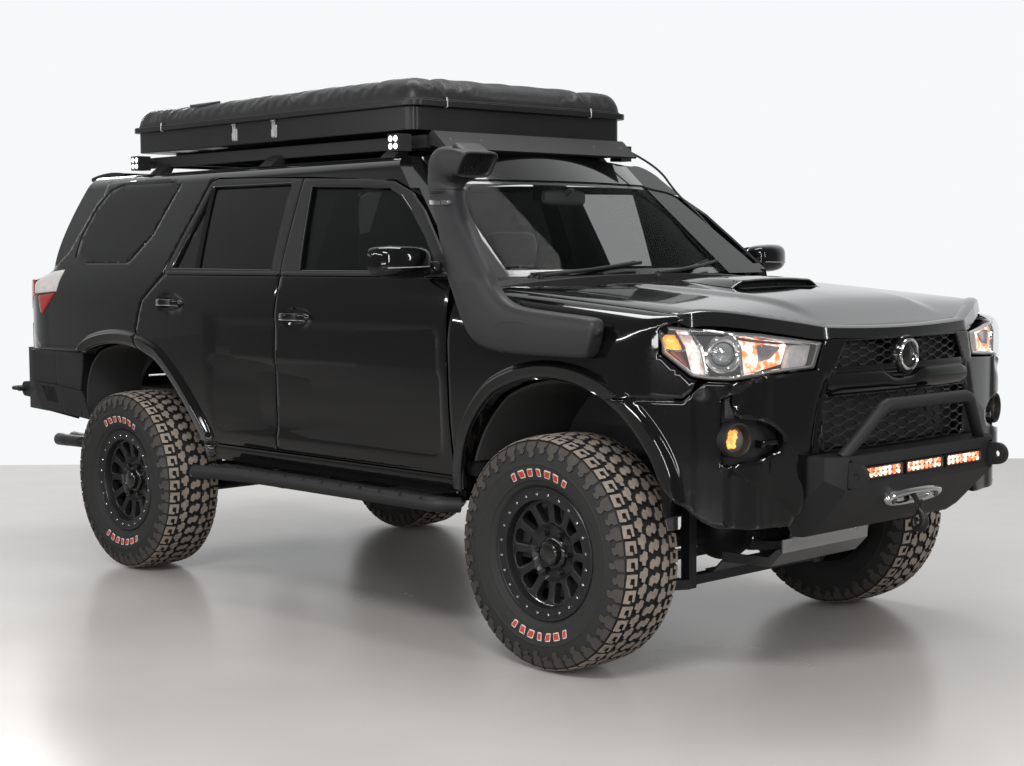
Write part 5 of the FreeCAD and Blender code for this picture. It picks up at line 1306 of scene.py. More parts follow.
TREAD = TreadRubber()
RED_RUBBER = Finish("red_sidewall_print", (0.50, 0.035, 0.018), (0.62, 0.06, 0.03), (0.5, 0.65), 60.0)
WHITE_RUBBER = Finish("white_sidewall_print", (0.60, 0.58, 0.56), (0.75, 0.73, 0.71), (0.5, 0.65), 60.0)
RIM_SATIN = Finish("satin_black_rim", (0.009, 0.009, 0.010), (0.015, 0.015, 0.016), (0.30, 0.40), 14.0,
                   grain=0.05)


@dataclass
class Tyre:
    """All-terrain tyre: a turned carcass with raised tread blocks and shoulder lugs.

    Places on it are (s, q, h): s round the tread, q along the profile from its middle, h off the carcass.
    """

    radius: float = 415.0
    pitches: int = 46
    profile: tuple = ((0, 404), (40, 403.6), (80, 402), (110, 399.5), (124, 394.5), (133, 384), (139.5, 362),
                      (143.5, 335), (144.5, 316), (142, 294), (136, 270), (127, 251), (117, 239), (106, 226))
    centre_block: tuple = ((-27, -17), (-9, -24), (-1, -13), (12, -18), (25, -6), (27, 13), (10, 21), (2, 9),
                           (-13, 15), (-25, 3))
    middle_block: tuple = ((35, -20), (50, -27), (59, -15), (71, -15), (74, 6), (63, 10), (62, 22), (46, 25),
                           (43, 8), (35, 4))
    shoulder_block: tuple = ((81, -22), (123, -24), (125, 20), (102, 23), (99, 12), (112, 8), (110, -9),
                             (95, -8), (93, 18), (82, 17))
    lug: tuple = ((-23, 128), (22, 128), (23, 146), (13, 158), (20, 172), (9, 186), (-12, 184), (-7, 168),
                  (-22, 158), (-25, 144))
    sides: int = 138

    def __post_init__(self) -> None:
        """Tabulate the profile with its normals."""
        half = spline(self.profile, 220)
        self.length = length_along(half)
        slope = np.gradient(half, axis=0)
        slope /= np.linalg.norm(slope, axis=1)[:, None]
        self.half, self.normal = half, np.stack([-slope[:, 1], slope[:, 0]], axis=1)

    def place(self, s: Points, q: Points, h: Points) -> Points:
        """3-D points about the wheel's centre, with the axle along Y and the outer side at -Y."""
        side = np.where(q < 0, 1.0, -1.0)
        a = np.abs(q)
        width = np.interp(a, self.length, self.half[:, 0]) + h * np.interp(a, self.length, self.normal[:, 0])
        r = np.interp(a, self.length, self.half[:, 1]) + h * np.interp(a, self.length, self.normal[:, 1])
        t = s / self.radius
        return np.stack([r * np.sin(t), side * width, r * np.cos(t)], axis=1)

    def carcass(self) -> Surface:
        """The turned body with low rings on its outer wall."""
        q = np.concatenate([np.linspace(0, 120, 8), np.linspace(128, self.length[-1], 52)])
        h = np.zeros_like(q)
        for at, wide, high in ((207, 3.5, 2.2), (262, 3.0, 2.0), (283, 5.0, 1.4)):
            h += high * np.exp(-((q - at) / wide) ** 2)
        q = np.concatenate([-q[::-1], q[1:]])
        h = np.concatenate([h[::-1], h[1:]])
        s = np.linspace(0, 2 * math.pi * self.radius, self.sides, endpoint=False)
        rows = [self.place(s, np.full_like(s, qq), np.full_like(s, hh)) for qq, hh in zip(q, h)]
        return facing_out(grid(np.array(rows), close_v=True))

    def block(self, loop: Points, height: float) -> tuple[Surface, list[float]]:
        """One raised block with chamfered edges.

        Args:
            loop: corners as (q, s).
            height: height off the carcass.

        Returns:
            The block and its points' dust values.
        """
        rings, marks = [], []
        for shape, h, mark in ((loop, -1.5, 0.0), (loop, height - 1.6, 0.0), (inset(loop, 1.1), height, 1.0)):
            rings.append(self.place(shape[:, 1], shape[:, 0], np.full(len(shape), h)))
            marks += [mark] * len(shape)
        surface = grid(np.array(rings), close_v=True)
        surface.faces.append([2 * len(loop) + i for i in range(len(loop))])
        return facing_out(surface), marks

    def lugs(self) -> tuple[Surface, list[float]]:
        """All the tread blocks and the shoulder lugs with their dust values."""
        pitch = 2 * math.pi * self.radius / self.pitches
        scale = pitch / 54.0
        parts, marks = [], []
        rng = np.random.default_rng(7)
        for k in range(self.pitches):
            stretch = scale * (1.0 + 0.05 * math.sin(k * 2.1))
            for side in (1, -1):
                phase = (k + (0.5 if side < 0 else 0.0)) * pitch
                rows = [(self.middle_block, 0.0, 10.8), (self.shoulder_block, 0.28 * pitch, 10.0)]
                if side > 0:
                    rows.append((self.centre_block, 0.4 * pitch, 11.0))
                for corners, shift, height in rows:
                    loop = np.asarray(corners, float) * [side, stretch * side] + [0, phase + shift * side]
                    part, mark = self.block(loop, height)
                    parts.append(part)
                    marks += mark
                reach = 1.0 if k % 2 else 0.72
                lug = np.asarray(self.lug, float)[:, ::-1].copy()
                lug[:, 0] = (128 + (lug[:, 0] - 128) * reach) * side
                lug[:, 1] = lug[:, 1] * stretch * side + phase + 0.28 * pitch * side + rng.uniform(-1, 1)
                part, mark = self.block(lug, 5.2)
                parts.append(part)
                marks += [m * 0.12 for m in mark]
        return join(parts), marks

    def prints(self) -> tuple[Surface, Surface]:
        """Two arcs of plain slanted marks on the outer wall: their white edges and their red faces."""
        white, red = [], []
        for middle in (0.0, math.pi):
            for k in range(7):
                angle = middle + (k - 3) * 0.148
                lean = 3.0 if k % 2 else -3.0
                wide = 16.0 + 3.0 * ((k * 5) % 3)
                loop = np.array([(222, -wide - lean), (222, wide - lean), (252, wide * 0.92 + lean),
                                 (252, -wide * 0.92 + lean)], float)
                loop = round_loop(loop, 6.0, 3) + [0, angle * self.radius]
                white.append(self.block(loop, 1.5)[0])
                red.append(self.block(inset(loop, 3.6), 2.3)[0])
        return join(white), join(red)


@dataclass
class Rim:
    """Black alloy wheel with twelve windows and a ring of small bolts."""

    windows: int = 12
    bolts: int = 24
    nuts: int = 6

    def face(self, flat: Points) -> Points:
        """Spoke face over (x, z), as depth from the wheel's middle plane by radius."""
        r = np.linalg.norm(flat, axis=1)
        depth = np.interp(r, [0, 60, 92, 98, 112, 150, 176, 186], [60, 60, 61, 75, 77, 82, 88, 90])
        return np.stack([flat[:, 0], -depth, flat[:, 1]], axis=1)

    def spokes(self) -> Surface:
        """Dished disc with its windows."""
        holes = []
        for k in range(self.windows):
            turn = 2 * math.pi * (k + 0.5) / self.windows
            near, far = 14.0 / 108.0, 29.0 / 174.0
            mid = 0.5 * (near + far)
            corners = [(108, -near), (108, near), (140, mid), (174, far), (178, 0.0), (174, -far),
                       (140, -mid)]
            loop = np.array([(r * math.sin(turn + a), r * math.cos(turn + a)) for r, a in corners])
            holes.append(round_loop(loop, 13.0, 4))
        return panel(circle(186.0, 96), sunk(self.face), 26.0, 4.5, 13.0, holes=holes)

    def ring(self) -> Surface:
        """Outer ring with its lip."""
        profile = ((-96, 224), (-112, 236), (-119, 237), (-122, 234), (-122.5, 229), (-120, 226), (-120, 196),
                   (-119, 192), (-115, 189.5), (-86, 185), (-86, 192), (-96, 205))
        return lathe(profile, Axis.Y, sides=120)

    def barrel(self) -> Surface:
        """Barrel and inner lip."""
        profile = ((-90, 186), (-60, 190), (60, 196), (104, 214), (116, 236), (118, 232), (108, 208),
                   (60, 190), (-60, 184), (-88, 181))
        return lathe(profile, Axis.Y, sides=72)

    def cap(self) -> Surface:
        """Protruding hub cap with a bare face."""
        profile = ((-58, 0), (-58, 60), (-72, 59), (-76, 55), (-78, 47), (-92, 45), (-97, 42), (-100, 36),
                   (-98, 33), (-99, 30), (-100, 0.5))
        return lathe(profile, Axis.Y, sides=64)

    def studs(self, count: int, radius: float, base: float, head: float, size: float, sides: int) -> Surface:
        """Bolt or nut heads round a circle."""
        parts = []
        profile = ((-base + 3, 0.5), (-base + 3, size), (-base - head * 0.7, size),
                   (-base - head, size * 0.7), (-base - head * 1.02, 0.5))
        for k in range(count):
            t = 2 * math.pi * (k + 0.5) / count
            parts.append(lathe(profile, Axis.Y, (radius * math.sin(t), 0.0, radius * math.cos(t)), sides))
        return join(parts)


@dataclass
class Wheels:
    """Four wheels, each on its own body."""

    tyre: Tyre = field(default_factory=Tyre)
    rim: Rim = field(default_factory=Rim)

    def build(self) -> None:
        """Make one wheel's surfaces and place them at the corners."""
        carcass = self.tyre.carcass()
        lugs, marks = self.tyre.lugs()
        white, red = self.tyre.prints()
        spokes, ring, barrel, cap = self.rim.spokes(), self.rim.ring(), self.rim.barrel(), self.rim.cap()
        bolts = self.rim.studs(self.rim.bolts, 211.0, 120.0, 4.5, 5.2, 10)
        nuts = self.rim.studs(self.rim.nuts, 75.0, 61.0, 20.0, 10.5, 6)
        rows = (("tyre", "carcass", carcass, "tyre_rubber", TREAD),
                ("tyre", "lugs", lugs, "tyre_rubber", TREAD),
                ("tyre", "mark_edges", white, "tyre_rubber", WHITE_RUBBER),
                ("tyre", "marks", red, "tyre_rubber", RED_RUBBER),
                ("rim", "spokes", spokes, "wheel_black", RIM_SATIN),
                ("rim", "ring", ring, "wheel_black", RIM_SATIN),
                ("rim", "barrel", barrel, "wheel_black", GLOSS_TRIM),
                ("rim", "cap", cap, "wheel_black", GLOSS_TRIM),
                ("rim", "bolts", bolts, "wheel_black", BRIGHT),
                ("rim", "nuts", nuts, "wheel_black", GLOSS_TRIM))
        for corner, x, sign in (("front_right", FRONT_AXLE, RIGHT), ("front_left", FRONT_AXLE, LEFT),
                                ("rear_right", REAR_AXLE, RIGHT), ("rear_left", REAR_AXLE, LEFT)):
            for group, name, surface, slot, finish in rows:
                at = on_side(surface.moved(x, -HALF_TRACK, TYRE_R), sign)
                hides = [f"{group}_{corner}"] if name in ("carcass", "spokes") else []
                piece = put(f"{group}_{corner}_{name}", at, f"wheel_{corner}", slot, finish, replaces=hides)
                if name == "lugs":
                    layer = piece.data.attributes.new("dust", "FLOAT", "POINT")
                    layer.data.foreach_set("value", marks)


# ---- front end ------------------------------------------------------------------------------------
def u_of_x(x: float) -> float:
    """Plan length on the right front corner at x."""
    table, along = FORM.nose
    return -float(np.interp(-x, -table[:, 0], along))


def nose_line(points: Sequence[Sequence[float]]) -> Points:
    """(y, z) points, or (x, z) ones with x above 1200, as (u, z) on the front."""
    out = [(u_of_x(p[0]) if p[0] > 1200 else FORM.nose_u(p[0]), p[1]) for p in points]
    return np.array(out)


def both(loop: Points) -> Points:
    """A right half loop from the middle's top to the middle's bottom, closed with its mirror image."""
    return np.vstack([loop, loop[::-1] * [-1, 1]])


LAMP = ((1917, 1135), (1917, 1210), (1950, 1227), (-700, 1202), (-446, 1166), (-482, 1076), (-590, 1071),
        (-700, 1063), (-800, 1048), (2064, 1050), (2013, 1058))
UPPER_GRILLE = ((-331, 1162), (331, 1162), (384, 1078), (-384, 1078))
LOWER_GRILLE = ((-420, 976), (420, 976), (436, 940), (420, 797), (-420, 797), (-436, 940))
DUCT = ((-800, 1004), (-822, 992), (-824, 930), (-822, 778), (-812, 770), (-772, 786), (-706, 794),
        (-634, 816), (-612, 841), (-620, 868), (-660, 898), (-712, 918), (-778, 926), (-794, 940),
        (-797, 966))
FOG_Y, FOG_Z = 783.0, 858.0
GRILLE_EDGE = ((-413, 1056), (-449, 957), (-470, 855), (-481, 673), (-556, 560))
DIAGONAL = ((-812, 772), (-629, 668), (-540, 600))


class FrontFace:
    """The bumper cover's outside with its creases, over (u, z)."""

    def __init__(self) -> None:
        """Keep the crease lines in (u, z)."""
        self.grille = nose_line(LOWER_GRILLE)
        self.edge = nose_line(GRILLE_EDGE)
        self.diagonal = nose_line(DIAGONAL)
        self.slant = nose_line(((-800, 1006), (-745, 1046), (-690, 1062)))

    def sculpt(self, u: Points, z: Points) -> Points:
        """Depth taken off the plain front: grille bevel, lower diagonal, corner facet and slanted step."""
        a = -np.abs(u)
        cut = np.zeros(len(u))
        edge_u = np.interp(z, self.edge[::-1, 1], self.edge[::-1, 0])
        within = a - edge_u
        cut += 15.0 * rise(0, 26, within) * (1 - rise(1040, 1064, z)) * rise(560, 640, z)
        cut += 7.0 * np.exp(-(within / 16) ** 2) * (1 - rise(1030, 1060, z)) * rise(0, 5, -within)
        diagonal_z = np.interp(a, self.diagonal[:, 0], self.diagonal[:, 1])
        below = diagonal_z - z
        cut += 16.0 * rise(0, 16, below) * rise(self.diagonal[0, 0] - 6, self.diagonal[0, 0] + 4, a)
        corner = u_of_x(2013)
        cut += 8.0 * rise(0, 14, a - corner) * (1 - rise(10, 80, a - corner)) * (1 - rise(980, 1040, z))
        slant = self.slant
        off = z - np.interp(a, slant[:, 0], slant[:, 1])
        cut += 9.0 * rise(10, -6, off) * rise(-70, -6, off) * rise(slant[0, 0], slant[0, 0] + 12, a) \
            * (1 - rise(slant[-1, 0] - 30, slant[-1, 0], a))
        return cut

    def at(self, flat: Points) -> Points:
        """The sculpted surface's points."""
        base = FORM.nose_at(flat)
        cut = self.sculpt(flat[:, 0], flat[:, 1])
        h = 2.0
        slope = FORM.nose_at(flat + [h, 0.0]) - FORM.nose_at(flat - [h, 0.0])
        normal = np.stack([slope[:, 1], -slope[:, 0], np.zeros(len(flat))], axis=1)
        normal /= np.maximum(np.linalg.norm(normal, axis=1)[:, None], 1e-9)
        return base - normal * cut[:, None]


FACE = FrontFace()


@dataclass
class Glow:
    """Glowing cells whose glow runs between two colours by noise: lit lamps, and in the headlamp's bowl a
    painted reflection.
    """

    name: str
    low: tuple[float, float, float]
    high: tuple[float, float, float]
    strength: float = 2.5
    scale: float = 45.0

    def make(self) -> bpy.types.Material:
        """Emissive cells under a clear coat."""
        if self.name in bpy.data.materials:
            return bpy.data.materials[self.name]
        shader = Shader(self.name)
        cloud = shader.noise(self.scale, 2.0).above(0.5, 0.18)
        colour = shader.mix(cloud, rgba(self.low), rgba(self.high))
        surface = shader.node("ShaderNodeBsdfPrincipled", Base_Color=colour, Roughness=cloud * 0.1 + 0.1,
                              Emission_Color=colour, Emission_Strength=self.strength, Coat_Weight=0.5)
        return shader.finish(shader.out(surface))


LED_ORANGE = Glow("lit_orange_reflector", (1.0, 0.12, 0.01), (1.0, 0.80, 0.62), 1.5, 40.0)
LED_AMBER = Glow("lit_amber_lens", (1.0, 0.30, 0.01), (1.0, 0.55, 0.08), 1.2, 40.0)
# The headlamp's bowl is no lamp: its orange and white glow is a painted reflection in the chrome.
BOWL_PAINTED_REFLECTION = Glow("warm_lit_bowl", (1.0, 0.20, 0.05), (1.0, 0.86, 0.76), 1.1, 30.0)
LAMP_DARK = Finish("lamp_housing", (0.02, 0.02, 0.022), (0.035, 0.035, 0.037), (0.25, 0.4), 20.0)
LAMP_CHROME = Finish("lamp_chrome", (0.82, 0.82, 0.83), (0.9, 0.9, 0.9), (0.05, 0.12), 30.0, metallic=1.0)
WIRE = Finish("grille_wire", (0.020, 0.020, 0.021), (0.030, 0.030, 0.031), (0.22, 0.32), 14.0, coat=0.3)
DEEP_RED = Finish("deep_red_reflector", (0.12, 0.012, 0.006), (0.2, 0.03, 0.01), (0.15, 0.25), 40.0, coat=0.8)
WHITE_GUIDE = Glow("white_light_guide", (0.55, 0.40, 0.36), (0.95, 0.88, 0.84), 0.55, 35.0)
PROJECTOR = Finish("projector_lens", (0.30, 0.32, 0.34), (0.72, 0.74, 0.76), (0.02, 0.05), 26.0,
                   metallic=0.85, coat=0.8)
GREY_GUIDE = Finish("grey_light_guide", (0.34, 0.33, 0.33), (0.5, 0.48, 0.47), (0.2, 0.35), 40.0, coat=0.4)


@dataclass
class BumperCover:
    """Gloss bumper cover with its corner ducts, fog lights and grille."""

    duct_depth: float = 46.0

    def build(self) -> None:
        """Make the cover and all that is set into it."""
        right = nose_line(((0, 1182), (-398, 1182), (-436, 1172), (-470, 1072), (-586, 1066), (-700, 1063),
                           (-800, 1043), (2056, 1046)))
        seam = [(u_of_x(x), z) for x, z in ((2014, 1008), (1988, 984), (1708, 979))]
        arch = [(u_of_x(x), z) for x, z in outline((1708, 979), ((1838, 868), (1914, 731)), (1936, 690),
                                                   (2000, 628), (2040, 590))[1:]]
        bottom = nose_line(((2085, 572), (-700, 562), (-562, 560), (-522, 640), (-516, 785), (-440, 790),
                            (0, 790)))
        half = np.vstack([right, seam, arch, bottom])
        holes = [nose_line(UPPER_GRILLE), self._lower_hole(), nose_line(DUCT),
                 nose_line(DUCT)[::-1] * [-1, 1]]
        rows = []
        for row in FORM.arch_rows(wing=True)[:10]:
            x = row[:, 0]
            z = np.interp(row[:, 1], FORM.wing_s, FORM.wing[:, 1]) + wing_drop(x)
            near = (x > 1650) & (z < 1010)
            at = np.array([(u_of_x(a), b) for a, b in zip(x[near], z[near])])
            if len(at) > 1:
                rows += [at, at * [-1, 1]]
        for crease in (DIAGONAL, GRILLE_EDGE, ((2013, 1040), (2013, 690))):
            at = even(nose_line(crease), 45)
            step = np.array([0, 1]) if crease is DIAGONAL else np.array([1, 0])
            rows += [(at + step * off) * [side, 1] for off in (-16, -8, 0, 8, 16) for side in (-1, 1)]
        cover = panel(both(half), sunk(FACE.at), 22.0, 4.0, 13.0, holes=holes, lines=rows)
        put("front_cover_skin", cover, "body", "body_paint", PAINT, replaces=["front_bumper_cover"])
        self._inner()
        for side, sign in SIDES:
            self._duct(side, sign)
            self._fog(side, sign)

    def _lower_hole(self) -> Points:
        """The lower grille's opening with rounded corners."""
        return round_loop(nose_line(LOWER_GRILLE), 16.0)

    def _inner(self) -> None:
        """Dark plate behind the cover, so that nothing shows through the grilles."""
        line = both(nose_line(((0, 1176), (-470, 1150), (-560, 1040), (-560, 800), (0, 796))))
        back = panel(line, sunk(FORM.nose_at, -62.0), 4.0, 2.0, 40.0)
        put("grille_back_plate", back, "body", "grille_black", LAMP_DARK)

    def _duct(self, side: str, sign: int) -> None:
        """Sunk pan behind the corner opening, its textured insert and its blade."""
        loop = inset(nose_line(DUCT), -9.0)
        pan = panel(loop, sunk(FORM.nose_at, -self.duct_depth), 3.0, 1.5, 18.0)
        put(f"corner_pan_{side}", on_side(pan, sign), "body", "trim_black", PLASTIC)
        strip = nose_line(((-817, 990), (-796, 1000), (-792, 925), (-817, 925)))
        insert = panel(strip, sunk(FORM.nose_at, -20.0), 20.0, 2.0, 12.0)
        put(f"corner_insert_{side}", on_side(insert, sign), "body", "trim_black", SATIN)
        blade = nose_line(((-700, 852), (-622, 850), (-622, 836), (-700, 828)))
        fin = panel(blade, sunk(FORM.nose_at, -12.0), 30.0, 4.0, 12.0)
        put(f"corner_blade_{side}", on_side(fin, sign), "body", "body_paint", PAINT)

    def _fog(self, side: str, sign: int) -> None:
        """Round pod: black bezel, reflector and four amber lights."""
        def placed(surface: Surface) -> Surface:
            """Turned outwards and set back into the cover."""
            a = math.radians(-14.0)
            turn = np.array([[math.cos(a), -math.sin(a), 0], [math.sin(a), math.cos(a), 0], [0, 0, 1]])
            return on_side(surface.turned(turn).moved(2080.0, -FOG_Y + 14, FOG_Z), sign)

        at = (0.0, 0.0, 0.0)
        bezel = lathe(((0, 57), (50, 59), (58, 56), (60, 51), (56, 47), (22, 41), (6, 41), (0, 46)), Axis.X,
                      at, 56)
        bowl = lathe(((8, 0.5), (8, 37), (22, 41), (20, 43), (2, 43), (2, 0.5)), Axis.X, at, 40)
        put(f"fog_bezel_{side}", placed(bezel), "body", "trim_black", PLASTIC,
            replaces=["fog_lamps"] if sign == RIGHT else [])
        put(f"fog_bowl_{side}", placed(bowl), "body", "trim_black", LAMP_DARK)
        cup = lathe(((12, 0.5), (22, 9.5), (29, 7.5), (31, 0.5)), Axis.X, at, 12)
        dots = [cup.moved(0, dy + (3 if dz > 0 else -3), dz) for dz in (-22, -7, 7, 22) for dy in (-9, 9)]
        put(f"fog_lights_{side}", placed(join(dots)), "body", "lamp_amber", LED_AMBER)
        glass = lathe(((32, 41), (43, 28), (48, 0.5), (45, 0.5), (40, 28), (29, 41)), Axis.X, at, 40)
        put(f"fog_glass_{side}", placed(glass), "body", "lamp_clear", LENS).visible_shadow = False


@dataclass
class Grille:
    """Wavy-bar grille meshes, the gloss bar between them and the bare round disc."""

    depth: float = 8.0
    bar: float = 2.9

    def build(self) -> None:
        """Make both meshes, the bar and the disc."""
        rows = [self._mesh(UPPER_GRILLE, 1073, 9, 14.0, 92.0), self._mesh(LOWER_GRILLE, 790, 12, 16.5, 118.0)]
        put("grille_meshes", join(rows), "body", "grille_black", WIRE, replaces=["grille"])
        self._bar()
        self._disc()

    def _mesh(self, hole: Outline, low: float, count: int, height: float, pitch: float) -> Surface:
        """Bars whose waves touch their neighbours' and leave oval cells.

        Formula: bar k lies at z = low + k h + (-1)^k (h - t) / 2 w(y), w being a cosine clipped to a
        trapezoid.
        """
        loop = np.asarray(hole, float)
        parts = []
        y = np.linspace(loop[:, 0].min() + 2, loop[:, 0].max() - 2, 170)
        for k in range(count * 2):
            z0 = low + k * height
            wave = np.clip(1.75 * np.cos(2 * math.pi * y / pitch), -1, 1) * (1 if k % 2 else -1)
            z = z0 + wave * (height - self.bar) / 2
            good = inside(np.stack([y, z], axis=1), loop)
            if good.sum() < 8:
                continue
            run = np.where(good)[0]
            yy, zz = y[run[0]:run[-1] + 1], z[run[0]:run[-1] + 1]
            u = np.array([FORM.nose_u(v) for v in yy])
            front = FORM.nose_at(np.stack([u, zz], axis=1))
            ring = []
            for dx, dz in ((-14, -1), (-14 - self.depth, -1), (-14 - self.depth, 1), (-14, 1)):
                ring.append(front + np.array([dx, 0, dz * self.bar / 2]))
            parts.append(rod(ring))
        return join(parts)

    def _bar(self) -> None:
        """Gloss bar across the middle with a dip under the disc.

        Formula: half an ellipse in (x, z), whose top falls near the middle and at the ends.
        """
        y = np.linspace(-425, 425, 121)
        dip = 30.0 * np.exp(-(np.abs(y) / 96.0) ** 4)
        end = rise(425, 385, np.abs(y))
        top, low = 1061 - dip - 12 * (1 - end), 979 + 10 * (1 - end)
        u = np.array([FORM.nose_u(v) for v in y])
        rings = []
        for a in np.linspace(-math.pi / 2, math.pi / 2, 15):
            z = (top + low) / 2 + (top - low) / 2 * math.sin(a)
            p = FORM.nose_at(np.stack([u, z], axis=1))
            rings.append(p + np.array([-22.0 + 26.0 * abs(math.cos(a)) ** 0.8, 0, 0]))
        rings.append(rings[-1] + np.array([-26.0, 0, 0]))
        rings.append(rings[0] + np.array([-26.0, 0, 0]))
        bar = rod(rings)
        put("grille_bar", bar, "body", "body_paint", PAINT)

    def _disc(self) -> None:
        """Bare disc in its dark collar."""
        at = (0.0, 0.0, 1104.0)
        collar = lathe(((2190, 70), (2248, 68), (2254, 64), (2254, 60), (2190, 57)), Axis.X, at, 64)
        put("centre_collar", collar, "body", "grille_black", GLOSS_TRIM)
        ring = lathe(((2200, 44), (2200, 58), (2254, 58), (2261, 56), (2263, 51), (2261, 46), (2250, 44)),
                     Axis.X, at, 64)
        put("centre_ring", ring, "body", "grille_black", BRIGHT)
        disc = lathe(((2200, 0.5), (2200, 46), (2250, 46), (2255, 30), (2258, 0.5)), Axis.X, at, 64)
        put("centre_disc", disc, "body", "grille_black", GLOSS_TRIM)


# Plates inside the lamp: name, slot, finish, outline, how far it is sunk, depth and hem.
LAMP_SIDE_PLATES = (
    ("marker", "lamp_amber", AMBER,
     ((1926, 1150), (1926, 1208), (1942, 1215), (1965, 1212), (1968, 1146)), 15.0, 30.0, 2.0),
    ("under_marker", "lamp_red", DEEP_RED,
     ((1934, 1140), (1969, 1138), (2000, 1078), (1994, 1078)), 20.0, 30.0, 2.0),
    ("guide", "lamp_clear", WHITE_GUIDE,
     ((1975, 1211), (2012, 1209), (2044, 1064), (2008, 1070)), 18.0, 30.0, 4.0),
    ("fin", "lamp_clear", LAMP_CHROME,
     ((2022, 1208), (2032, 1207), (2062, 1061), (2050, 1062)), 18.0, 36.0, 4.0),
    ("fin_inner", "lamp_clear", LAMP_CHROME,
     ((-786, 1203), (-778, 1202), (-764, 1070), (-774, 1066)), 20.0, 30.0, 3.0),
)
LAMP_FRONT_PLATES = (
    ("shield", "lamp_clear", LAMP_DARK,
     ((2020, 1208), (-770, 1196), (-764, 1072), (2058, 1062)), 56.0, 12.0, 4.0),
    # The bowl's glow is a painted reflection, not a lit lamp.
    ("bowl", "lamp_amber", BOWL_PAINTED_REFLECTION,
     ((-768, 1194), (-640, 1181), (-570, 1166), (-596, 1094), (-690, 1074), (-762, 1070)), 34.0, 24.0, 8.0),
    ("bowl_inner", "lamp_clear", LAMP_CHROME,
     ((-716, 1168), (-600, 1152), (-650, 1112), (-700, 1104)), 30.0, 14.0, 4.0),
    ("strip", "lamp_clear", LAMP_CHROME,
     ((-842, 1219), (-470, 1170), (-478, 1163), (-842, 1211)), 12.0, 12.0, 2.5),
    ("tip", "lamp_clear", GREY_GUIDE,
     ((-566, 1156), (-474, 1158), (-496, 1086), (-590, 1082)), 26.0, 16.0, 4.0),
    ("sill", "lamp_clear", LAMP_CHROME,
     ((-790, 1068), (-500, 1086), (-500, 1081), (-790, 1060)), 14.0, 14.0, 2.0),
)


@dataclass
class Headlamps:
    """Angular lamps: clear cover, bright line, projector, marker and an inner bowl whose reflections are
    painted in as glow.
    """

    def build(self) -> None:
        """Make the right lamp and mirror it."""
        for side, sign in SIDES:
            for name, surface, slot, finish in self._pieces():
                piece = put(f"headlamp_{side}_{name}", on_side(surface, sign), "body", slot, finish,
                            replaces=["headlights"] if (name == "cover" and sign == RIGHT) else [])
                if name == "cover":
                    piece.visible_shadow = False

    def _plates(self, rows: Sequence[tuple]) -> list[tuple[str, Surface, str, Union[Finish, Glow]]]:
        """Plates over outlines on the nose, sunk below the lamp's surface."""
        return [(name, panel(nose_line(points), sunk(FORM.nose_at, -sink), depth, hem, 14.0), slot, finish)
                for name, slot, finish, points, sink, depth, hem in rows]

    def _pieces(self) -> list[tuple[str, Surface, str, Union[Finish, Glow]]]:
        """Name, surface, slot and finish of each piece of the right lamp."""
        loop = inset(round_loop(nose_line(LAMP), 9.0), 2.0)
        cover = panel(loop, sunk(FORM.nose_at, 0.5), 10.0, 5.0, 14.0)
        edge = np.vstack([inset(loop, 9.0), inset(loop, 9.0)[:1]])
        line = tube(sunk(FORM.nose_at)(edge, np.full(len(edge), 7.0)), 4.2, 8)
        back = panel(inset(loop, 4.0), sunk(FORM.nose_at, -74.0), 4.0, 2.0, 24.0)
        wall_low = sunk(FORM.nose_at)(inset(loop, 4.0), np.full(len(loop), 12.0))
        wall_deep = sunk(FORM.nose_at)(inset(loop, 4.0), np.full(len(loop), 74.0))
        wall = grid(np.array([wall_low, wall_deep]), close_v=True)
        centre = sunk(FORM.nose_at)(nose_line(((-825, 1134),)), np.array([44.0]))[0]
        axis = np.array([0.80, -0.60, 0.0])
        ring = self._turned(((0, 50), (18, 62), (26, 62), (28, 56), (20, 50), (24, 46), (22, 41), (0, 39)),
                            centre, axis)
        lens = self._turned(((0, 0.5), (0, 38), (14, 36), (26, 24), (31, 0.5)), centre, axis)
        return [("cover", cover, "lamp_clear", LENS), ("edge", line, "lamp_clear", LAMP_CHROME),
                ("back", back, "lamp_clear", LAMP_DARK), ("wall", wall, "lamp_clear", LAMP_DARK),
                *self._plates(LAMP_SIDE_PLATES),
                ("projector_ring", ring, "lamp_clear", LAMP_CHROME),
                ("projector", lens, "lamp_clear", PROJECTOR),
                *self._plates(LAMP_FRONT_PLATES)]

    def _turned(self, profile: Outline, centre: Points, axis: Points) -> Surface:
        """A turned piece that points along an axis in the ground plane."""
        turn = math.atan2(axis[1], axis[0])
        matrix = np.array([[math.cos(turn), -math.sin(turn), 0], [math.sin(turn), math.cos(turn), 0],
                           [0, 0, 1]])
        return lathe(profile, Axis.X, sides=40).turned(matrix).moved(*centre)


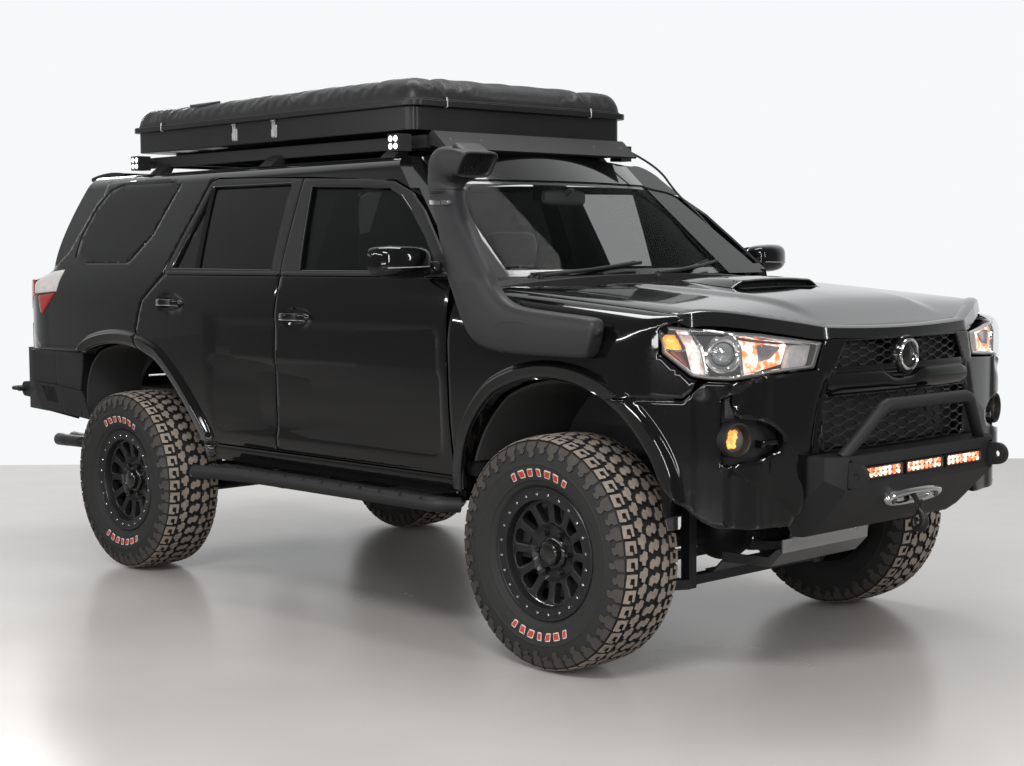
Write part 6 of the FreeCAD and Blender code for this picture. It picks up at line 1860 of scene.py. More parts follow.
@dataclass
class Hood:
    """Hood with its creases, the air scoop and the dark deflector along its front edge."""

    half: tuple = ((1078, -856), (1500, -862), (1950, -867))

    def build(self) -> None:
        """Make the panel, its underside, the scoop and the deflector."""
        front = outline((1950, -867), (2194, -404), ((2214, 0), (2194, 404)), (1950, 867))
        loop = np.vstack([np.array(self.half[:2]), front, np.array(self.half[:2])[::-1] * [1, -1]])
        sheet = panel(loop, sunk(FORM.top), 22.0, 5.0, 20.0)
        put("hood_skin", sheet, "hood", "body_paint", PAINT)
        CopyOfCad.put("hood", "hood", "body_paint", PAINT, self._press)
        self._scoop()
        self._deflector()

    def _press(self, points: Points) -> Points:
        """Push the copy to below the new skin and inside its edge."""
        out = points.copy()
        out[:, 0] = np.minimum(out[:, 0], np.interp(np.abs(out[:, 1]), [0, 404, 867], [2206, 2186, 1944]))
        out[:, 1] = np.clip(out[:, 1], -861, 861)
        out[:, 2] = np.minimum(out[:, 2], FORM.top(out[:, :2])[:, 2] - 4.0)
        return out

    def _scoop(self) -> None:
        """Raised scoop: a lid that swells from the hood, open at the front with a mesh.

        Formula: over (t, v) the lid's height above the hood is h(t) (1 - |v|^5) and a soft ridge at
        |v| = 0.8, t running forward and v across, from -1 to 1.
        """
        t = np.linspace(0, 1, 40)
        v = np.linspace(-1, 1, 49)
        x = 1235 + t * 455
        width = 150 + 102 * rise(0, 1, t) ** 0.8
        grid_x = np.repeat(x[:, None], len(v), axis=1)
        bow = -10.0 * v ** 2
        grid_x = grid_x + bow[None, :] * t[:, None]
        y = width[:, None] * v[None, :]
        hood = FORM.top(np.stack([grid_x.ravel(), y.ravel()], axis=1))[:, 2].reshape(grid_x.shape)
        swell = rise(0, 0.9, t)[:, None] * 29.0
        ridge = 5.0 * np.exp(-((np.abs(v) - 0.8) / 0.12) ** 2) * t[:, None]
        z = hood + 1.5 + swell * (1 - np.abs(v[None, :]) ** 5) + ridge
        top = np.stack([grid_x, y, z], axis=-1)
        lip = top[-1] + np.array([4.0, 0, -5.0])
        under = np.stack([lip[:, 0] - 6, lip[:, 1] * 0.985, np.maximum(lip[:, 2] - 8, hood[-1] + 1)], axis=1)
        back = np.stack([under[:, 0] - 70, under[:, 1], np.maximum(under[:, 2] - 4, hood[-1] + 2)], axis=1)
        rows = np.concatenate([top, lip[None], under[None], back[None]])
        put("scoop_lid", grid(rows), "hood", "body_paint", PAINT, smooth=50)
        floor_x = np.linspace(1640, 1716, 6)
        fx, fy = np.meshgrid(floor_x, np.linspace(-228, 228, 25), indexing="ij")
        fz = FORM.top(np.stack([fx.ravel(), fy.ravel()], axis=1))[:, 2].reshape(fx.shape) + 1.2
        put("scoop_floor", grid(np.stack([fx, fy, fz], axis=-1)), "hood", "trim_black", PLASTIC)
        parts = []
        for k in range(31):
            yy = -210 + 14 * k
            lean = 6.0 if k % 2 else -6.0
            low = FORM.top(np.array([[1668.0, yy]]))[0, 2]
            parts.append(tube(np.array([[1672, yy - lean, low], [1668, yy + lean, low + 25]]), 1.4, 6))
        for level in (7, 14, 21):
            y_line = np.linspace(-214, 214, 21)
            base = FORM.top(np.stack([np.full(21, 1670.0), y_line], axis=1))[:, 2]
            parts.append(tube(np.stack([np.full(21, 1670.0), y_line, base + level], axis=1), 1.6, 6))
        put("scoop_mesh", join(parts), "hood", "trim_black", SATIN)
        wall = [(1652, y, 0) for y in np.linspace(-216, 216, 25)]
        base = FORM.top(np.array(wall)[:, :2])[:, 2]
        dark = np.array([[(p[0], p[1], b - 4) for p, b in zip(wall, base)],
                         [(p[0], p[1], b + 25) for p, b in zip(wall, base)]])
        put("scoop_back", grid(dark), "hood", "trim_black", LAMP_DARK)

    def _deflector(self) -> None:
        """Smoked deflector: an overhanging strip that is carried along the hood's front edge."""
        path = outline((1958, -874), (1990, -850), (2100, -640), (2200, -414), ((2222, 0), (2200, 414)),
                       (2100, 640), (1990, 850), (1958, 874))
        path = even(round_corners(np.column_stack([path, np.zeros(len(path))]), 60, 8), 150)[:, :2]
        along = np.gradient(path, axis=0)
        along /= np.linalg.norm(along, axis=1)[:, None]
        normal = np.stack([along[:, 1], -along[:, 0]], axis=1)
        edge = FORM.top(path)[:, 2]
        gap = np.minimum(np.arange(150), np.arange(150)[::-1])
        size = np.clip(0.5 + gap / 6.0, 0, 1)
        middle = 1 - rise(380, 470, np.abs(path[:, 1]))
        drop = 44.0 - 12.0 * middle
        profile = ((-34, 5, 0), (-16, 10, 0), (2, 9, 0), (15, 1, 0), (22, -12, 0.5), (24, 0, 1), (20, 1, 1),
                   (17, -12, 0.5), (10, -2, 0), (0, 5, 0), (-16, 6, 0), (-34, 2, 0))
        rings = []
        for out, up, hang in profile:
            z = edge + up * size - hang * drop * size
            xy = path + normal * (out * size)[:, None]
            rings.append(np.column_stack([xy, z]))
        strip = rod(rings)
        put("hood_deflector", strip, "hood", "body_paint", GLOSS_TRIM, smooth=40)


# ---- air intake ---------------------------------------------------------------------------------------
def between(rail_a: Outline, rail_b: Outline, centre: Callable[[Points], Points],
            half: Callable[[Points], Points], power: Callable[[Points], Points], count: int = 70,
            sides: int = 44) -> Points:
    """Rings of a duct whose side view runs between two rails.

    Formula: at t, with A(t) and B(t) on the rails, a ring's point is (A + B) / 2 + c (A - B) / 2 in the side
    view and y(z) + s d(t) across, where c and s are the cosine and sine raised to 2 / n(t).

    Args:
        rail_a: side-view points of one edge.
        rail_b: side-view points of the other edge.
        centre: middle's y over height.
        half: half-thickness over t.
        power: roundness n over t, 2 for an ellipse.
        count: rings.
        sides: points in a ring.

    Returns:
        Points as rings by sides by 3.
    """
    a, b = spline(rail_a, count), spline(rail_b, count)
    t = np.linspace(0, 1, count)[:, None]
    angle = turns(sides)[None, :]
    c, s = squarish(angle, 2 / power(t))
    middle, reach = (a + b) / 2, (a - b) / 2
    x = middle[:, 0:1] + c * reach[:, 0:1]
    z = middle[:, 1:2] + c * reach[:, 1:2]
    y = centre(z) + s * half(t)
    return np.stack([x, y, z], axis=-1)


@dataclass
class Snorkel:
    """Moulded intake: duct along the wing and up the post, clamp band, and a forward-facing head."""

    front_rail: tuple = ((1714, 1212), (1700, 1240), (1660, 1250), (1488, 1263), (1344, 1277), (1262, 1302),
                         (1208, 1346), (1165, 1402), (1099, 1475), (1035, 1544), (965, 1614), (922, 1672),
                         (908, 1700))
    rear_rail: tuple = ((1700, 1188), (1682, 1140), (1652, 1112), (1486, 1110), (1343, 1112), (1208, 1121),
                        (1110, 1150), (1052, 1215), (1012, 1290), (975, 1360), (907, 1475), (863, 1544),
                        (819, 1614), (776, 1670), (762, 1700))
    head_front: tuple = ((908, 1690), (912, 1712), (925, 1734), (951, 1745))
    head_rear: tuple = ((764, 1690), (748, 1720), (741, 1765), (760, 1818), (830, 1852), (925, 1850),
                        (1006, 1832))
    centre_y: tuple = ((1100, -976), (1200, -978), (1290, -974), (1370, -968), (1500, -935), (1680, -880),
                       (1760, -862), (1900, -860))
    oval: tuple = (1326, 1196)        # middle of the bare oval, as (x, z)
    neck: tuple = (846, -887, 1648)   # middle of the clamp

    def build(self) -> None:
        """Make the duct, its pad, the band and the head with its mesh."""
        rings = between(self.front_rail, self.rear_rail, self._middle, self._depth,
                        lambda t: 3.4 - 1.0 * rise(0.6, 1, t), 120, 48)
        nose = rings[0].mean(axis=0)
        tips = [nose + (rings[0] - nose) * size + np.array([ahead, 0, 0])
                for size, ahead in ((0.02, 9.0), (0.5, 8.0), (0.84, 4.0))]
        duct = facing_out(grid(np.concatenate([np.array(tips), rings]), close_v=True, caps=True))
        put("snorkel_duct", duct, "body", "snorkel_plastic", MOULDING, smooth=60, replaces=["snorkel"])
        self._pad()
        self._band()
        self._head()

    def _middle(self, z: Points) -> Points:
        """Middle's y over height."""
        table = np.asarray(self.centre_y, float)
        return np.interp(z, table[:, 0], table[:, 1])

    def _depth(self, t: Points) -> Points:
        """Half-thickness along the duct, rounded at its front end."""
        tip = np.where(t < 0.05, np.clip(1 - (1 - t / 0.05) ** 2, 0.12, 1), 1.0)
        return (36 + 10 * rise(0.45, 0.8, t)) * np.sqrt(tip)

    def _pad(self) -> None:
        """Bare oval with a raised line round it on the duct's outer face."""
        angle = np.linspace(0, 2 * math.pi, 73)
        across, up = np.cos(angle), np.sin(angle)
        x, z = self.oval
        line = np.stack([x + 104 * across, np.full_like(angle, -1011.5), z + 31 * up], axis=1)
        put("snorkel_oval", tube(line, 2.6, 8), "body", "snorkel_plastic", MOULDING)
        loop = np.stack([x + 92 * across[:-1], z + 23 * up[:-1]], axis=1)
        plate = panel(loop, lambda p, drop: np.stack([p[:, 0], -1013.0 + drop, p[:, 1]], axis=1), 6.0, 3.0,
                      12.0)
        put("snorkel_pad", plate, "body", "snorkel_plastic", MOULDING)

    def _band(self) -> None:
        """Steel clamp with its screw, round the neck."""
        angle = np.linspace(0, 2 * math.pi, 49)
        across, out = np.cos(angle[:-1]), np.sin(angle[:-1])
        x, y, z = self.neck
        rows = []
        for level, grow in ((1640, 0.0), (1640, 2.2), (1656, 2.2), (1656, 0.0)):
            rows.append(np.stack([x - (level - z) * 0.55 + (79 + grow) * across,
                                  y + (level - z) * 0.25 + (49 + grow) * out, level - 6.0 * across], axis=1))
        put("snorkel_clamp", facing_out(grid(np.array(rows), close_u=True, close_v=True)), "body",
            "cast_metal", BRIGHT)
        screw = join([box((884, 916), (-944, -930), (1640, 1656)),
                      lathe(((912, 0.5), (912, 6), (926, 6), (926, 0.5)), Axis.X, (0, -938, 1648), 12)])
        put("snorkel_clamp_screw", screw, "body", "cast_metal", BRIGHT, bevel=1.5)
        ribs = []
        for level in (1672, 1684, 1696):
            x0 = 838 - (level - 1672) * 0.1
            run = np.stack([x0 + 75 * np.cos(angle), -874 + 53 * np.sin(angle), np.full(49, level)], axis=1)
            ribs.append(tube(run, 3.0, 6))
        put("snorkel_collar_ribs", join(ribs), "body", "snorkel_plastic", PLASTIC)

    def _head(self) -> None:
        """Hooded head: outer shell, thick rim, inner wall and crossed mesh."""
        def depth(t: Points) -> Points:
            """Half-width, growing to the mouth."""
            return 52 + 33 * rise(0.1, 0.6, t)

        def round_to_box(t: Points) -> Points:
            """Section power, oval at the neck and a rounded box at the mouth."""
            return 2.2 + 3.2 * rise(0.3, 0.9, t)

        outer = between(self.head_front, self.head_rear, self._middle, depth, round_to_box, 40, 56)
        mouth = outer[-1]
        middle = mouth.mean(axis=0)
        steps = ((1.035, 4.0), (1.03, 12.0), (0.97, 15.0), (0.89, 12.0), (0.87, 0.0), (0.84, -70.0))
        ahead = np.array([0.83, 0.0, -0.56])
        rim = [middle + (mouth - middle) * size + ahead * out for size, out in steps]
        shell = np.concatenate([outer, np.array(rim)])
        put("snorkel_head", grid(shell, close_v=True), "body", "snorkel_plastic", MOULDING, smooth=70)
        back = middle + (mouth - middle) * 0.85 + ahead * -62
        put("snorkel_head_inside", Surface(back, [list(range(len(back)))]), "body", "snorkel_plastic",
            LAMP_DARK)
        low, high = (mouth - middle).min(axis=0), (mouth - middle).max(axis=0)
        wires = []
        for k in range(-7, 8):
            for lean in (-1, 1):
                p = np.array([[k * 24 - lean * 40, -1.0], [k * 24 + lean * 40, 1.0]])
                p[:, 0] = np.clip(p[:, 0], low[1] * 0.9, high[1] * 0.9)
                up = np.array([high[0], 0, high[2]]) * 0.86
                ends = middle + np.outer(p[:, 1], up) + np.outer(p[:, 0], [0, 1, 0])
                wires.append(tube(ends + ahead * 2, 1.3, 6))
        put("snorkel_head_mesh", join(wires), "body", "trim_black", SATIN)


# ---- roof tent and rack -------------------------------------------------------------------------------
@dataclass
class RoofTent:
    """Strapped-down roof tent: rigid tray, soft cover, straps, hooks, latches and the piped edge."""

    rear: float = -1770.0
    front: float = 360.0
    half: float = 640.0
    lip: float = 2080.0
    crown: float = 108.0
    spacing: float = 20.0
    strap_lines: tuple = (("y", -448.0), ("y", 392.0), ("x", -1490.0))
    sim_frames: int = 14
    swell_cap: float = 0.006      # metres

    def build(self) -> None:
        """Make the cover by cloth simulation and dress it."""
        CopyOfCad.soften("tent_base", "body", "tent_shell", TENT_TRAY, 9.0)
        cover = self._cover()
        self._straps()
        self._edge()
        self._latches()
        self._patch()

    def _rim(self, count: int = 400) -> Points:
        """Rounded rectangle of the lip, as (x, y) points set in by 12 mm."""
        inset_by, r = 12.0, 70.0
        x0, x1, y1 = self.rear + inset_by, self.front - inset_by, self.half - inset_by
        line = outline((x0 + r, -y1), (x1 - r, -y1), ((x1 - 0.293 * r, -y1 + 0.293 * r), (x1, -y1 + r)),
                       (x1, y1 - r), ((x1 - 0.293 * r, y1 - 0.293 * r), (x1 - r, y1)), (x0 + r, y1),
                       ((x0 + 0.293 * r, y1 - 0.293 * r), (x0, y1 - r)), (x0, -y1 + r),
                       ((x0 + 0.293 * r, -y1 + 0.293 * r), (x0 + r, -y1)))
        return even(np.vstack([line, line[:1]]), count + 1)[:-1]

    def height(self, x: Points, y: Points) -> Points:
        """Height of the unfilled cover.

        Formula: the lip's height plus a crown times (1 - q^2.6)^0.6 of the distance in from the rim, a little
        higher in the middle and pulled down along the straps.
        """
        at = np.stack([x, y], axis=1)
        gap = distance_to(at, self._rim(160))
        q = np.clip(1 - gap / 96.0, 0, 1)
        rise_up = np.clip(1 - q ** 2.6, 0, 1) ** 0.6
        slope = 0.86 + 0.14 * rise(60, 520, gap) + 0.03 * np.sin((x + 700) / 520.0)
        pull = np.zeros(len(x))
        for kind, place in self.strap_lines:
            off = (y if kind == "y" else x) - place
            pull += 9.0 * np.exp(-(off / 26.0) ** 2)
        return self.lip - 4 + (self.crown * slope * rise_up) - pull * rise(0.15, 0.7, rise_up)

    def _cover(self) -> bpy.types.Object:
        """Cover filled out by simulation between its rim and its straps.

        Formula: the flat sheet's mesh is the triangulated inside of the rim; wrinkles start from sums of
        slanted sines near the rim, and the solver swells and folds them.
        """
        rim = self._rim(330)
        xs = np.arange(self.rear, self.front, self.spacing)
        ys = np.arange(-self.half, self.half, self.spacing)
        mesh_points = np.stack(np.meshgrid(xs, ys + 7), axis=-1).reshape(-1, 2)
        mesh_points[:, 0] += 0.5 * self.spacing * (np.round(mesh_points[:, 1] / self.spacing) % 2)
        mesh_points = mesh_points[inside(mesh_points, rim)]
        mesh_points = mesh_points[distance_to(mesh_points, rim) > 66]
        along = np.roll(rim, -1, axis=0) - np.roll(rim, 1, axis=0)
        inward = np.stack([-along[:, 1], along[:, 0]], axis=1) / np.linalg.norm(along, axis=1)[:, None]
        flat = np.vstack([rim] + [rim + inward * deep for deep in (4, 10, 18, 28, 40, 54)] + [mesh_points])
        edges = [(i, (i + 1) % len(rim)) for i in range(len(rim))]
        verts, _, tris, _, _, _ = delaunay_2d_cdt([Vector(p) for p in flat], edges, [], 1, 1e-3)
        flat = np.array([(v[0], v[1]) for v in verts])
        x, y = flat[:, 0], flat[:, 1]
        z = self.height(x, y)
        gap = distance_to(flat, rim)
        fold = np.exp(-((gap - 75) / 70.0) ** 2)
        z = z + fold * (1.1 * np.sin(0.016 * x + 0.030 * np.abs(y) + 1.7 * np.sin(0.006 * x))
                        + 0.8 * np.sin(0.036 * y + 0.013 * x))
        side = np.abs(y)
        for start, lean in ((-1310, 1.1), (-1080, 0.9), (-800, 1.3), (-560, 1.0), (-240, 1.2), (40, 0.9)):
            off = (x - start) - lean * (self.half - side)
            reach = rise(8, 40, gap) * (1 - rise(120, 260, gap)) * (side > 330)
            z = z + 4.5 * np.exp(-(off / 16.0) ** 2) * reach
        z = z + 2.4 * np.sin(0.006 * x + 0.009 * y) * rise(60, 200, gap)
        z[gap < 2] = self.lip - 6
        surface = Surface(np.column_stack([x, y, z]), [list(t) for t in tris])
        cover = put("tent_soft_cover", surface, "body", "tent_fabric", TENT_CLOTH, smooth=180,
                    replaces=["tent_cover"])
        held = [int(i) for i in np.where((gap < 6) | self._strapped(x, y))[0]]
        self._simulate(cover, held)
        fine = cover.modifiers.new("subdivision", "SUBSURF")
        fine.levels = fine.render_levels = 1
        return cover

    def _strapped(self, x: Points, y: Points) -> np.ndarray:
        """Which points lie under a strap."""
        under = np.zeros(len(x), bool)
        for kind, place in self.strap_lines:
            under |= np.abs((y if kind == "y" else x) - place) < 13
        return under

    def _simulate(self, cover: bpy.types.Object, held: Sequence[int]) -> None:
        """Run Cloth with pressure on the cover, cap how far it moves, and keep the result."""
        group = cover.vertex_groups.new(name="held")
        group.add(list(held), 1.0, "REPLACE")
        cloth = cover.modifiers.new("cloth", "CLOTH")
        settings = cloth.settings
        settings.vertex_group_mass = "held"
        settings.quality = 6
        settings.mass = 0.3
        settings.tension_stiffness = settings.compression_stiffness = 12.0
        settings.bending_stiffness = 0.15
        settings.shrink_min = -0.010
        settings.use_pressure = True
        settings.uniform_pressure_force = 0.5
        settings.effector_weights.gravity = 0.0
        cloth.collision_settings.use_collision = False
        scene = bpy.context.scene
        before = np.array([v.co[:] for v in cover.data.vertices])
        for number in range(1, self.sim_frames + 1):
            scene.frame_set(number)
        graph = bpy.context.evaluated_depsgraph_get()
        after = np.array([v.co[:] for v in cover.evaluated_get(graph).data.vertices])
        scene.frame_set(1)
        cover.modifiers.remove(cloth)
        move = after - before
        far = np.linalg.norm(move, axis=1)
        move *= np.where(far > self.swell_cap, self.swell_cap / np.maximum(far, 1e-9), 1.0)[:, None]
        cover.data.vertices.foreach_set("co", (before + move).astype(np.float32).ravel())
        cover.data.update()

    def _over(self, kind: str, place: float) -> Points:
        """Path of a strap across the cover, from lip to lip."""
        if kind == "y":
            run = np.linspace(self.rear + 13, self.front - 13, 220)
            x, y = run, np.full_like(run, place)
        else:
            run = np.linspace(-self.half + 13, self.half - 13, 150)
            x, y = np.full_like(run, place), run
        return np.column_stack([x, y, self.height(x, y) + 3.2])

    def _straps(self) -> None:
        """Webbing straps with ladder buckles and wire hooks at the lip."""
        webs, buckles, hooks = [], [], []
        low_limit = [self.rear + 2, -self.half + 2, 0]
        high_limit = [self.front - 2, self.half - 2, np.inf]
        for kind, place in self.strap_lines:
            path = self._over(kind, place)
            across = np.array([0.0, 13.0, 0.0]) if kind == "y" else np.array([13.0, 0.0, 0.0])
            full = np.vstack([path[:1] + [0, 0, -18], path, path[-1:] + [0, 0, -18]])
            up = np.array([0, 0, 1.4])
            rows = np.stack([full - across, full - across + up, full + across + up, full + across], axis=1)
            webs.append(facing_out(grid(rows, close_v=True, caps=True)))
            for end, back in ((path[0], path[12]), (path[-1], path[-13])):
                way = (end - back) / np.linalg.norm(end - back)
                mid = (end + back) / 2 + [0, 0, 6]
                buckles.append(self._buckle(mid, way, across / 13.0))
                out = np.array([way[0], way[1], 0.0])
                out /= np.linalg.norm(out)
                p = end + out * 9
                hook = round_corners([p + [0, 0, 2], p + out * 6 + [0, 0, -10], p + out * 4 + [0, 0, -34],
                                      p - out * 10 + [0, 0, -38], p - out * 12 + [0, 0, -26]], 8, 6)
                hooks.append(tube(np.clip(hook, low_limit, high_limit), 3.6, 8))
        put("tent_straps", join(webs), "body", "tent_fabric", WEBBING, smooth=40)
        put("tent_strap_buckles", join(buckles), "body", "trim_black", PLASTIC, bevel=2.0)
        put("tent_strap_hooks", join(hooks), "body", "cast_metal", PALE_METAL_AND_HIGHLIGHT)

    def _buckle(self, middle: Points, way: Points, across: Points) -> Surface:
        """Ladder buckle: a frame with two bars, lying along the strap."""
        up = np.cross(way, across)
        up = up if up[2] > 0 else -up
        parts = []
        block = box((-1, 1), (-1, 1), (-1, 1))
        corner_a, corner_b, corner_up = block.points.T
        for a, b, half_a, half_b in ((0, 17, 26, 3.5), (0, -17, 26, 3.5), (24, 0, 4, 18), (-24, 0, 4, 18),
                                     (4, 0, 5, 18)):
            p = (middle + np.outer(corner_a * half_a + a, way) + np.outer(corner_b * half_b + b, across)
                 + np.outer(corner_up * 4.5, up))
            parts.append(facing_out(Surface(p, block.faces)))
        return join(parts)

    def _edge(self) -> None:
        """Piping where the cover meets the lip, and a pale metal strip along part of it that paints the lip's
        highlight.
        """
        rim = self._rim(260)
        loop = np.vstack([rim, rim[:1]])
        piping = np.column_stack([loop * (1 - 3.0 / np.abs(loop).max(axis=0)),
                                  np.full(len(loop), self.lip + 3)])
        put("tent_cover_piping", tube(piping, 4.2, 8), "body", "tent_fabric", WEBBING)
        # The pale strip along the lip is a painted highlight of the lip's edge, not a part of the tent.
        highlight_strips = []
        for out in (-1, 1):
            low, high = sorted((out * (self.half - 5.0), out * (self.half - 0.4)))
            highlight_strips.append(box((-1640, 270), (low, high), (self.lip - 17, self.lip - 9)))
        put("tent_lip_painted_highlight", join(highlight_strips), "body", "aluminium_plate", PALE_METAL_AND_HIGHLIGHT, bevel=1.0)
        plan = ((self.rear + 60, -70), (self.rear + 200, -60), (self.rear + 200, 60), (self.rear + 60, 70))
        block = prism(plan, self.lip + 40, self.lip + 92, "xy")
        put("tent_rear_block", block, "body", "trim_black", PLASTIC, bevel=7.0)
        loose = ((-150, 2072), (-170, 2040), (-130, 2010), (-80, 2006), (-50, 2034), (-62, 2070))
        end = np.array([[self.rear + 10, y, z] for y, z in loose])
        put("tent_rope_loop", tube(spline(end, 40), 4.0, 8), "body", "tent_fabric", WEBBING)

    def _latches(self) -> None:
        """Toggle latches on the tray's sides: base, lever and loop."""
        parts = []
        for x in (-905, -601):
            for s in (-1, 1):
                y = s * (self.half - 24)

                def slab(x0: float, x1: float, deep: float, high: float, z0: float, z1: float) -> Surface:
                    """Plate standing out from the tray's side."""
                    low_y, high_y = sorted((y + s * deep, y + s * high))
                    return box((x + x0, x + x1), (low_y, high_y), (z0, z1))

                parts += [slab(-17, 17, 0, 3, 1976, 2030), slab(-12, 12, 3, 11, 1980, 2012),
                          slab(-9, -5, 3, 9, 2006, 2050), slab(5, 9, 3, 9, 2006, 2050),
                          slab(-14, 14, 3, 12, 2046, 2052)]
        put("tent_latches", join(parts), "body", "cast_metal", PALE_METAL_AND_HIGHLIGHT, bevel=1.4)

    def _patch(self) -> None:
        """Bare oval patches of darker cloth near both rear corners."""
        angle = turns(40)
        for s in (-1, 1):
            loop = np.stack([-1230 + 120 * np.cos(angle), s * 560 + 30 * np.sin(angle)], axis=1)
            sheet = panel(loop, self._on_top, 6.0, 2.0, 12.0)
            put(f"tent_patch_{'right' if s < 0 else 'left'}", sheet, "body", "tent_fabric", WEBBING)

    def _on_top(self, p: Points, drop: Points) -> Points:
        """Points 9 mm above the cover, sunk by their drops."""
        return np.column_stack([p, self.height(p[:, 0], p[:, 1]) + 9.0 - drop])


WEBBING = Finish("strap_webbing", (0.012, 0.012, 0.013), (0.022, 0.022, 0.023), (0.6, 0.75), 70.0, grain=0.5,
                 grain_scale=1000.0)
# Pale zinc for the hooks and latches; the same pale metal paints the tent lip's highlight strip.
PALE_METAL_AND_HIGHLIGHT = Finish("pale_zinc", (0.50, 0.50, 0.51), (0.66, 0.66, 0.67), (0.25, 0.4), 40.0, metallic=0.35)
LED_WHITE = Glow("lit_white_lens", (0.75, 0.78, 0.85), (1.0, 1.0, 1.0), 2.2, 60.0)


@dataclass
class RackTrim:
    """Softened rack with the pods' lit lenses and the fairing's screws."""

    pod_x: tuple = (296.0, -1660.0)

    def build(self) -> None:
        """Round the rack's edges and add its small parts."""
        CopyOfCad.soften("roof_rack", "body", "steel_black", STEEL, 2.5, self._fairing)
        cup = lathe(((0, 0.5), (0, 12), (2, 12), (3.4, 0.5)), Axis.Y, sides=16)
        lenses = [facing_out(Surface(cup.points * [1, s, 1] + [x + dx, s * 682.8, 1906 + dz], cup.faces))
                  for x in self.pod_x for s in (-1, 1) for dx in (-16, 16) for dz in (-15, 15)]
        put("rack_pod_lenses", join(lenses), "body", "lamp_clear", LED_WHITE)
        lean = np.array([[0.77, 0, -0.64], [0, 1, 0], [0.64, 0, 0.77]])
        head = lathe(((0, 0.5), (0, 8), (3, 7), (4, 0.5)), Axis.X, sides=12).turned(lean)
        heads = [head.moved(432, y, 1918) for y in (-500, -330, 330, 500)]
        put("rack_fairing_screws", join(heads), "body", "cast_metal", CAST)

    def _fairing(self, points: Points) -> Points:
        """The rack's points with the fairing's top edge brought down to the deck's line."""
        out = points.copy()
        top = (out[:, 2] > 1990) & (out[:, 0] > 365)
        out[top] += [8.0, 0.0, -44.0]
        return out


@dataclass
class LightCable:
    """Cable from the rack's front down the left windscreen post, on one smooth curve."""

    route: tuple = ((400, 575, 1915), (470, 700, 1850), (520, 775, 1722), (640, 800, 1625), (760, 840, 1480),
                    (850, 872, 1400), (930, 845, 1352), (975, 800, 1330))
    diameter: float = 0.010
    length: float = 0.94

    def build(self) -> None:
        curve = bpy.data.curves.new("lamp_cable", "CURVE")
        curve.dimensions = "3D"
        run = curve.splines.new("NURBS")
        run.points.add(len(self.route) - 1)
        for point, place in zip(run.points, self.route):
            point.co = (*((np.asarray(place, float) + ORIGIN) * MM), 1.0)
        run.order_u = 3
        run.use_endpoint_u = True
        curve.bevel_depth = self.diameter / 2
        curve.bevel_resolution = 4
        curve.resolution_u = 16
        curve.use_fill_caps = True
        cable = bpy.data.objects.new("lamp_cable", curve)
        bpy.context.scene.collection.objects.link(cable)
        curve.materials.append(SHEATH.make())
        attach(cable, "body")
        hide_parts("light_cable")
        start = (np.asarray(self.route[0], float) + ORIGIN) * MM


# ---- mirrors, glass, wipers and cabin -------------------------------------------------------------------
def blob(table: Sequence[Sequence[float]], across: Axis, power: float, sides: int = 40,
         count: int = 36) -> Surface:
    """Closed rounded form through super-elliptic sections.

    Formula: rows (along, centre a, centre b, half a, half b) are splined; a section's point is the centre
    plus the half-widths times cosine and sine raised to 2 / power.

    Args:
        table: section rows.
        across: axis that the sections are stacked along.
        power: roundness of the sections.
        sides: points in a section.
        count: sections.

    Returns:
        The form.
    """
    rows = spline(table, count)
    angle = turns(sides)
    c, s = squarish(angle, 2 / power)
    a = rows[:, 1:2] + rows[:, 3:4] * c
    b = rows[:, 2:3] + rows[:, 4:5] * s
    along = np.repeat(rows[:, 0:1], sides, axis=1)
    order = {Axis.X: (along, a, b), Axis.Y: (a, along, b), Axis.Z: (a, b, along)}[across]
    return facing_out(grid(np.stack(order, axis=-1), close_v=True, caps=True))


@dataclass
class Mirrors:
    """Door mirrors: gloss cap, dark foot, glass and a repeater line."""

    sections: tuple = ((-958, 806, 1430, 30, 34), (-966, 806, 1430, 44, 46), (-985, 806, 1431, 56, 55),
                       (-1030, 804, 1432, 64, 60), (-1080, 799, 1433, 66, 61), (-1130, 790, 1435, 62, 58),
                       (-1165, 778, 1437, 54, 51), (-1179, 768, 1438, 42, 40), (-1184.8, 762, 1438, 22, 24))

    def build(self) -> None:
        """Make both mirrors."""
        shell = blob(self.sections, Axis.Y, 2.9, 56, 60)
        flat = shell.points.copy()
        face_x = 744 + (flat[:, 1] + 1060) * -0.06
        flat[:, 0] = np.maximum(flat[:, 0], face_x)
        shell = Surface(flat, shell.faces)
        rows = np.array(self.sections, float)[1:-1] * [1, 1, 1, 0.86, 0.86]
        glass = blob(rows, Axis.Y, 3.2, 40, 30)
        p = glass.points.copy()
        p[:, 0] = 742.2 + (p[:, 1] + 1060) * -0.06 - 0.6 + 0.9 * (p[:, 0] > p[:, 0].mean())
        glass = Surface(p, glass.faces)
        foot = blob(((1388, 812, -908, 40, 30), (1394, 812, -915, 44, 48), (1412, 812, -930, 42, 56),
                     (1426, 812, -940, 36, 52), (1434, 812, -944, 30, 40)), Axis.Z, 3.0, 32, 20)
        line = np.array([[866 + 2 * math.sin(k), -985 - 17.5 * k, 1416 - 0.4 * k] for k in range(11)], float)
        line[:, 0] = self._front(line[:, 1]) + 0.5
        for side, sign in SIDES:
            body = f"door_front_{side}"

            put(f"mirror_{side}_cap", on_side(shell, sign), body, "body_paint", PAINT, smooth=60,
                replaces=[f"mirror_{side}"])
            put(f"mirror_{side}_glass", on_side(glass, sign), body, "window_glass", BRIGHT, smooth=60)
            put(f"mirror_{side}_foot", on_side(foot, sign), body, "trim_black", GLOSS_TRIM, smooth=60)
            put(f"mirror_{side}_repeater", on_side(tube(line, 2.0, 8), sign), body, "lamp_clear", GREY_GUIDE)

    def _front(self, y: Points) -> Points:
        """Front of the shell at its lower seam."""
        rows = spline(self.sections, 60)
        order = np.argsort(rows[:, 0])
        return np.interp(y, rows[order, 0], (rows[:, 1] + rows[:, 3] * 0.985)[order])


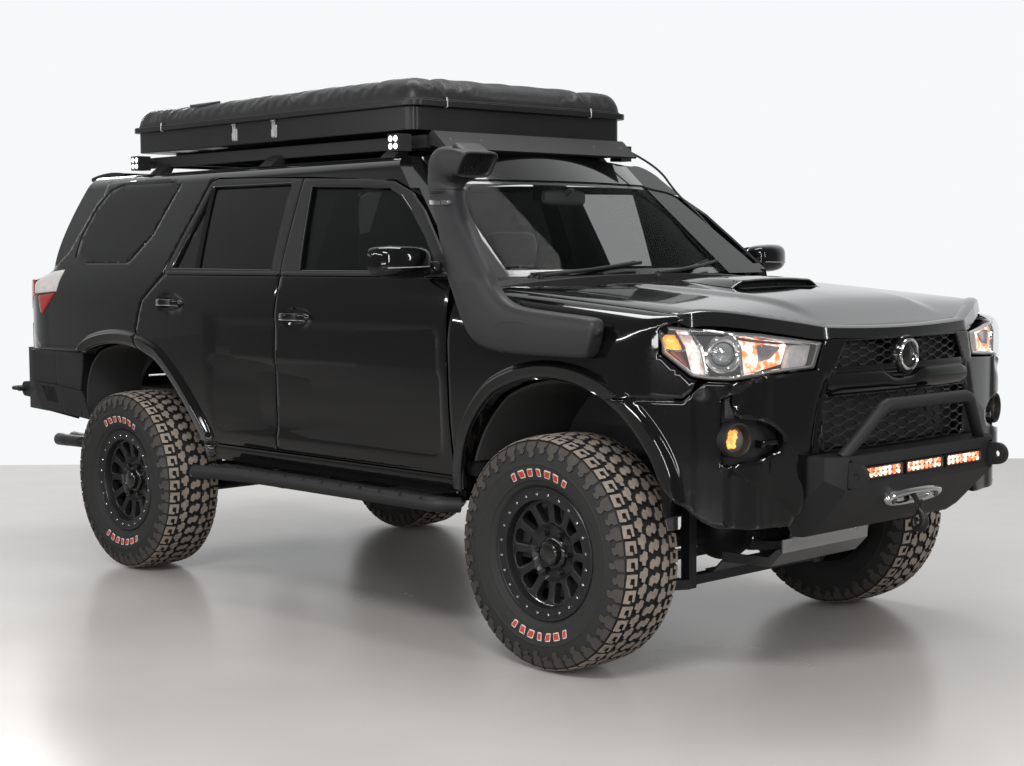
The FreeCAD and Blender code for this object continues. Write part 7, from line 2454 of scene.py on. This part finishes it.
@dataclass
class Screens:
    """Windscreen's dark border, the wipers and the inside mirror."""

    foot: tuple = (1052, 1372)        # the glass's foot on the middle line, as (x, z)
    bow: float = 122.0                # how far x falls back at 600 mm to the side
    slope: float = 1.175              # fall of x over height
    base: float = 1360.0              # height that the border's narrowing starts from
    span: float = 404.0               # height over which it narrows

    def screen(self, y: Points, z: Points) -> Points:
        """Windscreen's x: the foot less the bow and the slope."""
        return self.foot[0] - self.bow * (y / 600.0) ** 2 - self.slope * (z - self.foot[1])

    def build(self) -> None:
        """Make the black border, the wipers and the inside mirror."""
        self._border()
        self._wipers()
        self._inside_mirror()

    def _border(self) -> None:
        """Dark ceramic border round the windscreen, printed on its inside."""
        low = np.linspace(-636, 636, 41)
        side_z = np.linspace(1380, 1758, 21)
        for name, heights in (("top", (1764, 1738)), ("foot", (1374, 1398))):
            strip = []
            for z in heights:
                y = low * (1 - (z - self.base) / self.span * 0.077)
                strip.append(np.stack([self.screen(y, z) - 9.0, y, np.full_like(y, z)], axis=1))
            put(f"windscreen_border_{name}", grid(np.array(strip)), "body", "trim_black", GLOSS_TRIM)
        for side, sign in SIDES:
            edge = 650 - (side_z - self.base) / self.span * 50
            strip = [np.stack([self.screen(edge - off, side_z) - 9.0, sign * (edge - off), side_z], axis=1)
                     for off in (4, 26)]
            put(f"windscreen_border_{side}", grid(np.array(strip)), "body", "trim_black", GLOSS_TRIM)

    def _wipers(self) -> None:
        """Arms and blades that lie along the foot of the glass."""
        arms, blades = [], []
        blade = np.array([[1.2, -1], [1.2, 1], [-1.2, 0.5], [-1.2, -0.5]])
        for pivot, elbow, tip in (((-560, 1376), (-310, 1392), (-30, 1424)),
                                  ((40, 1376), (300, 1396), (545, 1428))):
            line = np.array([[self.screen(np.array(y), z) + 16.0, y, z + 5] for y, z in (pivot, elbow, tip)])
            path = spline(line, 40)
            arms.append(tube(path[:27], np.linspace(8.0, 4.5, 27), 8))
            run = np.array([[self.screen(np.array(y), z) + 9.0, y, z]
                            for y, z in ((pivot[0] + 130, 1389), (elbow[0], elbow[1] + 3), (tip[0], tip[1]))])
            blades.append(tube(spline(run, 40), 5.0, 8, blade))
            arms.append(lathe(((0, 0.5), (0, 16), (12, 14), (14, 0.5)), Axis.Z,
                              (float(line[0, 0]), pivot[0], 1366), 24))
        put("wiper_arms", join(arms), "body", "trim_black", SATIN)
        put("wiper_blades", join(blades), "body", "trim_black", PLASTIC)

    def _inside_mirror(self) -> None:
        """Rear-view mirror on its stem behind the glass."""
        shell = blob(((-118, 574, 1690, 8, 14), (-112, 574, 1690, 14, 26), (-60, 574, 1690, 18, 32),
                      (60, 574, 1690, 18, 32), (112, 574, 1690, 14, 26), (118, 574, 1690, 8, 14)), Axis.Y,
                     3.0, 32, 30)
        stem = tube(spline(((584, 0, 1700), (604, 0, 1716), (628, 0, 1722)), 12), 11.0, 12)
        put("inside_mirror", join([shell, stem]), "body", "interior_dark", CABIN_GREY, smooth=50)


@dataclass
class Seats:
    """Cloth seats: crowned cushions and backs with sewn channels, headrests on posts."""

    def build(self) -> None:
        """Make the front pair and the rear bench, each part as its own pad."""
        for name, x, y, half in (("front_right", 430, -370, 255), ("front_left", 430, 370, 255),
                                 ("rear_right", -480, -285, 272), ("rear_left", -480, 285, 272)):
            self._seat(name, x, y, half, ["seats"] if name == "front_right" else [])

    def _pad(self, name: str, frame_rows: Sequence[Sequence[float]], half: float, y: float, thick_by: float,
             replaces: Sequence[str]) -> bpy.types.Object:
        """A crowned pad along a side-view line.

        Formula: over (t, v) the front face stands out by thickness (1 - |v|^6)^(1/3) (1 - |2t - 1|^8)^(1/3),
        with channels as narrow dips at set v and t.
        """
        line = spline(frame_rows, 40)
        along = np.gradient(line, axis=0)
        along /= np.linalg.norm(along, axis=1)[:, None]
        normal = np.stack([along[:, 1], -along[:, 0]], axis=1)
        t = np.linspace(0, 1, 40)[:, None]
        v = np.linspace(-1, 1, 41)[None, :]
        crown = np.clip(1 - np.abs(v) ** 6, 0, 1) ** 0.33 * np.clip(1 - np.abs(2 * t - 1) ** 8, 0, 1) ** 0.33
        bolster = 16.0 * np.exp(-((np.abs(v) - 0.78) / 0.14) ** 2)
        dips = 5.0 * np.exp(-((np.abs(v) - 0.56) / 0.022) ** 2)
        for place in (0.3, 0.62):
            dips = dips + 4.0 * np.exp(-((t - place) / 0.02) ** 2) * (np.abs(v) < 0.56)
        rows = []
        for face_on in (1.0, -0.55):
            off = thick_by * crown * face_on + (bolster - dips) * crown * (face_on > 0)
            px = line[:, 0:1] + normal[:, 0:1] * off
            pz = line[:, 1:2] + normal[:, 1:2] * off
            py = y + half * v * (0.93 + 0.07 * crown)
            rows.append(np.stack([px, np.broadcast_to(py, px.shape), pz], axis=-1))
        top, under = rows
        ring = np.concatenate([top, under[:, ::-1][:, 1:-1]], axis=1)
        pad = put(name, facing_out(grid(ring, close_v=True, caps=True)), "body", "seat_fabric", CLOTH,
                  smooth=180, replaces=replaces, subdivide=1)
        return pad

    def _seat(self, name: str, x: float, y: float, half: float, replaces: Sequence[str]) -> None:
        """One seat place."""
        low = 0.0 if name.startswith("front") else 40.0
        self._pad(f"seat_{name}_cushion", ((x + 70, 860 + low), (x - 40, 905 + low), (x - 200, 890 + low),
                                           (x - 380, 865 + low)), half * 0.97, y, 62.0, replaces)
        self._pad(f"seat_{name}_back",
                  ((x - 405, 890 + low), (x - 430, 1080 + low), (x - 470, 1260), (x - 520, 1380)),
                  half * 0.92, y, -52.0, ())
        head = blob(((y - 132, x - 566, 1478, 20, 50), (y - 120, x - 566, 1478, 40, 72),
                     (y - 60, x - 566, 1480, 48, 78), (y + 60, x - 566, 1480, 48, 78),
                     (y + 120, x - 566, 1478, 40, 72), (y + 132, x - 566, 1478, 20, 50)),
                    Axis.Y, 2.8, 36, 30)
        rest = put(f"headrest_{name}", head, "body", "seat_fabric", CLOTH, smooth=180)
        posts = join([tube(np.array([[x - 545, y + s, 1340], [x - 560, y + s, 1420]]), 6.0, 10)
                      for s in (-50, 50)])
        put(f"headrest_posts_{name}", posts, "body", "cast_metal", BRIGHT)
        base = join([box((x - 330, x - 20), (y - half * 0.8, y + half * 0.8), (700, 850 + low)),
                     box((x - 400, x + 20), (y - half * 0.72, y - half * 0.6), (657, 720)),
                     box((x - 400, x + 20), (y + half * 0.6, y + half * 0.72), (657, 720))])
        put(f"seat_base_{name}", base, "body", "interior_dark", CABIN_GREY, bevel=8.0)


# ---- steel parts, lamps and the tail --------------------------------------------------------------------
@dataclass
class LightBars:
    """Three lamp bars with two rows of eight cups each, lit in orange and white."""

    pitch: float = 248.0
    half: float = 114.0
    columns: int = 8

    def build(self) -> None:
        """Make the housings, the cups and the clear covers."""
        houses, cups, covers = [], [], []
        for y in (-self.pitch, 0.0, self.pitch):
            rim = self._loop(y, self.half, 706, 748, 7)
            hole = self._loop(y, self.half - 6, 711, 743, 5)
            face = panel(rim, lambda p, drop: np.stack([2329.5 - drop, p[:, 0], p[:, 1]], axis=1), 18.0, 2.0,
                         14.0, holes=[hole])
            houses.append(face)
            houses.append(box((2309, 2312), (y - self.half + 3, y + self.half - 3), (708, 746)))
            step = (2 * self.half - 16) / self.columns
            for k in range(self.columns):
                for z in (719, 735):
                    at = (0, y - self.half + 8 + step * (k + 0.5), z)
                    cups.append(lathe(((2313, 0.5), (2313, 4), (2323, 8.4), (2324.5, 8.4), (2324.5, 7.6),
                                       (2314.5, 3), (2314.5, 0.5)), Axis.X, at, 10))
            covers.append(panel(hole, lambda p, drop: np.stack([2328.4 - drop, p[:, 0], p[:, 1]], axis=1),
                                2.0, 0.8, 20.0))
        put("light_bar_housings", join(houses), "body", "trim_black", SATIN, replaces=["bumper_lights"])
        put("light_bar_cups", join(cups), "body", "lamp_amber", LED_ORANGE)
        put("light_bar_covers", join(covers), "body", "lamp_clear", LENS).visible_shadow = False

    def _loop(self, y: float, half: float, low: float, high: float, radius: float) -> Points:
        """Rectangle about y with rounded corners."""
        left, right = y - half, y + half
        corners = ((left, low), (right, low), (right, high), (left, high), (left, low))
        return round_corners(corners, radius)[:-1]


OVAL_POWER = 0.77                # of cosine and sine: an oval with nearly straight runs


@dataclass
class Winch:
    """Polished oval fairlead on the sloping face, rope end and a black hook."""

    middle: tuple = (2270.8, 0.0, 624.0)
    tilt: float = 42.23

    def build(self) -> None:
        """Make the fairlead's ring, its bolts, the rope and the hook."""
        c, s = squarish(turns(96), OVAL_POWER)
        rows = [np.column_stack([np.full(len(c), depth), c * long, s * high])
                for depth, long, high in ((0.5, 166, 37), (18, 166, 37), (23.5, 160, 32), (24, 140, 26),
                                          (22, 118, 20), (14, 104, 15), (1, 98, 12))]
        ring = facing_out(grid(np.array(rows), close_u=True, close_v=True))
        head = ((22, 0.5), (22, 10), (29, 9), (30, 6), (27, 5), (27, 0.5))
        bolts = [lathe(head, Axis.X, (0, y, 0), 6) for y in (-128, 128)]
        put("winch_fairlead_ring", self._place(ring), "body", "cast_metal", BRIGHT, smooth=60,
            replaces=["winch_fairlead"])
        put("winch_fairlead_bolts", self._place(join(bolts)), "body", "cast_metal", CAST, bevel=0.8)
        back = self._place(box((1.5, 3.0), (-110, 110), (-22, 22)))
        put("winch_fairlead_back", back, "body", "trim_black", LAMP_DARK, bevel=0.5)
        rope = tube(np.array([[-8, 0, 0], [20, 0, 0], [44, 0, -4]]), 9.0, 16)
        put("winch_rope_end", self._place(rope), "body", "trim_black", WEBBING)
        eye = join([tube(np.array([[2303, y, 594], [2306, y, 566]]), 5.5, 12) for y in (13, -13)]
                   + [tube(np.array([[2306, -17, 570], [2306, 17, 570]]), 6.5, 12),
                      tube(np.array([[2303, -17, 594], [2303, 17, 594]]), 7.5, 12)])
        put("winch_hook_clevis", eye, "body", "steel_black", SATIN)
        line = spline(((2306, 0, 570), (2320, 0, 552), (2326, 0, 526), (2315, 0, 506), (2295, 0, 502),
                       (2284, 0, 514), (2283, 0, 532)), 50)
        size = np.interp(np.linspace(0, 1, 50), (0, 0.15, 0.5, 0.85, 1), (13, 15, 16, 12, 5))
        latch = tube(np.array([[2304, 0, 566], [2292, 0, 550], [2284, 0, 532]]), 3.5, 10)
        put("winch_hook", join([tube(line, size, 20), latch]), "body", "steel_black", SATIN)

    def _place(self, surface: Surface) -> Surface:
        """Turn a piece made about the fairlead's middle onto the slope."""
        a = math.radians(self.tilt)
        turn = np.array([[math.cos(a), 0, math.sin(a)], [0, 1, 0], [-math.sin(a), 0, math.cos(a)]])
        return surface.turned(turn).moved(*self.middle)


@dataclass
class SteelParts:
    """Plate-steel parts with rounded edges, and the slider's tread plate."""

    table: tuple = (("winch_bumper", "steel_black", 2.0), ("bumper_hoop", "steel_black", 1.5),
                    ("rock_sliders", "steel_black", 3.0))

    def build(self) -> None:
        """Soften the plates and add the dimpled step strip."""
        for node, slot, bevel in self.table:
            CopyOfCad.soften(node, "body", slot, STEEL, bevel)
        CopyOfCad.soften("skid_plate", "body", "aluminium_plate", ALUMINIUM, 1.5)
        self._rear_facets()
        self._dimples()

    def _rear_facets(self) -> None:
        """Folded side plates of the rear bumper, and the dark plates that close it behind the rear wheels.

        Formula: a plate's y grows along the bumper and falls off linearly towards its low and front edges.
        """
        CopyOfCad.soften("rear_bumper", "body", "steel_black", STEEL, 2.5,
                         lambda p: np.column_stack([p[:, 0], np.clip(p[:, 1], -896, 896), p[:, 2]]))
        pocket = ((-2014, 818), (-2128, 824), (-2116, 748), (-2008, 742))
        table = (((-1786, 1000), (-1990, 1000), (-1985, 836), (-1818, 812), 22.0, 0.0),
                 ((-1993, 1000), (-2215, 1000), (-2210, 846), (-1988, 837), 0.0, 0.0),
                 ((-1818, 809), (-1985, 833), (-1975, 690), (-1790, 668), 22.0, 30.0),
                 ((-1988, 834), (-2208, 843), (-2188, 702), (-1978, 690), 0.0, 36.0))
        for side, sign in SIDES:
            plates = []
            for *loop, front_fall, low_fall in table:
                def at(p: Points, drop: Points, front_fall: float = front_fall,
                       low_fall: float = low_fall) -> Points:
                    """The folded plate's surface."""
                    y = 943.0 - (p[:, 0] + 1836) * 0.064 - drop
                    fold = low_fall * np.clip((838 - p[:, 1]) / 150, 0, 1)
                    y = y - front_fall * rise(-1990, -1786, p[:, 0]) - fold
                    return np.stack([p[:, 0], -y, p[:, 1]], axis=1)

                holes = [np.array(pocket, float)] if low_fall > 30 else []
                plates.append(panel(np.array(loop, float), at, 9.0, 2.0, 22.0, holes=holes))
            plates.append(box((-1850, -1846), (-900, -520), (690, 1030)))
            plates.append(box((-2200, -1846), (-902, -897), (690, 1000)))
            put(f"rear_bumper_side_{side}", on_side(join(plates), sign), "body", "steel_black", STEEL)

    def _dimples(self) -> None:
        """Raised cups along both sliders' steps."""
        low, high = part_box("rock_sliders")
        middle = max(abs(low[1]), abs(high[1])) / MM - 62
        cup = lathe(((0, 8), (3.5, 7), (3.5, 4), (0.5, 3.2), (0.5, 8)), Axis.Z, (0, 0, 0), 10)
        cups = [cup.moved(-560 + 60 * k, s * (middle + (8 if k % 2 else -8)), high[2] / MM - 3.0)
                for s in (-1, 1) for k in range(24)]
        put("slider_dimples", join(cups), "body", "steel_black", STEEL)


PALE_LENS = Finish("pale_tail_lens", (0.55, 0.50, 0.49), (0.86, 0.82, 0.80), (0.05, 0.12), 30.0, coat=0.8)


@dataclass
class Tail:
    """Rear lamps' covers and inner parts, and the exhaust tips."""

    def build(self) -> None:
        """Make the lamps' covers and inner parts, and the lipped exhaust tips."""
        for side, sign in SIDES:
            loop = ((-2262, 1202), (-2211, 1338), (-2300, 1341), (-2480, 1330), (-2480, 1182))
            lens = panel(FORM.cabin_flat(loop), sunk(FORM.side, 1.5), 8.0, 6.0, 14.0)
            put(f"tail_lamp_{side}_cover", on_side(lens, sign), "body", "lamp_red", RED_LENS)
            for name, line, slot, finish in (
                    ("clear", ((-1934, 1396), (-2040, 1386), (-2150, 1354), (-2196, 1330), (-2196, 1276),
                               (-1980, 1290), (-1966, 1338)), "lamp_clear", PALE_LENS),
                    ("low", ((-1984, 1284), (-2150, 1268), (-2124, 1188), (-2100, 1180)), "lamp_red",
                     RED_LENS),
                    ("rear", ((-2199, 1328), (-2222, 1320), (-2224, 1262), (-2155, 1262), (-2158, 1270),
                              (-2199, 1272)),
                     "lamp_red", RED_LENS)):
                part = panel(FORM.cabin_flat(line), sunk(FORM.side, 4.5), 7.0, 3.0, 14.0)
                put(f"tail_lamp_{side}_{name}", on_side(part, sign), "body", slot, finish)
        pipe = ((-2470, 30.5), (-2566, 32.5), (-2570, 31), (-2570, 27), (-2566, 26), (-2470, 26))
        tips = [lathe(pipe, Axis.X, (0, y, 497), 40) for y in (-548, -632)]
        put("exhaust_tips", join(tips), "body", "exhaust_steel", BURNT)


MAKERS: tuple = (SidePanels(), FrontWings(), Wheels(), BumperCover(), Grille(), Headlamps(), Hood(),
                 Snorkel(), RoofTent(), RackTrim(), LightCable(), Mirrors(), Screens(), Seats(),
                 LightBars(), Winch(), SteelParts(), Tail())


def main() -> None:
    """Build every piece in order and log it."""
    logging.basicConfig(level=logging.INFO, format="%(message)s")
    Stage().build()
    Camera().build()
    CadFinishes().dress()
    bpy.context.scene.view_settings.view_transform = "Standard"
    for maker in MAKERS:
        LOG.info("%s", type(maker).__name__)
        maker.build()


if __name__ == "__main__":
    main()
